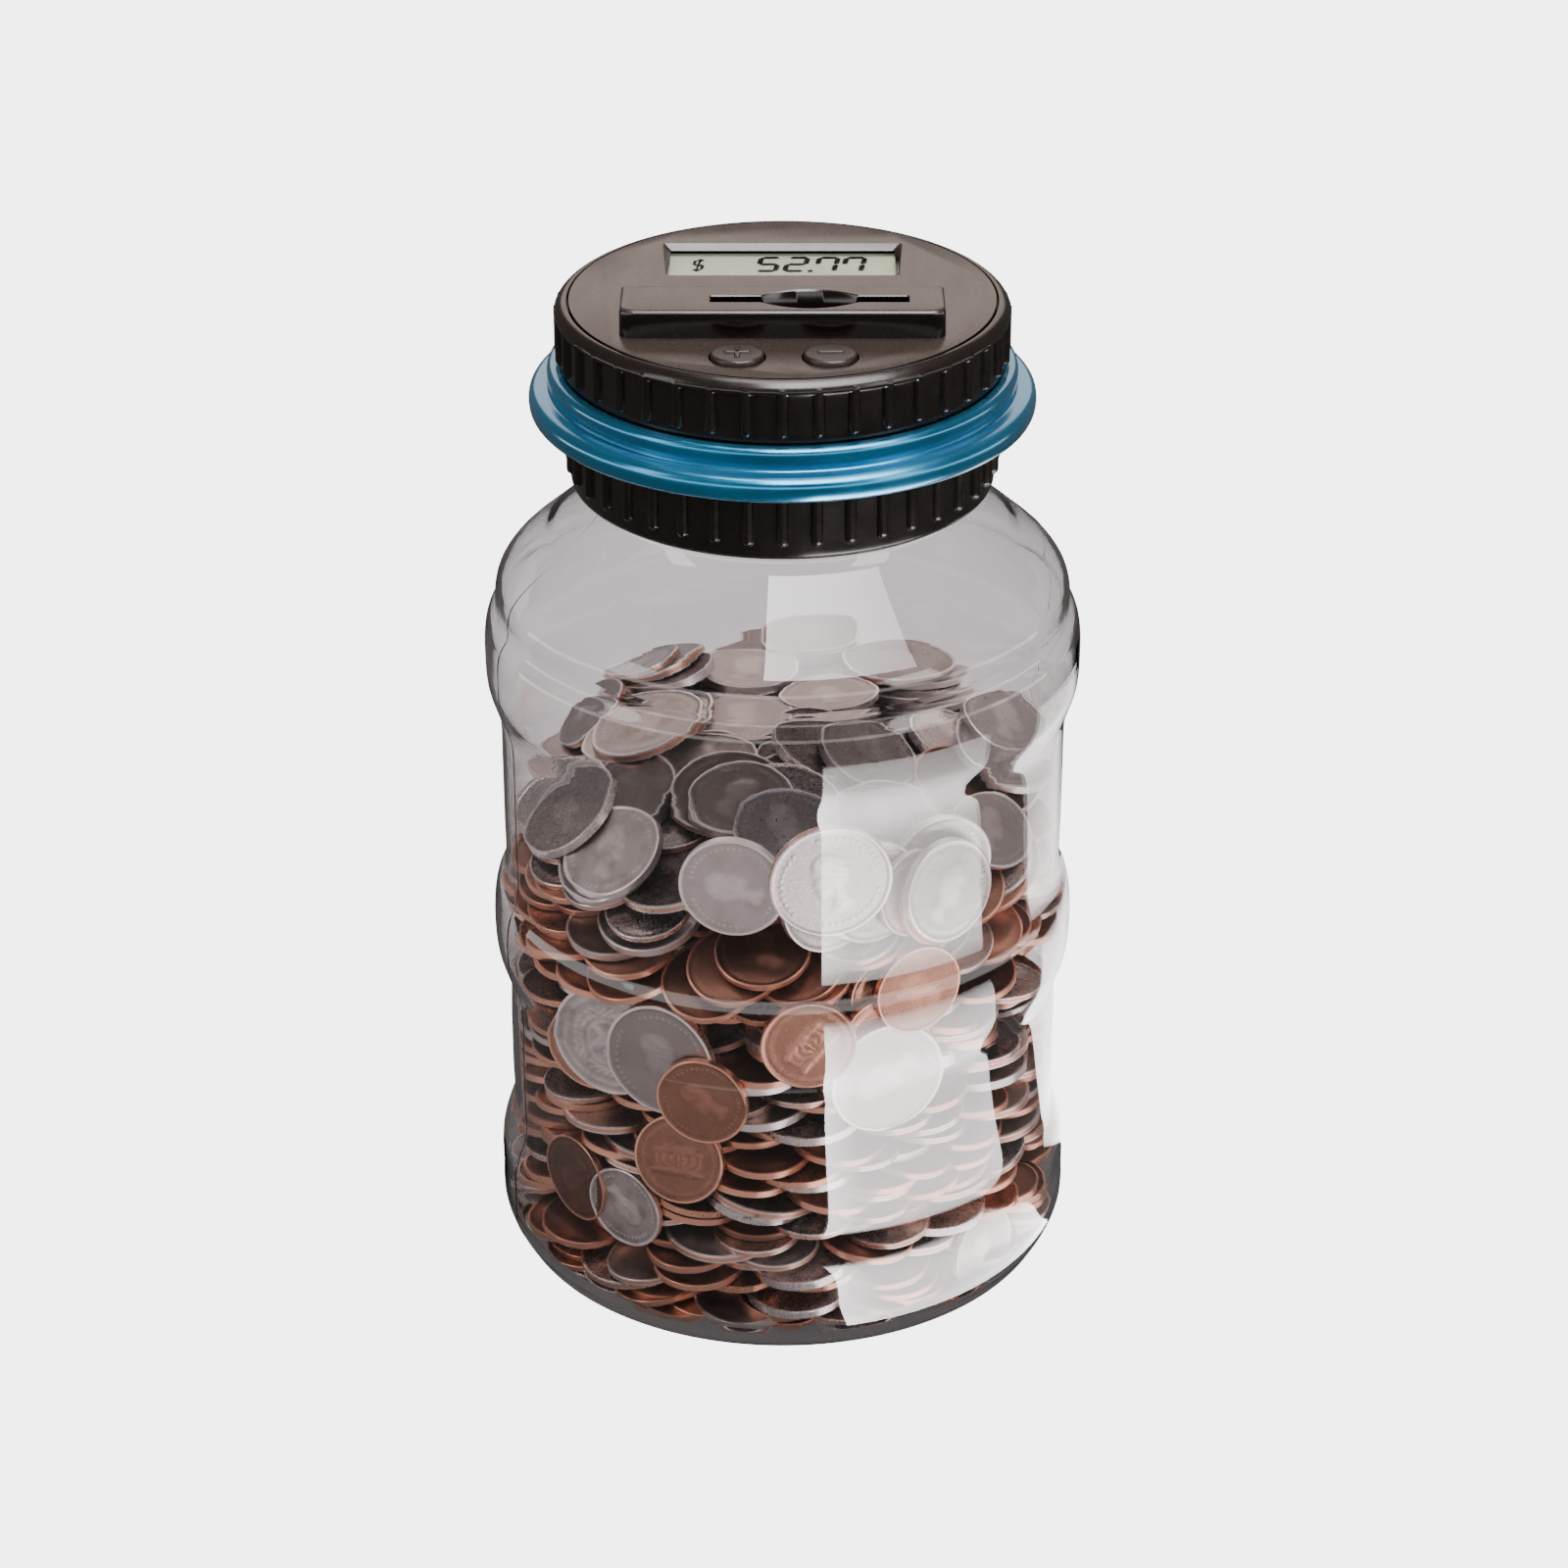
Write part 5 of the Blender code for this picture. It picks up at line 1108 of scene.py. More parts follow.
    0 44.6 -12.8 35.7 1.00 0.04 -0.00 0.07; 0 18.7 -42.5 35.1 0.98 -0.01 -0.01 -0.22; 0 26.5 -18.5 35.3 0.98 0.04 0.01 -0.21;
    0 -44.8 -2.1 31.5 1.00 -0.04 -0.07 -0.01; 0 28.1 19.9 38.8 1.00 0.03 -0.05 0.05; 0 -46.4 3.1 32.2 1.00 -0.05 -0.06 0.03;
    0 -12.5 44.8 33.0 0.99 -0.04 -0.11 0.05; 0 -20.7 -49.5 41.8 0.64 -0.75 0.13 -0.12; 0 -43.7 -15.7 34.1 0.99 -0.03 -0.04 0.14;
    0 -22.2 22.6 33.7 1.00 -0.01 -0.07 0.01; 0 18.3 39.8 36.7 0.96 -0.08 -0.08 0.25; 0 34.2 -31.4 35.4 0.99 0.07 0.02 -0.12;
    0 34.4 -12.4 37.2 0.99 0.04 0.01 -0.16; 2 47.0 1.0 38.0 0.97 0.02 -0.00 0.24; 0 10.9 -30.2 37.3 1.00 0.05 -0.00 0.04;
    0 -31.6 -33.8 36.9 0.99 -0.05 0.07 0.10; 2 44.9 -13.0 38.6 0.99 0.04 -0.01 0.14; 0 25.1 -39.1 37.5 0.99 0.02 0.08 -0.07;
    2 -23.0 41.1 32.9 0.98 -0.05 -0.08 0.20; 3 -39.8 18.4 33.4 1.00 -0.03 -0.06 -0.04; 1 -42.4 -9.7 35.5 0.99 -0.04 -0.04 0.15;
    0 -45.2 10.4 35.0 1.00 -0.03 -0.06 -0.06; 0 44.3 6.8 39.7 1.00 -0.00 -0.00 0.04; 0 35.3 -30.3 38.7 1.00 0.02 0.04 -0.07;
    0 -22.0 34.3 35.0 0.99 -0.02 -0.06 0.09; 0 -44.9 -11.8 37.2 1.00 -0.03 -0.05 0.03; 1 5.4 -43.4 38.0 0.98 0.04 -0.01 -0.18;
    3 -2.4 43.8 36.9 0.98 -0.02 -0.06 0.19; 3 -32.0 6.4 37.8 1.00 -0.04 -0.04 0.02; 0 -41.4 -21.0 40.0 0.98 -0.06 -0.03 0.18;
    3 38.8 -20.5 40.8 1.00 -0.01 0.01 0.00; 2 12.1 38.5 39.7 0.98 0.00 0.03 -0.20; 0 3.3 -46.4 39.6 1.00 0.02 -0.02 0.01;
    3 -13.8 37.2 37.5 1.00 -0.02 -0.05 0.04; 0 -14.1 -38.4 38.1 0.94 -0.03 -0.00 0.34; 1 20.8 -36.4 40.8 1.00 0.03 0.02 -0.06;
    1 -34.9 29.0 35.4 0.99 -0.03 -0.05 0.08; 2 14.8 -44.6 42.2 1.00 0.02 0.02 -0.09; 0 20.6 41.4 40.7 0.98 0.00 0.03 -0.18;
    0 -43.7 15.9 37.8 1.00 -0.04 -0.03 -0.07; 0 -44.7 -10.9 40.1 0.99 -0.11 -0.04 -0.13; 3 -26.2 35.1 37.9 0.99 -0.03 -0.05 0.10;
    0 45.2 -10.9 41.7 0.99 -0.02 0.01 0.14; 0 38.3 9.4 41.6 1.00 -0.01 0.02 0.01; 0 -7.4 45.9 39.2 0.99 -0.04 -0.04 0.11;
    0 -3.1 -30.7 41.2 1.00 -0.00 -0.03 0.05; 0 -46.4 -2.9 40.0 0.99 -0.09 -0.03 -0.09; 2 28.2 -37.6 43.4 0.97 -0.04 0.01 -0.24;
    3 -24.5 -34.5 40.5 1.00 0.03 -0.02 0.08; 0 -36.4 28.8 39.0 0.99 -0.02 -0.04 -0.15; 2 45.5 -12.3 43.2 0.99 -0.03 0.01 0.12;
    0 -3.6 -46.3 42.1 0.96 0.04 0.00 -0.27; 2 26.6 35.5 42.0 1.00 0.00 0.00 0.01; 0 -21.8 41.0 40.3 1.00 -0.02 -0.02 -0.05;
    0 -45.0 11.8 40.1 1.00 -0.03 0.00 -0.05; 0 2.1 46.4 41.8 0.98 0.01 0.01 0.19; 0 36.6 -28.5 43.8 1.00 -0.06 0.02 -0.03;
    0 41.7 -12.8 44.3 1.00 -0.02 -0.02 0.00; 0 -15.1 38.3 42.2 1.00 -0.01 0.01 -0.10; 0 -36.4 28.8 40.6 1.00 -0.02 -0.03 0.07;
    0 11.3 -45.1 43.9 0.99 0.01 0.02 -0.14; 0 -45.9 -7.1 42.7 0.98 -0.07 -0.01 -0.16; 0 41.6 19.4 42.9 1.00 -0.00 0.02 -0.01;
    0 -20.9 -38.3 42.1 1.00 0.03 -0.02 0.07; 1 -33.7 30.4 42.4 1.00 -0.02 -0.01 0.02; 3 -33.1 -28.8 43.5 1.00 0.02 -0.04 -0.02;
    0 -14.7 -40.3 43.9 1.00 0.02 -0.02 0.07; 0 -5.8 31.9 43.5 0.99 -0.00 0.02 0.11; 0 34.0 -19.0 45.6 0.99 -0.01 -0.04 -0.11;
    2 20.8 26.1 44.8 1.00 -0.07 -0.01 -0.02; 2 27.7 -38.0 46.1 0.99 -0.01 -0.05 0.09; 2 -34.4 8.3 41.5 1.00 -0.04 -0.01 0.00;
    0 46.4 -2.9 45.3 0.99 -0.10 -0.01 0.03; 0 1.1 31.6 44.7 1.00 -0.02 0.03 0.05; 2 -33.3 -6.8 44.7 0.98 -0.01 0.02 0.21;
    0 -6.4 -41.5 45.8 1.00 0.01 0.00 0.04; 0 46.4 2.2 45.9 0.99 -0.09 -0.01 0.06; 1 -25.1 37.8 44.2 1.00 -0.01 -0.01 0.05;
    2 17.9 39.4 44.0 1.00 -0.07 -0.01 0.01; 1 39.5 -22.4 47.9 0.99 -0.02 -0.04 -0.13; 0 -39.2 -24.9 44.7 1.00 0.02 -0.04 -0.03;
    2 -46.8 5.1 43.1 1.00 -0.03 -0.00 -0.08; 0 20.2 -37.7 46.8 0.99 -0.01 -0.05 0.10; 0 -0.2 -40.9 47.2 1.00 0.01 0.01 0.07;
    3 -15.5 41.0 46.2 1.00 -0.02 -0.01 -0.08; 2 -31.7 21.2 44.8 1.00 0.08 -0.03 -0.01; 0 24.4 -23.5 48.5 1.00 -0.01 -0.05 0.04;
    0 42.1 -7.9 48.9 0.99 -0.05 -0.03 -0.10; 0 -44.6 7.9 44.1 0.99 -0.05 0.01 -0.14; 2 45.4 12.2 45.6 0.98 -0.08 -0.01 0.18;
    2 4.8 46.7 44.9 0.97 -0.05 0.05 0.22; 2 21.6 -41.8 48.5 1.00 -0.01 -0.04 0.06; 0 32.6 33.1 45.8 1.00 -0.04 0.04 -0.05;
    0 -26.3 30.5 47.9 1.00 0.05 -0.04 0.06; 0 -31.6 12.2 46.1 1.00 0.01 -0.04 -0.06; 1 27.4 -13.1 50.4 1.00 -0.02 -0.03 0.01;
    0 43.3 16.9 46.2 0.99 -0.07 -0.03 -0.11; 1 11.9 35.3 47.3 1.00 -0.05 0.05 0.05; 0 28.0 -36.0 50.5 1.00 -0.00 -0.04 0.04;
    0 -5.0 46.2 47.8 1.00 -0.02 -0.01 -0.03; 0 -46.0 -6.5 46.4 0.98 0.03 -0.03 -0.18; 0 -21.4 -25.8 46.7 0.99 0.05 0.03 -0.13;
    3 43.0 8.5 48.8 0.99 -0.06 -0.03 -0.09; 3 38.2 -21.5 53.1 0.99 -0.02 -0.02 0.10; 1 21.8 30.3 48.7 0.99 -0.04 0.05 0.12;
    1 5.8 -45.0 50.0 1.00 0.03 -0.04 0.03; 0 -8.2 36.3 49.3 1.00 0.02 -0.01 0.06; 2 -26.5 26.9 49.0 1.00 0.04 -0.04 0.06;
    2 -40.0 -24.8 46.1 0.98 0.01 -0.05 0.19; 0 -19.1 -38.1 47.6 1.00 0.01 0.00 -0.06; 2 8.2 46.3 49.0 0.99 -0.01 0.06 -0.10;
    2 -28.4 25.7 50.0 1.00 0.04 -0.04 0.04; 0 38.9 23.4 49.6 1.00 -0.04 0.04 0.04; 2 -37.9 -12.0 48.2 1.00 0.02 -0.04 0.01;
    0 16.2 43.5 49.8 0.99 -0.01 0.05 0.14; 2 -7.3 -30.4 50.1 0.99 0.05 -0.03 -0.12; 0 18.0 -29.0 51.8 1.00 0.02 -0.02 -0.01;
    0 37.6 0.5 51.5 1.00 -0.07 -0.01 -0.04; 3 -7.1 36.2 51.0 1.00 0.02 -0.01 0.09; 0 -40.4 11.6 48.7 1.00 -0.00 -0.04 0.02;
    0 -25.4 -34.1 49.6 1.00 -0.03 -0.02 0.00; 1 15.9 42.4 51.5 0.99 -0.01 0.05 0.11; 1 -44.6 -5.5 49.6 1.00 0.02 -0.04 -0.04;
    0 -19.9 42.0 52.5 0.97 0.02 -0.02 0.22; 0 -3.1 -36.1 51.6 1.00 0.04 -0.05 -0.07; 0 33.4 32.3 51.4 0.99 0.00 0.04 0.16;
    3 18.6 -36.4 53.2 0.99 0.02 -0.02 -0.15; 0 -43.4 16.7 50.0 1.00 0.01 -0.04 -0.00; 0 46.4 1.9 52.9 0.97 -0.08 -0.03 -0.21;
    0 -37.3 -20.2 51.0 0.99 0.04 -0.04 0.12; 1 41.6 18.1 52.9 1.00 -0.02 0.00 0.06; 2 -23.9 21.8 52.6 1.00 -0.02 -0.04 -0.01;
    1 -39.3 0.1 52.1 1.00 -0.01 -0.03 0.05; 0 15.6 -40.4 54.5 0.99 0.02 -0.02 -0.12; 2 39.6 -25.4 54.8 0.98 -0.02 -0.02 0.21;
    1 -4.2 -43.7 52.7 1.00 0.04 -0.05 -0.04; 0 -5.1 46.1 54.0 1.00 0.02 0.04 -0.02; 2 18.5 43.2 52.7 0.99 -0.02 0.05 0.10;
    0 -45.2 10.9 53.0 0.99 -0.07 -0.07 -0.09; 1 28.8 35.1 53.4 0.94 0.00 0.05 0.35; 1 26.0 -29.0 56.6 0.99 -0.05 -0.00 0.14;
    1 43.6 12.7 54.9 1.00 -0.01 -0.00 0.03; 0 0.4 46.5 55.1 1.00 0.02 0.04 -0.01; 0 8.5 -43.4 55.6 1.00 0.02 -0.02 -0.03;
    0 -41.9 -20.1 52.3 0.96 0.04 -0.04 0.27; 0 -23.3 -30.8 53.0 1.00 0.04 -0.06 0.04; 0 -36.6 28.1 52.3 1.00 -0.04 -0.06 -0.01;
    2 -9.9 -43.6 53.7 1.00 0.04 -0.05 -0.05; 0 5.0 32.6 55.9 1.00 0.00 0.03 0.06; 3 -15.3 -35.6 55.2 1.00 0.03 -0.06 0.02;
    3 30.4 19.4 56.3 1.00 -0.01 -0.01 -0.03; 2 -40.8 23.4 53.7 1.00 -0.04 -0.06 0.02; 0 34.7 -25.4 58.2 0.99 -0.05 0.00 0.11;
    2 4.0 -44.0 56.8 1.00 0.02 -0.02 0.02; 2 36.8 -1.1 56.3 1.00 0.04 -0.01 -0.04; 0 -16.4 43.4 55.7 0.99 0.03 -0.10 0.10;
    0 23.6 40.0 56.1 0.99 -0.01 -0.01 0.10; 3 -19.8 22.0 55.9 1.00 -0.02 -0.03 0.03; 3 19.3 29.3 57.7 0.99 -0.01 -0.01 0.11;
    0 -6.1 -31.8 58.2 1.00 0.02 -0.02 -0.05; 3 -30.7 -22.9 55.7 0.99 0.01 -0.08 0.07; 0 13.8 -41.2 58.7 1.00 0.02 -0.02 -0.03;
    0 43.3 16.2 58.2 1.00 -0.01 -0.00 0.05; 1 44.8 -7.5 57.4 0.96 0.05 0.01 -0.27; 0 2.6 46.0 57.4 1.00 -0.02 0.03 -0.04;
    0 -41.5 20.9 55.2 1.00 -0.04 -0.05 0.04; 0 -46.4 2.5 55.9 0.99 -0.02 -0.04 -0.10; 2 -22.2 -45.2 64.8 0.66 -0.71 0.09 -0.24;
    2 4.3 -39.6 59.8 0.99 0.02 -0.02 -0.13; 2 -35.8 27.9 56.7 1.00 -0.05 -0.04 0.07; 1 -41.5 -17.0 56.1 0.98 0.01 -0.08 0.17;
    0 14.8 44.0 59.2 0.99 0.01 -0.01 -0.10; 0 31.6 -24.2 59.5 0.97 -0.05 0.01 0.22; 0 30.6 31.5 59.9 1.00 0.02 0.02 0.08;
    0 45.7 8.6 59.9 1.00 -0.02 -0.01 -0.00; 0 -17.3 26.3 57.7 1.00 -0.04 -0.03 -0.04; 2 43.5 -10.0 59.3 0.99 0.02 -0.02 -0.16;
    2 -35.4 -20.6 58.4 0.99 0.02 -0.07 0.13; 3 -35.0 -37.0 62.4 0.70 -0.63 0.33 0.00; 0 -26.0 38.1 57.6 1.00 -0.08 -0.02 0.05;
    1 -31.4 6.8 58.8 1.00 -0.02 -0.05 -0.03; 1 -5.2 -43.3 60.9 1.00 0.02 -0.02 -0.05; 0 20.2 -48.0 69.1 0.66 -0.71 -0.01 0.26;
    0 45.1 -10.4 60.8 0.89 0.02 -0.02 -0.46; 0 -42.6 -18.7 59.0 1.00 0.03 -0.07 -0.00; 0 1.9 40.4 60.9 0.99 -0.05 -0.07 -0.08;
    2 -26.7 38.8 59.0 0.99 -0.07 0.00 0.07; 1 14.3 -34.9 61.7 1.00 -0.03 0.05 0.01; 2 -36.7 -0.6 60.3 0.99 0.01 -0.09 0.08;
    2 24.5 26.9 61.5 0.99 0.01 0.03 0.11; 0 -3.7 -45.1 62.6 1.00 0.02 -0.02 0.09; 0 -36.9 19.1 59.1 1.00 -0.05 -0.06 0.00;
    3 42.2 13.0 61.5 1.00 -0.03 -0.02 -0.06; 0 -38.9 -33.1 58.6 0.69 -0.68 0.21 -0.13; 2 -34.5 -24.4 61.2 0.98 0.02 -0.01 0.22;
    0 8.9 46.1 62.6 0.99 -0.06 -0.06 0.13; 1 29.8 -6.3 62.5 1.00 0.01 0.01 -0.08; 2 42.8 20.8 62.4 1.00 -0.03 -0.02 0.02;
    0 11.4 -39.0 63.9 0.99 -0.02 0.05 0.09; 2 -13.5 -35.3 63.2 0.99 -0.03 -0.10 -0.04; 0 -17.2 43.2 59.8 1.00 -0.07 -0.00 -0.04;
    1 -41.4 18.5 60.3 0.99 -0.05 -0.06 -0.07; 0 27.1 30.6 62.8 1.00 -0.00 0.02 0.01; 2 -23.3 25.9 62.1 1.00 -0.03 -0.02 -0.05;
    0 32.4 25.0 64.1 1.00 -0.01 0.02 0.02; 3 32.1 -24.6 63.3 0.99 0.06 0.02 0.11; 0 -45.3 -9.3 60.7 1.00 -0.01 -0.06 0.02;
    1 37.7 -2.4 64.4 1.00 0.00 0.01 0.06; 0 -42.5 17.0 62.0 0.99 -0.05 -0.05 -0.08; 0 -27.2 -27.5 63.0 1.00 0.00 -0.02 0.03;
    0 1.5 47.1 63.2 0.96 -0.07 -0.08 0.26; 2 -17.8 43.6 61.2 0.99 -0.07 -0.00 -0.08; 2 -28.8 38.0 62.9 1.00 -0.02 -0.03 0.09;
    3 -43.8 -4.8 62.3 1.00 -0.02 -0.06 -0.07; 1 -1.3 46.3 64.5 0.99 -0.04 -0.10 -0.12; 0 26.0 38.1 64.8 1.00 -0.07 -0.04 -0.01;
    2 45.7 15.6 64.7 0.99 0.02 0.03 0.10; 0 20.8 -36.7 65.6 0.99 -0.01 0.06 0.11; 2 44.4 -21.0 66.3 0.99 -0.05 -0.02 0.11;
    2 -35.2 -24.0 64.2 1.00 -0.03 -0.05 -0.07; 2 -39.9 21.0 63.4 1.00 -0.05 -0.05 -0.05; 2 -48.0 5.0 64.1 1.00 0.02 0.00 -0.06;
    0 -23.3 -41.1 66.2 0.69 -0.67 0.23 -0.11; 0 40.5 25.8 66.8 0.99 0.02 0.04 0.14; 0 20.1 43.6 65.7 0.98 -0.04 -0.02 0.17;
    0 -9.2 46.3 64.7 0.99 -0.04 -0.10 -0.11; 2 -39.6 27.4 64.3 0.99 -0.04 -0.04 -0.11; 0 -44.0 -19.1 65.3 1.00 -0.02 -0.01 -0.02;
    0 44.5 0.3 66.2 1.00 -0.00 0.03 0.06; 0 30.2 -34.3 66.7 0.99 -0.09 0.08 0.01; 2 -26.3 39.6 64.5 1.00 -0.01 -0.03 0.01;
    3 -45.4 2.6 65.6 0.97 0.02 0.01 -0.22; 0 45.3 13.8 67.7 0.99 0.01 0.03 0.13; 3 20.6 41.1 67.6 1.00 -0.02 -0.02 0.06;
    0 -25.1 41.1 66.0 1.00 -0.01 -0.02 0.10; 0 -3.6 48.2 67.1 0.99 -0.04 -0.10 -0.04; 0 34.3 -21.2 67.3 0.99 -0.05 -0.02 0.15;
    0 -34.5 -21.8 66.9 0.90 -0.02 0.02 -0.43; 1 -39.3 25.5 66.0 1.00 -0.03 -0.03 -0.07; 0 2.2 -46.0 66.6 0.99 -0.02 0.03 0.13;
    0 5.1 -56.2 72.6 0.66 -0.62 -0.33 -0.29; 2 -23.1 -30.2 67.9 0.93 -0.01 0.02 -0.37; 0 -43.8 0.9 67.1 0.99 0.03 0.01 -0.17;
    2 -15.0 46.9 67.9 1.00 -0.00 -0.03 0.02; 2 29.0 -27.1 69.0 0.98 -0.05 -0.02 0.17; 1 16.4 44.9 69.1 1.00 -0.02 -0.02 0.01;
    0 -24.8 21.5 68.8 1.00 -0.03 -0.03 -0.06; 0 42.7 18.8 69.3 1.00 0.01 0.02 0.09; 2 12.2 -39.4 68.1 1.00 -0.00 -0.02 0.02;
    0 -44.2 20.0 67.8 0.99 -0.03 -0.03 -0.11; 0 -1.8 37.6 70.4 0.99 -0.02 -0.04 0.10; 1 44.9 -1.2 70.0 1.00 0.02 0.04 0.02;
    0 -41.4 -2.4 68.3 1.00 0.03 0.01 -0.06; 0 -31.9 21.2 69.9 1.00 -0.03 -0.03 -0.03; 0 25.4 26.9 69.7 1.00 0.00 -0.00 0.04;
    1 -35.3 -23.4 69.6 0.94 -0.04 -0.02 -0.35; 2 27.5 -34.3 71.3 1.00 0.04 -0.06 0.05; 0 -26.6 40.9 68.6 0.99 0.05 -0.05 0.08;
    2 -25.1 29.4 71.1 1.00 -0.06 -0.01 -0.06; 3 19.4 42.4 71.1 1.00 -0.01 -0.02 -0.06; 1 2.6 -44.6 69.3 1.00 -0.00 -0.02 -0.03;
    0 33.3 -17.7 70.5 0.99 -0.01 -0.02 0.17; 0 -6.3 43.4 71.3 1.00 -0.02 -0.04 0.04; 0 38.4 18.5 71.0 0.99 0.01 0.02 0.12;
    2 -40.4 -9.7 70.3 1.00 -0.03 0.01 0.01; 0 49.0 -4.4 71.7 0.99 0.02 0.02 -0.12; 1 -11.0 41.9 72.6 1.00 -0.02 -0.04 0.01;
    2 -48.9 7.0 70.1 0.99 -0.05 -0.03 -0.14; 0 41.3 -13.4 73.1 1.00 0.03 -0.02 0.05; 0 36.1 9.6 72.7 0.99 -0.01 0.04 0.12;
    1 20.9 42.2 72.9 1.00 -0.01 -0.02 -0.07; 0 -30.8 38.3 71.5 1.00 -0.05 -0.01 -0.05; 0 7.5 -41.4 71.6 1.00 -0.02 0.01 -0.01;
    0 -25.5 31.1 74.0 1.00 -0.02 -0.01 0.07; 3 11.5 45.1 74.3 1.00 -0.01 -0.03 -0.06; 2 -34.2 -5.0 73.0 0.96 0.07 -0.00 -0.26;
    1 8.2 -29.4 73.1 0.99 -0.01 0.01 0.14; 0 45.4 18.8 73.2 0.98 -0.01 0.04 0.18; 0 31.5 -15.5 74.0 1.00 0.04 -0.02 0.01;
    0 -37.9 16.6 72.7 0.99 -0.08 -0.12 0.09; 1 -12.5 46.5 74.2 1.00 -0.01 -0.04 -0.00; 2 31.5 38.5 75.1 1.00 -0.01 0.01 0.05;
    2 25.0 23.1 73.8 1.00 -0.04 -0.00 -0.05; 0 -37.2 -15.7 72.9 0.98 0.07 -0.00 -0.20; 0 30.0 -23.5 75.1 1.00 0.09 -0.01 -0.02;
    1 1.4 34.5 76.5 1.00 0.05 -0.00 0.03; 0 -43.2 23.9 72.0 0.97 -0.04 -0.13 -0.21; 1 -20.9 37.9 75.8 0.99 -0.01 -0.03 -0.15;
    0 41.1 22.7 75.0 1.00 -0.01 0.03 0.04; 0 31.4 -2.5 76.4 1.00 0.00 0.00 0.01; 0 19.6 43.2 76.5 0.98 -0.01 -0.02 -0.19;
    0 48.9 5.1 74.5 0.99 0.02 0.04 0.16; 0 19.1 24.8 75.3 1.00 -0.03 -0.02 -0.09; 2 27.9 16.3 77.2 1.00 0.01 0.02 0.03;
    0 37.6 -31.7 75.3 0.96 0.09 -0.02 0.28; 0 36.3 33.2 76.6 1.00 -0.01 0.02 0.06; 3 16.0 -33.3 75.8 0.99 0.08 0.04 -0.07;
    2 -49.1 8.0 73.1 0.99 -0.00 -0.09 0.12; 2 46.1 17.4 76.2 0.99 0.00 0.03 0.10; 2 -13.9 47.6 77.4 0.99 -0.02 -0.02 -0.13;
    2 49.8 -0.1 75.7 1.00 0.02 0.04 0.05; 0 -41.4 -20.9 73.5 0.97 0.07 -0.00 -0.24; 3 24.2 38.4 78.4 1.00 -0.01 -0.02 -0.06;
    0 36.6 18.3 78.3 0.99 0.01 0.03 0.15; 0 -45.4 0.8 75.3 1.00 0.03 -0.05 -0.02; 0 -15.8 27.6 78.2 0.98 -0.01 -0.03 -0.18;
    3 -38.9 23.3 75.8 0.97 -0.02 -0.06 -0.22; 0 41.8 -13.3 78.3 1.00 0.07 0.02 -0.05; 0 17.6 -33.0 77.5 1.00 0.09 0.04 0.03;
    0 22.1 -45.9 79.6 0.76 -0.62 -0.13 0.13; 2 -25.6 -26.4 72.4 0.97 0.09 0.15 -0.16; 0 -5.4 47.9 79.2 0.99 -0.02 -0.01 -0.10;
    0 48.6 3.2 77.4 1.00 0.01 0.03 -0.01; 3 30.4 -13.0 80.4 0.99 0.07 0.02 -0.07; 0 -4.5 -32.0 73.7 0.91 -0.00 -0.27 0.30;
    0 -33.2 18.8 78.4 0.93 -0.01 -0.06 -0.36; 0 13.6 44.0 79.6 0.98 -0.02 -0.01 0.17; 3 45.5 8.0 79.3 1.00 0.01 0.03 0.06;
    0 -17.7 33.4 79.4 1.00 -0.01 -0.03 -0.09; 0 26.9 17.1 81.0 0.99 -0.06 -0.01 0.14; 0 23.8 -33.7 78.6 0.98 0.06 0.07 -0.17;
    0 -48.3 7.0 76.9 1.00 0.02 -0.06 0.01; 0 -13.1 -34.8 73.1 0.98 0.05 -0.12 0.16; 1 45.9 8.2 81.0 1.00 0.01 0.03 0.08;
    0 28.1 -31.8 80.1 0.99 0.07 0.06 0.08; 0 1.5 46.2 80.9 0.99 -0.01 -0.01 -0.17; 0 -36.8 32.5 78.4 0.98 -0.05 -0.06 -0.20;
    0 43.0 -19.7 80.6 1.00 0.07 0.02 0.03; 1 25.4 25.5 81.6 1.00 -0.06 -0.02 0.02; 2 -13.9 35.9 80.9 0.99 -0.01 -0.03 -0.11;
    1 -14.3 -32.8 74.9 0.99 0.06 -0.12 0.04; 0 -25.3 39.7 81.3 0.97 0.01 -0.07 -0.22; 0 42.5 14.9 83.1 1.00 -0.00 0.02 0.03;
    2 47.4 -5.7 82.9 0.97 -0.02 0.03 0.23; 0 30.8 36.3 82.3 0.99 -0.06 -0.01 0.13; 0 -7.0 45.5 82.4 1.00 -0.02 -0.00 -0.09;
    0 40.8 -23.0 81.8 0.99 0.07 0.02 0.08; 1 -44.6 16.6 79.9 1.00 0.05 -0.06 -0.02; 0 -44.5 -16.6 75.5 0.97 0.07 -0.00 -0.25;
    3 -3.8 44.0 84.1 1.00 -0.02 -0.00 -0.01; 1 45.6 -4.9 84.6 0.98 -0.02 0.03 0.17; 3 -26.8 36.1 82.8 0.99 0.01 -0.07 -0.09;
    0 25.6 22.7 84.6 1.00 -0.00 -0.03 0.03; 0 16.7 43.5 83.0 0.97 -0.02 -0.02 0.22; 0 43.8 17.1 84.5 0.99 0.00 0.02 0.15;
    0 12.6 -38.3 79.6 0.96 0.15 -0.17 0.19; 0 -18.8 -27.5 76.4 0.99 0.07 -0.11 0.01; 0 -43.0 15.4 81.6 1.00 0.04 -0.06 -0.04;
    0 46.0 -8.2 86.8 1.00 -0.04 0.03 0.09; 2 -43.7 8.6 82.4 1.00 0.05 -0.06 -0.01; 0 25.2 -21.0 85.1 0.99 0.05 0.05 0.12;
    0 2.8 -45.0 75.7 0.96 0.20 -0.16 -0.08; 0 43.6 10.9 86.1 0.99 -0.00 0.02 0.13; 3 -29.7 33.3 84.1 0.99 0.01 -0.07 -0.10;
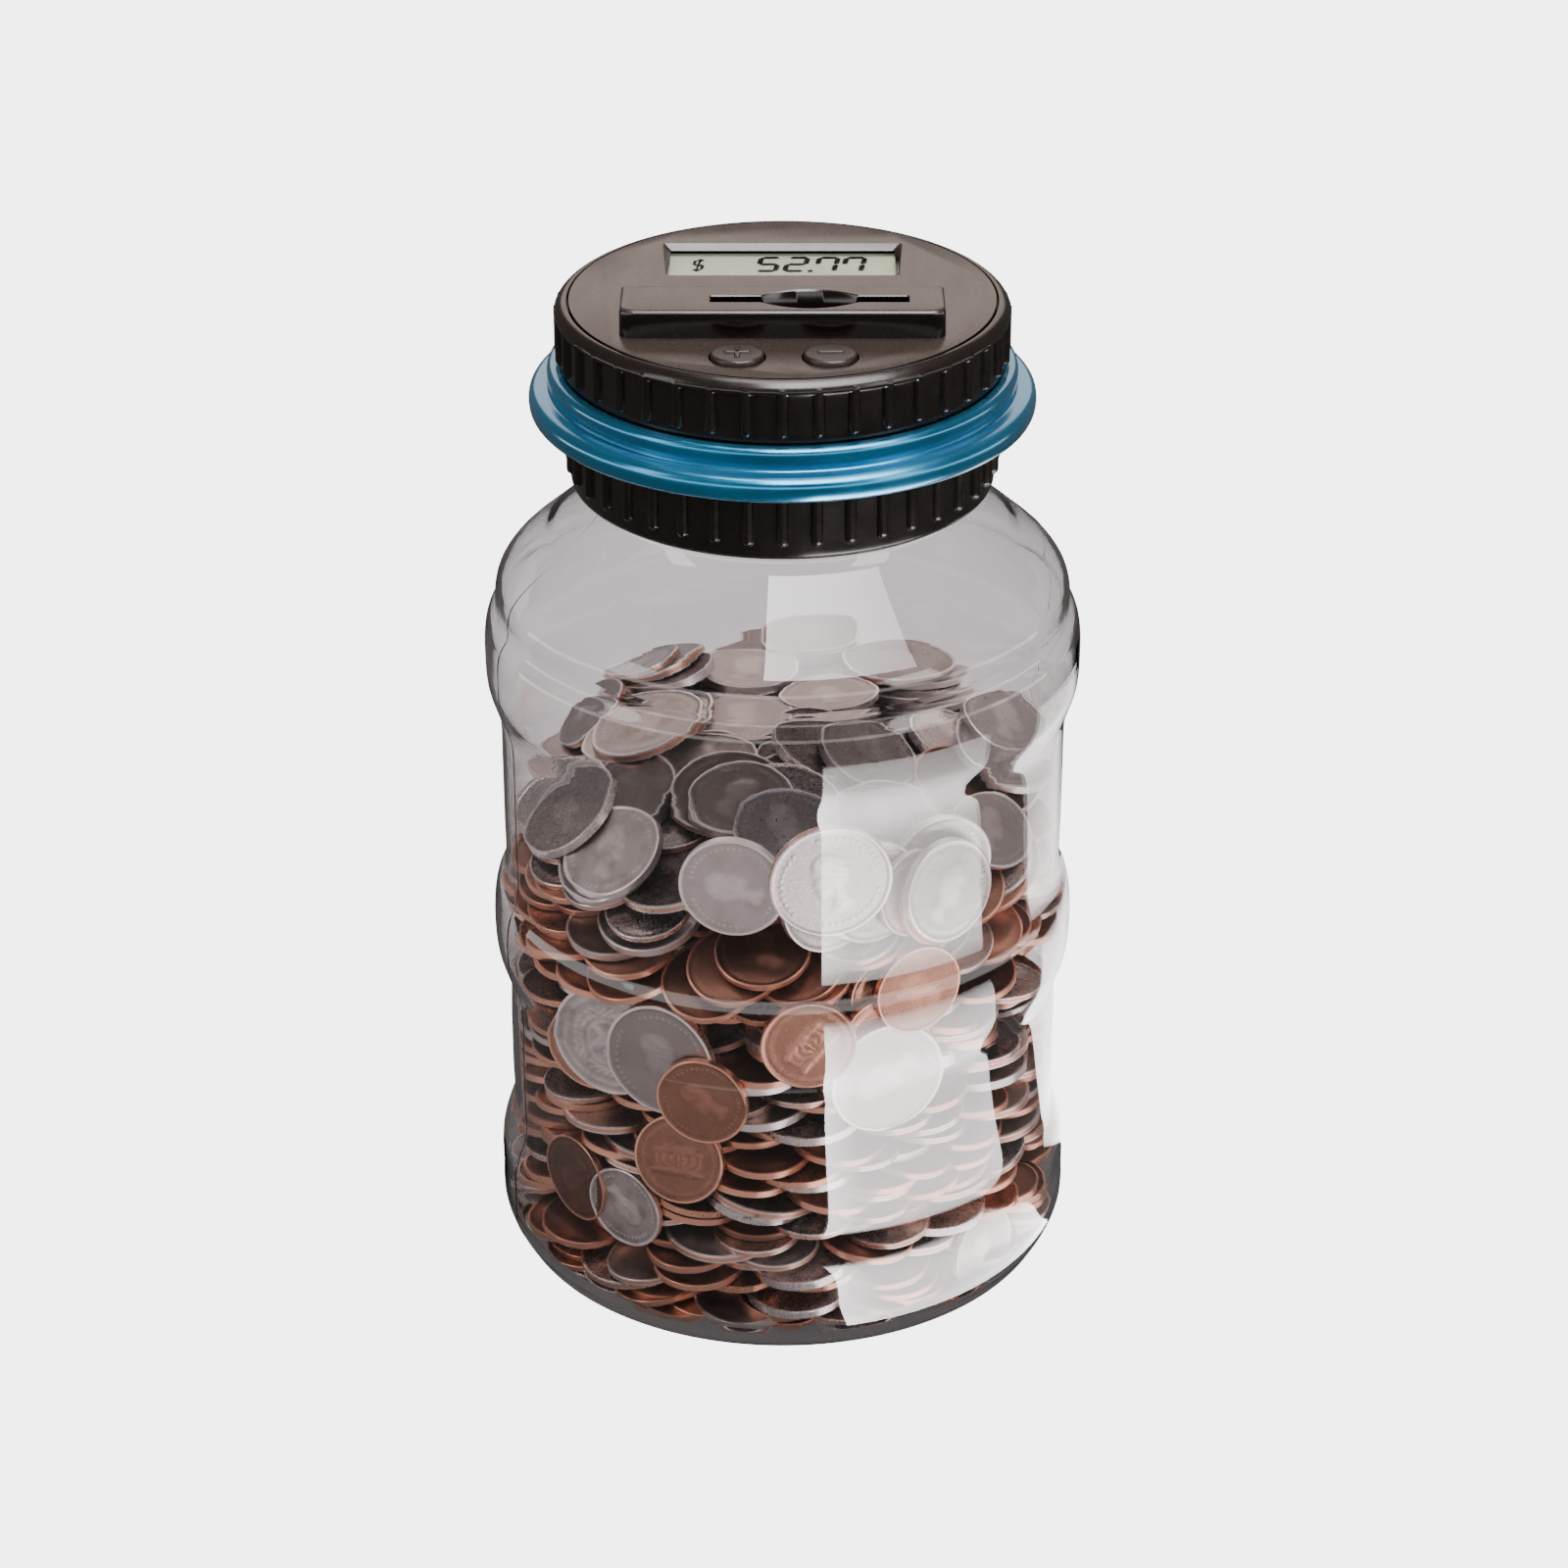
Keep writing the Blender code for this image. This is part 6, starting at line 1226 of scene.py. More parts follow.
    2 -0.2 47.4 85.6 0.98 -0.02 0.01 0.21; 0 -36.1 -32.0 75.9 0.99 0.05 0.01 0.14; 1 18.8 41.7 84.9 0.99 -0.02 -0.02 0.12;
    3 19.6 23.5 88.0 1.00 -0.03 0.00 0.08; 3 25.0 -14.1 87.4 0.99 0.05 0.05 0.09; 0 -2.6 35.4 87.7 1.00 -0.02 0.01 0.03;
    3 42.0 13.1 87.7 0.99 0.00 0.02 0.15; 0 -42.5 -23.3 78.2 1.00 -0.04 -0.03 -0.04; 0 14.1 44.5 87.0 1.00 -0.02 0.01 0.03;
    0 -20.6 41.6 87.1 1.00 0.01 -0.03 -0.08; 2 -39.4 25.9 84.5 0.99 0.05 -0.06 -0.09; 0 -9.9 -41.1 76.8 0.99 0.14 -0.06 0.03;
    2 -37.8 6.0 84.2 0.99 0.06 -0.06 -0.06; 3 4.5 43.8 88.8 1.00 -0.02 0.01 0.08; 0 46.6 2.9 89.1 0.99 0.01 0.02 0.13;
    2 -21.6 -28.5 79.7 0.99 0.11 -0.11 -0.02; 0 22.9 32.3 89.0 1.00 -0.03 0.00 0.03; 0 -20.4 42.0 88.7 1.00 0.01 -0.03 -0.08;
    0 -40.7 -16.1 79.3 0.99 -0.03 -0.04 -0.15; 0 -39.9 24.3 85.8 0.99 0.05 -0.06 -0.07; 0 36.7 19.2 89.5 0.97 -0.00 0.02 0.23;
    0 38.8 -29.0 84.2 0.97 0.22 0.06 0.13; 0 -8.0 -39.5 80.0 0.99 0.15 0.01 -0.05; 0 35.9 -7.5 90.7 0.99 0.08 0.01 0.10;
    0 -33.6 11.2 86.8 1.00 0.06 -0.06 -0.02; 3 15.4 35.3 90.7 1.00 -0.02 0.01 0.06; 2 44.5 13.7 90.8 0.98 0.01 0.02 0.21;
    0 -12.8 44.9 90.8 1.00 0.02 -0.03 0.03; 2 -47.5 -0.7 83.5 0.99 0.08 -0.06 -0.10; 0 -24.0 -29.1 80.5 0.99 0.11 -0.11 -0.03;
    2 33.3 -34.1 84.5 0.97 0.20 0.11 -0.11; 0 -27.8 29.7 89.2 1.00 0.04 -0.04 -0.05; 2 36.0 30.6 90.8 1.00 -0.03 0.01 0.01;
    0 45.8 8.7 92.0 0.98 0.01 0.02 0.20; 2 -22.8 -26.7 82.8 0.98 0.12 -0.10 -0.08; 0 1.7 23.2 92.5 1.00 0.01 -0.03 0.04;
    2 -5.8 -32.2 83.7 0.99 0.15 0.01 -0.06; 0 -9.5 38.9 92.3 1.00 0.02 -0.03 0.06; 3 -39.4 14.2 88.1 1.00 0.06 -0.05 -0.03;
    0 31.8 34.1 92.1 1.00 -0.02 0.01 -0.01; 1 25.2 -11.2 92.0 0.98 0.13 -0.02 -0.17; 0 -45.0 -13.3 83.1 0.98 0.12 -0.04 -0.15;
    0 14.2 44.4 92.0 1.00 -0.01 0.01 0.01; 0 22.1 10.3 92.5 0.98 -0.05 -0.03 0.18; 0 -31.7 34.3 90.9 1.00 0.03 -0.03 0.06;
    0 8.4 4.9 93.2 0.99 -0.04 -0.04 0.12; 0 -5.2 26.2 93.6 1.00 0.01 -0.03 0.05; 2 30.4 23.2 94.0 1.00 -0.02 0.01 0.09;
    0 -26.2 -19.9 85.0 0.99 0.12 -0.10 -0.07; 0 41.0 8.1 93.7 1.00 0.01 0.02 0.09; 3 13.6 -24.9 87.8 0.97 0.21 -0.09 -0.09;
    3 -43.7 5.6 88.3 1.00 0.06 -0.05 -0.01; 1 -17.6 42.0 93.8 1.00 0.03 -0.02 0.07; 3 11.8 42.5 93.7 1.00 -0.01 0.01 0.03;
    0 -34.1 31.8 93.1 0.99 0.09 -0.06 -0.06; 0 -29.8 -39.1 79.8 0.98 0.12 -0.10 -0.15; 0 -4.5 -45.7 80.2 0.97 0.24 0.03 0.08;
    2 -18.4 8.8 92.3 0.99 0.02 -0.03 -0.12; 2 -22.1 -29.2 85.3 0.98 0.12 -0.09 -0.15; 0 41.2 22.0 95.5 0.99 0.01 0.02 0.15;
    0 -10.0 10.9 94.3 0.99 0.02 -0.03 -0.13; 3 9.3 21.6 95.5 1.00 0.02 0.01 0.09; 0 25.1 37.3 95.2 1.00 -0.01 0.01 0.04;
    2 -14.1 34.5 95.1 1.00 0.03 -0.02 0.06; 0 2.6 -41.1 83.5 0.97 0.24 0.03 0.10; 0 45.4 -10.8 92.9 1.00 0.08 0.02 0.02;
    0 -34.4 -14.4 86.4 0.97 0.14 -0.07 -0.19; 0 -33.4 19.7 92.9 1.00 0.07 -0.05 -0.01; 0 4.9 46.0 95.5 1.00 -0.01 0.00 -0.09;
    0 39.4 8.8 96.3 0.99 0.07 0.02 0.09; 0 10.9 -40.3 84.7 0.95 0.24 -0.00 0.21; 0 45.4 -10.7 91.4 0.98 0.08 0.03 -0.17;
    1 27.3 36.5 96.9 1.00 -0.01 0.01 0.05; 0 0.2 46.2 97.0 0.98 -0.01 0.00 -0.18; 0 -14.0 -28.5 89.0 0.99 0.09 -0.08 -0.11;
    0 12.3 23.1 97.1 0.99 0.02 0.01 0.11; 0 -34.4 3.9 91.8 0.99 0.10 -0.10 0.05; 2 -13.2 1.8 95.3 0.98 0.15 -0.07 -0.15;
    0 -34.9 -25.9 85.0 0.97 0.14 -0.08 -0.16; 0 6.5 -22.6 92.2 0.99 0.14 -0.02 0.05; 0 -19.1 26.0 96.1 1.00 0.02 -0.01 0.10;
    2 11.7 25.9 98.9 1.00 -0.00 0.01 0.06; 0 -12.8 -2.1 95.7 0.97 0.15 -0.06 -0.20; 0 -41.3 21.6 93.9 1.00 0.07 -0.05 -0.02;
    0 4.9 -27.6 92.3 0.98 0.14 -0.03 0.11; 0 -30.4 -37.3 84.6 0.98 0.14 -0.08 -0.11; 0 -41.9 -22.1 86.1 0.98 0.13 -0.08 -0.16;
    3 37.1 -0.9 96.7 0.99 0.09 0.02 0.08; 0 4.4 -46.8 84.1 0.97 0.25 -0.03 -0.01; 2 28.1 38.0 98.5 1.00 -0.01 -0.00 -0.09;
    0 -7.0 24.1 97.6 0.98 0.01 0.00 0.22; 0 -46.6 -3.9 89.3 0.99 0.10 -0.09 -0.01; 2 -2.2 47.2 98.5 1.00 -0.01 0.00 0.02;
    3 25.7 -32.6 88.6 0.96 0.22 0.09 -0.11; 0 12.9 7.5 97.4 0.99 0.09 -0.04 0.02; 2 -21.9 41.5 97.5 1.00 -0.04 0.01 -0.04;
    1 -32.6 -32.6 87.3 0.98 0.12 -0.09 -0.10; 3 -11.0 -20.2 94.1 0.99 0.09 -0.08 -0.12; 0 21.9 -36.9 88.8 0.97 0.23 0.08 -0.09;
    3 -28.2 19.1 97.1 1.00 0.06 -0.06 0.03; 0 33.6 20.3 99.1 1.00 -0.01 -0.01 0.09; 0 -6.8 26.8 99.1 0.99 0.01 0.00 0.10;
    0 16.0 43.9 99.4 1.00 -0.03 -0.04 0.06; 2 7.3 6.1 98.2 1.00 0.09 -0.04 -0.01; 0 -46.2 4.8 92.9 0.99 0.07 -0.07 -0.05;
    0 38.9 -5.6 97.4 0.99 0.09 0.02 0.07; 0 -14.5 -47.4 81.9 0.96 0.25 -0.02 -0.15; 0 -44.0 -16.0 88.8 0.99 0.12 -0.08 -0.08;
    2 -19.6 42.7 98.9 1.00 -0.03 0.01 -0.03; 0 17.7 -12.8 95.7 1.00 0.05 0.04 0.05; 0 -12.1 23.1 100.6 0.99 0.01 0.00 0.10;
    0 -37.7 -21.7 90.5 0.98 0.12 -0.09 -0.10; 1 25.9 -7.6 99.1 0.98 0.07 -0.05 0.16; 0 24.0 26.5 100.4 1.00 -0.01 -0.01 0.02;
    0 -20.3 -29.2 92.6 0.99 0.12 -0.10 -0.08; 0 8.1 3.3 99.1 0.99 0.09 -0.03 -0.07; 0 25.5 -35.9 90.7 0.97 0.23 0.07 -0.10;
    0 -27.9 -0.9 95.2 0.99 0.14 -0.06 -0.08; 0 -11.0 -9.4 97.7 0.97 0.06 -0.09 -0.21; 0 2.5 -47.1 85.5 0.95 0.25 0.01 -0.18;
    2 -1.1 47.2 100.0 1.00 -0.01 -0.00 0.00; 0 -37.8 25.7 98.6 0.99 -0.00 -0.13 -0.01; 0 -45.3 8.5 95.1 0.99 0.08 -0.07 -0.05;
    0 42.8 13.4 100.8 0.99 0.09 0.02 0.10; 0 -18.9 42.3 100.4 1.00 -0.03 0.01 -0.02; 1 12.1 -22.1 96.7 0.99 0.14 -0.04 -0.06;
    0 -9.5 -48.0 85.8 0.93 0.22 -0.13 0.28; 0 -34.2 5.0 97.8 0.99 0.09 -0.07 -0.11; 3 15.1 3.6 101.7 0.99 0.07 -0.03 -0.11;
    1 28.7 33.6 102.2 1.00 0.00 -0.01 0.02; 3 -15.3 38.4 102.2 0.99 -0.03 0.01 -0.10; 2 -13.1 -7.3 98.8 0.99 0.05 -0.10 -0.09;
    0 -45.6 -10.4 92.6 0.98 0.10 -0.09 -0.17; 0 46.0 -7.8 98.2 1.00 0.08 0.03 0.04; 3 -27.7 -22.5 94.2 0.99 0.11 -0.10 -0.03;
    2 5.6 43.7 101.5 1.00 0.00 0.01 -0.02; 0 15.4 -43.8 90.9 0.99 0.16 -0.04 0.00; 1 -15.0 -4.7 100.3 0.99 0.05 -0.10 -0.13;
    0 42.4 -19.7 95.1 0.88 0.45 0.01 -0.13; 3 -6.8 -26.9 97.0 0.99 0.15 0.03 -0.05; 1 -26.1 -38.0 92.4 0.98 0.17 -0.11 0.08;
    2 15.6 4.8 103.5 0.99 0.07 -0.04 -0.09; 0 -41.5 19.3 99.5 0.99 0.00 -0.12 0.12; 0 0.5 28.3 103.6 1.00 -0.02 0.03 -0.08;
    0 -42.3 -20.3 93.3 0.98 0.12 -0.09 -0.09; 1 29.1 26.0 104.1 0.99 0.01 -0.02 0.15; 0 -42.9 -1.5 96.8 0.99 0.11 -0.08 -0.06;
    0 -3.9 -47.2 89.0 0.94 0.20 -0.09 0.27; 2 14.3 -44.7 92.1 0.99 0.16 -0.03 -0.05; 2 -15.9 14.8 102.0 1.00 0.05 -0.02 -0.02;
    0 46.0 4.7 101.5 1.00 0.05 0.02 0.08; 0 16.7 42.4 103.4 0.99 -0.01 -0.03 -0.10; 0 -17.3 42.6 103.7 1.00 -0.02 0.01 -0.01;
    0 1.0 34.7 105.1 1.00 -0.03 0.01 0.08; 0 -37.8 15.4 101.8 0.99 0.01 -0.12 0.10; 0 16.2 23.3 105.3 1.00 0.01 -0.02 0.07;
    2 4.5 -19.2 100.3 0.98 0.11 0.06 -0.12; 1 -30.9 -4.8 100.1 0.99 0.10 -0.10 0.04; 0 15.0 -36.0 96.4 0.98 0.16 -0.02 -0.10;
    0 -4.1 -35.0 96.1 0.99 0.15 0.03 -0.07; 0 44.8 13.2 104.0 0.99 0.05 0.02 0.08; 2 6.8 6.4 104.2 0.99 0.06 -0.06 -0.08;
    0 -16.3 42.8 105.3 1.00 -0.02 0.01 -0.01; 0 -40.3 -23.9 94.5 0.98 0.12 -0.09 -0.10; 0 -9.2 3.8 103.9 0.99 0.01 -0.07 -0.08;
    0 -20.5 -34.1 97.1 0.96 0.20 -0.06 -0.19; 3 8.2 -34.2 98.6 0.98 0.16 -0.00 -0.13; 0 26.8 10.7 106.5 1.00 0.03 -0.01 0.09;
    3 -16.6 12.2 104.7 1.00 -0.01 -0.06 -0.04; 0 45.3 0.6 103.7 0.97 0.13 -0.03 0.18; 0 -42.7 13.8 102.1 0.99 0.00 -0.12 0.13;
    2 -41.8 -21.9 96.1 0.99 0.11 -0.10 -0.01; 0 5.0 44.1 105.9 1.00 -0.06 0.03 0.07; 0 -11.5 -17.3 102.2 0.99 0.09 -0.06 -0.07;
    2 -26.2 -39.9 95.1 0.98 0.17 -0.12 0.07; 2 4.3 14.3 106.6 0.99 -0.01 -0.03 -0.13; 0 -13.2 38.5 106.9 1.00 -0.02 0.01 -0.05;
    0 21.1 34.0 106.7 1.00 -0.06 0.02 0.02; 0 -32.0 -3.9 101.8 0.99 0.10 -0.09 0.00; 0 -8.5 -41.0 100.4 0.98 0.12 -0.12 -0.13;
    0 10.5 -7.2 104.2 0.99 0.12 0.05 0.01; 0 -29.1 -15.2 101.5 0.98 0.12 -0.07 -0.17; 0 17.2 15.2 108.5 1.00 -0.02 -0.02 -0.08;
    3 11.8 -8.5 105.4 0.99 0.12 0.05 -0.04; 1 7.0 -36.0 99.9 0.98 0.16 0.00 -0.16; 1 -4.7 18.6 107.8 1.00 -0.02 -0.02 -0.04;
    0 -7.4 -21.9 103.5 0.99 0.08 -0.06 -0.01; 2 -23.7 12.0 106.2 1.00 0.03 -0.09 -0.01; 0 -2.5 46.2 107.6 1.00 -0.06 0.03 0.04;
    2 -34.9 -32.3 97.3 0.98 0.12 -0.12 -0.12; 2 -30.0 33.8 104.3 0.96 0.03 -0.25 -0.08; 2 43.7 -5.0 103.6 0.97 0.13 -0.03 0.22;
    1 -12.3 -39.1 101.6 0.99 0.10 -0.13 -0.00; 0 -44.7 -4.2 100.6 0.98 0.12 -0.16 0.04; 0 16.5 43.5 107.3 1.00 -0.07 0.01 0.00;
    0 39.8 -24.9 94.8 0.93 0.31 0.07 -0.20; 0 12.5 43.6 109.3 1.00 -0.04 -0.00 0.03; 0 -6.5 26.1 109.2 1.00 -0.02 -0.02 -0.06;
    1 39.4 -23.4 98.1 0.93 0.32 0.06 -0.17; 0 -2.4 -5.9 108.5 0.99 0.09 -0.04 -0.12; 0 -44.5 -7.0 101.5 0.98 0.13 -0.16 -0.01;
    1 -28.9 11.0 106.8 0.99 0.03 -0.10 -0.02; 0 4.3 -39.7 100.4 0.98 0.16 -0.01 -0.10; 3 -21.4 -36.8 101.7 0.99 0.11 -0.13 -0.03;
    3 19.3 -6.2 107.4 0.99 0.13 0.08 0.03; 1 28.3 27.3 109.1 0.99 -0.06 0.03 0.11; 1 -25.3 -13.1 104.5 0.97 0.12 -0.07 -0.22;
    2 41.9 21.9 106.9 0.98 -0.06 0.06 0.17; 1 30.3 34.0 110.0 0.99 -0.07 0.03 0.07; 3 -40.2 -16.5 102.2 0.98 0.13 -0.15 -0.03;
    3 29.7 -5.1 107.8 0.99 0.12 0.10 0.03; 1 4.5 -11.2 110.3 0.98 0.14 0.05 -0.13; 1 10.0 27.9 111.8 1.00 -0.00 -0.02 0.05;
    0 -12.9 22.5 110.6 1.00 -0.02 -0.02 -0.09; 0 6.3 -32.6 104.8 0.99 0.03 0.06 -0.16; 2 -31.8 9.7 107.9 0.99 0.02 -0.10 0.06;
    2 -21.1 -24.8 105.9 0.99 0.09 -0.13 -0.02; 0 34.8 -31.5 95.1 0.95 0.30 0.08 -0.11; 0 -36.4 27.6 105.4 0.97 -0.14 -0.15 0.16;
    1 -16.6 -6.1 109.5 1.00 0.04 -0.04 -0.07; 0 -4.2 45.9 110.2 0.99 -0.06 -0.02 0.11; 0 -15.6 -10.8 111.5 0.98 0.07 -0.05 0.16;
    2 -2.9 -38.8 106.6 1.00 0.05 -0.01 -0.02; 1 9.9 16.4 113.8 1.00 -0.00 -0.02 0.10; 1 -33.3 -19.0 105.8 0.98 0.12 -0.15 -0.01;
    3 -26.0 8.7 111.6 0.98 0.05 -0.13 -0.15; 3 30.1 -24.8 103.2 0.97 0.22 0.08 -0.01; 2 26.2 39.2 111.3 0.99 -0.06 0.04 0.11;
    0 36.2 2.8 110.3 0.98 0.05 0.15 0.15; 0 -10.2 27.2 112.0 1.00 -0.02 -0.01 -0.02; 0 2.7 -19.8 109.7 0.98 0.14 0.06 -0.15;
    0 6.2 45.1 112.4 1.00 -0.07 -0.02 0.03; 0 46.8 2.2 108.5 0.99 0.03 0.15 0.05; 0 13.9 -31.0 107.0 0.97 0.10 0.16 -0.14;
    0 -7.0 30.8 113.5 1.00 -0.02 -0.01 -0.09; 0 -31.6 1.5 111.3 0.98 0.04 -0.14 -0.12; 1 8.1 -8.4 114.4 0.99 0.09 0.14 0.00;
    3 24.9 34.0 113.6 0.99 -0.04 0.03 0.12; 3 -10.6 -23.3 111.2 0.98 0.12 0.01 -0.13; 2 41.7 -24.3 104.4 0.93 0.29 0.22 0.05;
    0 -34.6 -33.8 102.9 0.92 0.29 -0.19 -0.19; 0 -26.8 32.1 109.9 0.97 -0.08 -0.19 -0.10; 0 -31.6 -17.6 108.6 0.96 0.15 -0.12 -0.22;
    0 9.0 -48.4 101.0 0.74 0.62 0.23 0.11; 2 -40.8 17.9 108.2 0.90 -0.08 -0.33 0.29; 3 -0.7 -29.4 111.7 0.98 0.12 0.01 -0.14;
    3 -28.0 1.1 114.1 0.99 0.03 -0.14 -0.09; 0 17.5 -10.0 113.3 0.98 0.11 0.17 0.02; 0 -8.3 7.4 112.6 1.00 0.01 -0.02 -0.07;
    0 6.1 45.6 113.9 1.00 -0.06 -0.02 0.07; 0 -33.5 -34.9 104.9 0.92 0.28 -0.19 -0.16; 0 35.8 -13.7 109.2 0.96 0.12 0.16 -0.20;
    0 -24.3 25.2 114.0 0.97 -0.07 -0.20 -0.16; 2 46.1 11.1 110.7 0.99 0.02 0.15 0.05; 0 23.6 -29.8 106.1 0.96 0.09 0.17 -0.21;
    2 -42.8 -15.5 106.3 0.93 0.15 -0.30 -0.13; 1 22.5 -29.1 108.5 0.96 0.09 0.17 -0.23; 0 45.1 -5.3 111.3 0.97 0.10 0.19 0.08;
    0 -8.4 -29.6 113.3 0.96 0.12 0.01 -0.24; 3 -27.8 34.2 112.5 0.97 -0.10 -0.20 -0.06; 0 -42.6 -22.5 106.6 0.94 0.09 -0.32 0.05;
    0 46.8 3.3 113.8 0.98 0.09 0.19 0.01; 0 0.8 -40.4 111.9 0.98 0.18 0.02 0.08; 2 -30.3 32.5 113.6 0.93 -0.05 -0.21 -0.28;
    1 31.3 -37.5 103.4 0.71 0.59 0.37 -0.10; 2 18.8 -32.3 110.7 0.98 0.12 0.13 0.00; 2 25.9 -44.4 100.5 0.75 0.53 0.40 0.02;
    2 14.4 -47.1 101.1 0.65 0.35 0.56 -0.37; 0 17.6 -46.8 102.0 0.70 0.44 0.50 -0.26; 0 30.6 -42.8 98.4 0.75 0.48 0.45 -0.05;
    0 32.4 -42.9 100.4 0.75 0.53 0.40 0.02;
"""

rng = np.random.RandomState(11)
templates = {}


def template(kind, m):
    if (kind, m) not in templates:
        templates[(kind, m)] = coin_template(kind, m, m >= 16)
    return templates[(kind, m)]


def coins():
    rows = [r.split() for r in PILE.replace("\n", " ").split(";") if r.strip()]
    table = []
    for r in rows:
        k, pos, q = int(r[0]), Vector(map(float, r[1:4])), Quaternion(list(map(float, r[4:8])))
        q.normalize()
        table.append((k % 4, k >= 4, pos, q))
    # coins that slipped into the groove round the raised middle of the floor
    for row, (count, r, z, lean) in enumerate(((15, 46.2, 4.6, 13.0), (15, 45.9, 6.5, 11.0),
                                               (13, 46.4, 8.4, 8.0))):
        for i in range(count):
            a = TAU * (i + 0.37 * row) / count + 0.05 * math.sin(5 * i + row)
            q = Quaternion((-math.sin(a), math.cos(a), 0.0), rad(lean + 1.5 * math.sin(3 * i)))
            table.append(((0, 0, 2, 0, 1)[(i * 2 + row) % 5], False,
                          Vector((r * math.cos(a), r * math.sin(a), z)), q))
    cells = {}
    for i, (_, _, p, _) in enumerate(table):
        cells.setdefault((int(p.x // 14), int(p.y // 14)), []).append(i)

    def covered(i):
        """How many coins lie above this one's middle."""
        _, _, p, _ = table[i]
        cx, cy = int(p.x // 14), int(p.y // 14)
        n = 0
        for a in (-1, 0, 1):
            for b in (-1, 0, 1):
                for j in cells.get((cx + a, cy + b), ()):
                    q = table[j][2]
                    if j != i and 0.8 < q.z - p.z < 30 and math.hypot(q.x - p.x, q.y - p.y) < 8.0:
                        n += 1
        return n

    groups = {"coins_wall": [], "coins_shown": [], "coins_packed_low": [], "coins_packed_high": []}
    for i, (k, flat, p, q) in enumerate(table):
        axis = q @ Vector((0, 0, 1))
        out = math.hypot(p.x, p.y)
        radial = abs(axis.x * p.x + axis.y * p.y) / max(out, 1.0)
        if flat:
            groups["coins_wall"].append((i, 64))
        elif (radial > 0.42 and out > 42) or (covered(i) <= 1 and p.z > 90):
            groups["coins_shown"].append((i, 30))
        elif covered(i) <= 3 and p.z > 90:
            groups["coins_shown"].append((i, 20))
        else:
            groups["coins_packed_low" if p.z < 56 else "coins_packed_high"].append((i, 10))
    for name, members in groups.items():
        vs, fs, ms, tags = [], [], [], []
        offset = 0
        for i, m in members:
            k, flat, p, q = table[i]
            if k == 0 and not flat and p.z > 96 and covered(i) <= 1 and rng.rand() < 0.85:
                k = 1
            v, f, mi, h, copper = template(k, m)
            rot = np.array(q.to_matrix())
            w = v @ rot.T + np.array(p)
            out = np.hypot(w[:, 0], w[:, 1])
            # a rim that rests on the wall never goes through it
            limit = np.interp(w[:, 2], [0, 6, 9, 20, 28, 60, 70, 77, 87, 200],
                              [52.5, 57.2, 58.5, 58.5, 55.95, 55.95, 58.6, 58.6, 56.15, 56.15])
            f_out = np.minimum(1.0, limit / np.maximum(out, 1e-6))
            w[:, 0] *= f_out
            w[:, 1] *= f_out
            w[:, 2] = np.maximum(w[:, 2], 1.45)
            tone = float(np.clip(rng.normal(0.46 if copper else 0.52, 0.27), 0.02, 1.0))
            tarn = float(np.clip(rng.normal(0.35, 0.3), 0.0, 1.0))
            if flat and k == 3 and p.z > 90:
                tone, tarn = 1.0, 0.0
            # painted light: coins behind the window reflection band, heading 3 to 43 degrees and below 122 mm, get a
            # lighter tone and less tarnish, standing in for window light falling on them
            heading = math.degrees(math.atan2(p.x, -p.y))
            if 3.0 < heading < 43.0 and p.z < 122:
                tone, tarn = 0.5 + 0.5 * tone, 0.4 * tarn
            vs.append(w)
            fs.append(f + offset)
            ms.append(np.where(mi == 1, 1, 1 if copper else 0))
            tags.append(np.stack([np.full(len(v), tone), np.full(len(v), tarn), h,
                                  np.ones(len(v))], axis=-1))
            offset += len(v)
        ob = to_object(name, np.concatenate(vs), np.concatenate(fs), [M_SILVER, M_COPPER], 34.0,
                       np.concatenate(ms))
        at = ob.data.attributes.new("coin", "FLOAT_COLOR", "POINT")
        at.data.foreach_set("color", np.concatenate(tags).astype(np.float32).ravel())
        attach(ob, "jar")
        print(name, len(members), "coins", len(ob.data.polygons), "faces")


coins()

# ------------------------------------------------------------------ floor, light
PAPER = 4.95      # radiance that reads as the pale ground


def ray_choice(n, seen_light, through, other):
    """Radiance by kind of ray: to the eye, through the clear jar, and all the rest."""
    path = n.add("LightPath")
    deep = n.math("GREATER_THAN", path.outputs["Transmission Depth"], 2.5)
    a = n.add("MixShader", {"Fac": deep})
    n.link(other, a.inputs[1])
    n.link(through, a.inputs[2])
    mix = n.add("MixShader", {"Fac": path.outputs["Is Camera Ray"]})
    n.link(a.outputs["Shader"], mix.inputs[1])
    n.link(seen_light, mix.inputs[2])
    return mix.outputs["Shader"]


def floor_material():
    """Pale seamless ground: even to the eye, shaded round the jar for light that comes through it."""
    m, n = new_material("ground")
    co = n.coord()
    tooth = n.noise(60.0, 3.0, 0.5, co)
    flat = n.add("VectorMath", {0: co, 1: (1.0, 1.0, 0.0)}, operation="MULTIPLY")
    away = n.add("VectorMath", {0: flat.outputs["Vector"]}, operation="LENGTH").outputs["Value"]
    # painted shadow: the ground seen through the jar glows dimmer close to the jar, in place of the jar's contact
    # shadow
    glow = n.math("MULTIPLY", n.span(away, 0.12, 1.10, 0.05, 0.20), n.span(tooth, 0.97, 1.03))
    even = n.add("Emission", {"Color": (1.0, 1.0, 0.995, 1.0), "Strength": PAPER})
    through = n.add("Emission", {"Color": (1.0, 0.965, 0.965, 1.0), "Strength": glow})
    dim = n.add("Emission", {"Color": (1.0, 0.93, 0.90, 1.0), "Strength": 0.10})
    n.out(ray_choice(n, even.outputs["Emission"], through.outputs["Emission"],
                     dim.outputs["Emission"]))
    return m


bm = bmesh.new()
bmesh.ops.create_grid(bm, x_segments=8, y_segments=8, size=8.0)
me = bpy.data.meshes.new("ground")
bm.to_mesh(me)
bm.free()
ground = bpy.data.objects.new("ground", me)
ground.location = (0, 0, -0.0004)
me.materials.append(floor_material())
bpy.context.scene.collection.objects.link(ground)


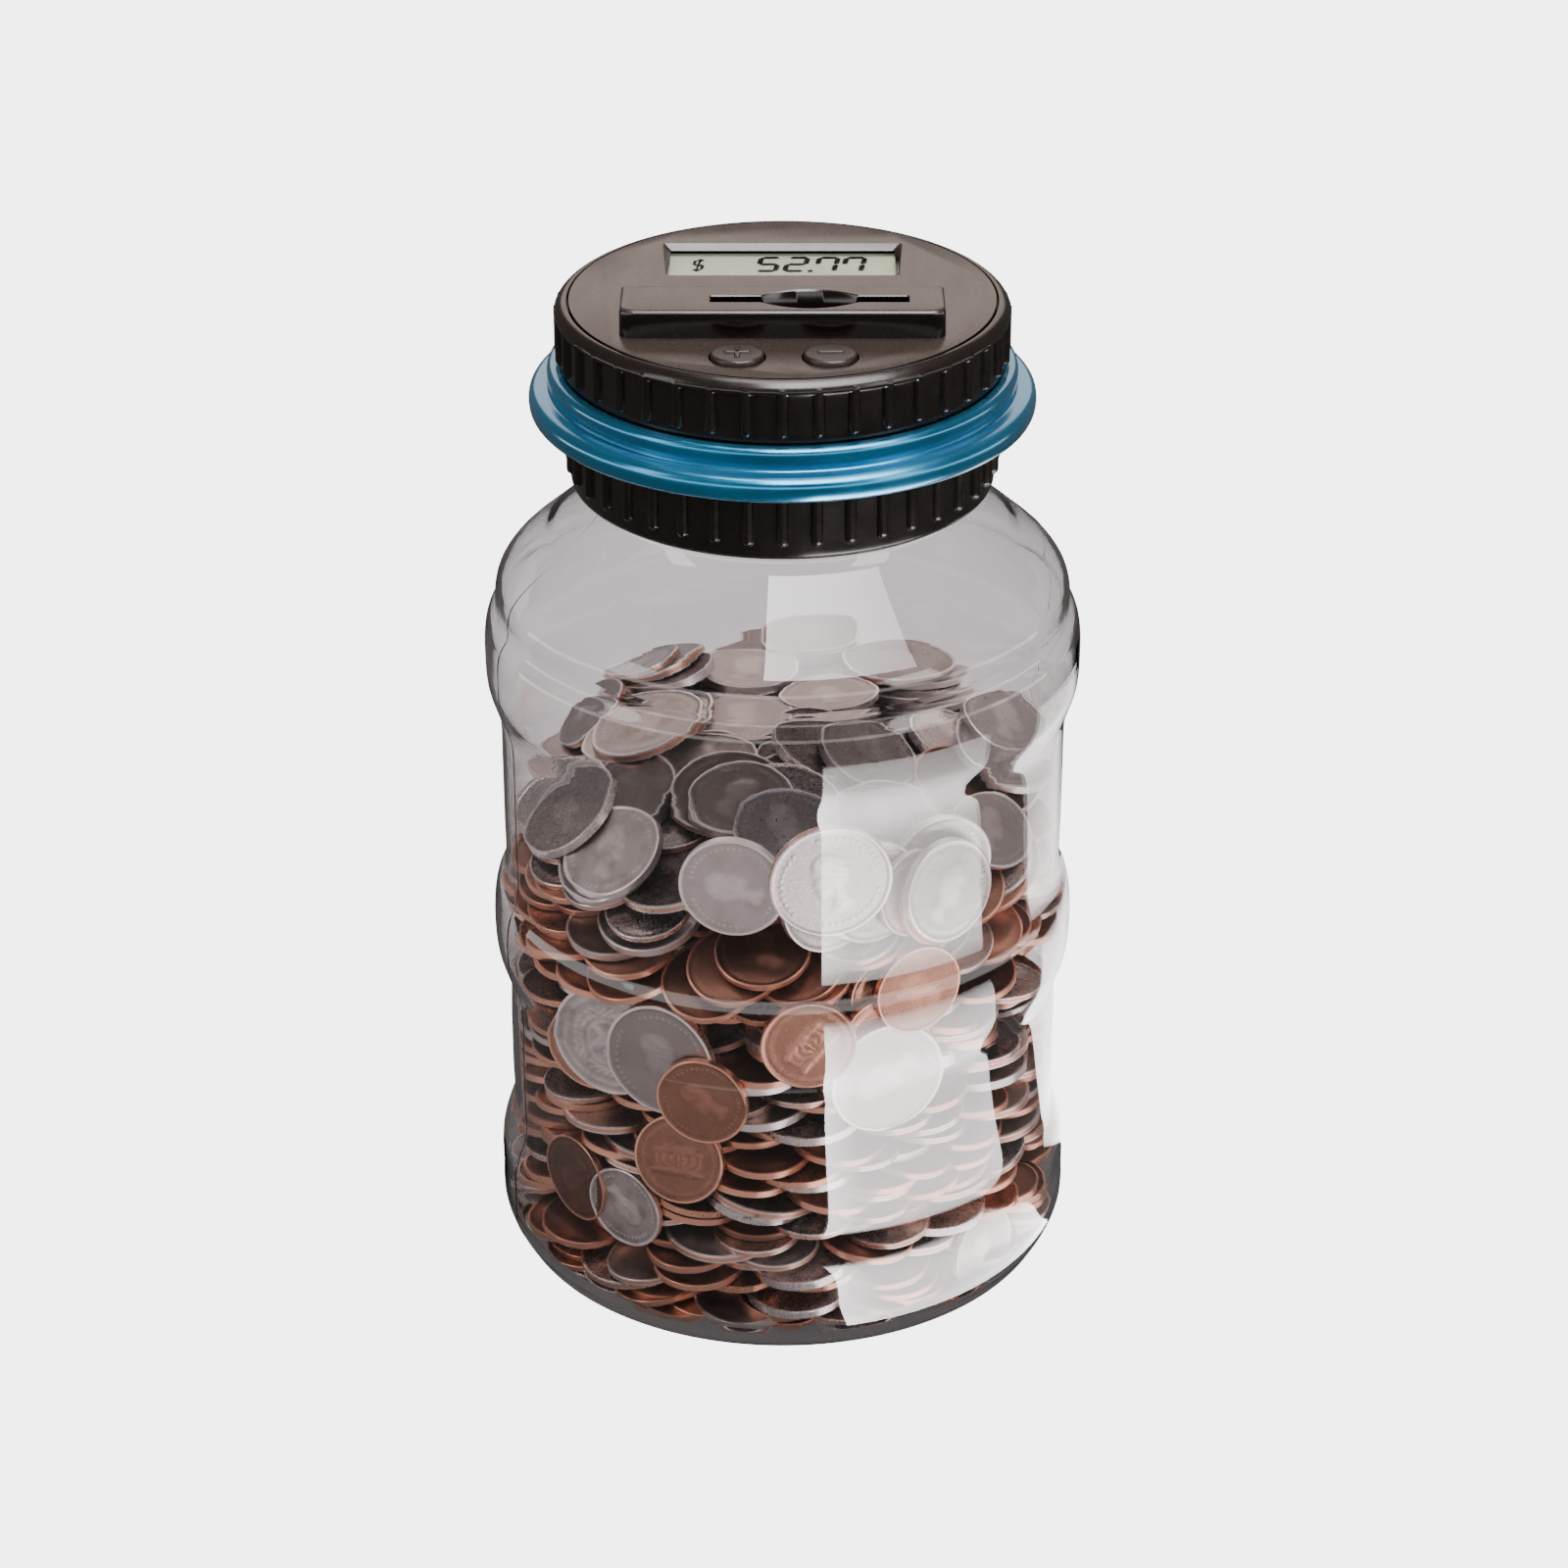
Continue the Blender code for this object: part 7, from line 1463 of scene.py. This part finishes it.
def panel(name, location, target, size, radiance, color=(1, 1, 1)):
    light = bpy.data.lights.new(name, "AREA")
    light.shape = "RECTANGLE"
    light.size, light.size_y = size
    light.energy = radiance * size[0] * size[1] * math.pi
    light.color = color
    ob = bpy.data.objects.new(name, light)
    ob.location = location
    ob.rotation_euler = (Vector(location) - Vector(target)).to_track_quat("Z", "Y").to_euler()
    ob.visible_camera = False
    bpy.context.scene.collection.objects.link(ob)
    return ob


MID = (0, 0, 0.12)
WARM = (1.0, 0.83, 0.755)
panel("back_window", (0.05, 2.1, 1.15), MID, (2.2, 1.1), 1.6, WARM)
panel("ceiling_panel", (0.1, 0.3, 2.2), MID, (1.1, 1.1), 7.5, (1.0, 0.93, 0.90))
panel("left_panel", (-1.7, -0.8, 1.1), MID, (0.5, 1.1), 4.0, (1.0, 0.97, 0.96))
panel("right_window", (1.5, -1.1, 1.0), MID, (0.7, 0.9), 4.5, (1.0, 0.96, 0.94))


def card(name, rings, headings, glow, face=None, through=0.0, near=0.0, far=9.0):
    """Bright sheet that mirrors itself in the glossy wall, as a window does.

    rings are distances from the jar's axis; glow gives the radiance at each ring and heading,
    `through` is what the coins behind the wall mirror of it, and it only reaches what is between
    near and far metres away."""
    m, n = new_material(name)
    tag = n.add("Attribute", attribute_name="glow")
    strength = tag.outputs["Fac"]
    path = n.add("LightPath")
    span = path.outputs["Ray Length"]
    if through:
        inside = path.outputs["Is Transmission Ray"]
        strength = n.math("ADD", n.math("MULTIPLY", inside, through),
                          n.math("MULTIPLY", n.math("SUBTRACT", 1.0, inside), strength))
    if far < 9.0:
        gate = n.math("MULTIPLY", n.math("GREATER_THAN", span, near), n.math("LESS_THAN", span, far))
        strength = n.math("MULTIPLY", strength, gate)
    n.out(n.add("Emission", {"Color": (1.0, 0.965, 0.955, 1.0),
                             "Strength": strength}).outputs["Emission"])
    verts, tags, faces = [], [], []
    for a in headings:
        for r in rings:
            p = (r * math.sin(rad(a)), -r * math.cos(rad(a)), 1.0) if face is None else face(a, r)
            verts.append(p)
            tags.append(glow(a, r))
    k = len(rings)
    for i in range(len(headings) - 1):
        for j in range(k - 1):
            faces.append((i * k + j, i * k + j + 1, (i + 1) * k + j + 1, (i + 1) * k + j))
    ob = to_object(name, np.array(verts), faces, m, None)
    at = ob.data.attributes.new("glow", "FLOAT", "POINT")
    at.data.foreach_set("value", np.array(tags, np.float32))
    ob.visible_camera = False
    ob.visible_diffuse = False
    ob.visible_transmission = bool(through)
    ob.visible_shadow = False
    return ob


def reach(r):
    return float(np.interp(r, [70, 150, 205, 250, 310, 350],
                           [1.0, 0.95, 0.80, 0.42, 0.24, 0.0]))


RINGS = [62.0, 120.0, 150.0, 205.0, 250.0, 310.0, 350.0]
card("window_wide", RINGS, list(np.linspace(14.0, 79.0, 27)),
     lambda a, r: reach(r) * float(np.interp(a, [14, 24, 79], [36.0, 21.0, 10.0])), None, 4.0, 0.0,
     0.305)
card("window_thin", RINGS, list(np.linspace(108.0, 152.0, 19)),
     lambda a, r: reach(r) * float(np.interp(a, [108, 152], [7.5, 1.8])), None, 2.0, 0.0, 0.305)
# the lit rim of the table round the jar draws a thin line along the lower edge of each band
card("table_rim", [64.0, 69.0, 76.0, 82.0], list(np.linspace(-110.0, 12.0, 50)),
     lambda a, r: 5.0 if 65 < r < 80 else 0.0, None, 0.0, 0.045, 0.16)


def mirrored(a, lift):
    """Where the eye ray goes after the wall at heading a whose normal rises by lift degrees."""
    d = Vector((0.0, math.cos(ELEV), -math.sin(ELEV)))
    n = Vector((math.cos(rad(lift)) * math.sin(rad(a)), -math.cos(rad(lift)) * math.cos(rad(a)),
                math.sin(rad(lift))))
    r = d - 2.0 * d.dot(n) * n
    return tuple(1400.0 * r + Vector((0.0, -40.0, 160.0)))


card("window_high", [40.0, 44.0, 49.0, 54.0, 58.0], list(np.linspace(-4.0, 29.0, 12)),
     lambda a, b: float(np.interp(a, [-4, 12, 29], [21.0, 17.0, 9.0])), mirrored)
# a long low strip behind the eye draws a thin line along the upper edge of each band
card("far_strip", [17.0, 18.5, 22.5, 24.0], list(np.linspace(-62.0, 62.0, 40)),
     lambda a, b: 3.6 if 18 < b < 23 else 0.0, mirrored)

world = bpy.data.worlds.new("studio")
bpy.context.scene.world = world
world.use_nodes = True
w = Nodes(world.node_tree)
sky = w.add("Background", {"Color": (1.0, 1.0, 0.995, 1.0), "Strength": PAPER})
far = w.add("Background", {"Color": (1.0, 0.965, 0.965, 1.0), "Strength": 0.46})
dark = w.add("Background", {"Color": (1.0, 0.93, 0.90, 1.0), "Strength": 0.10})
wo = w.add("OutputWorld")
w.link(ray_choice(w, sky.outputs["Background"], far.outputs["Background"],
                  dark.outputs["Background"]), wo.inputs["Surface"])
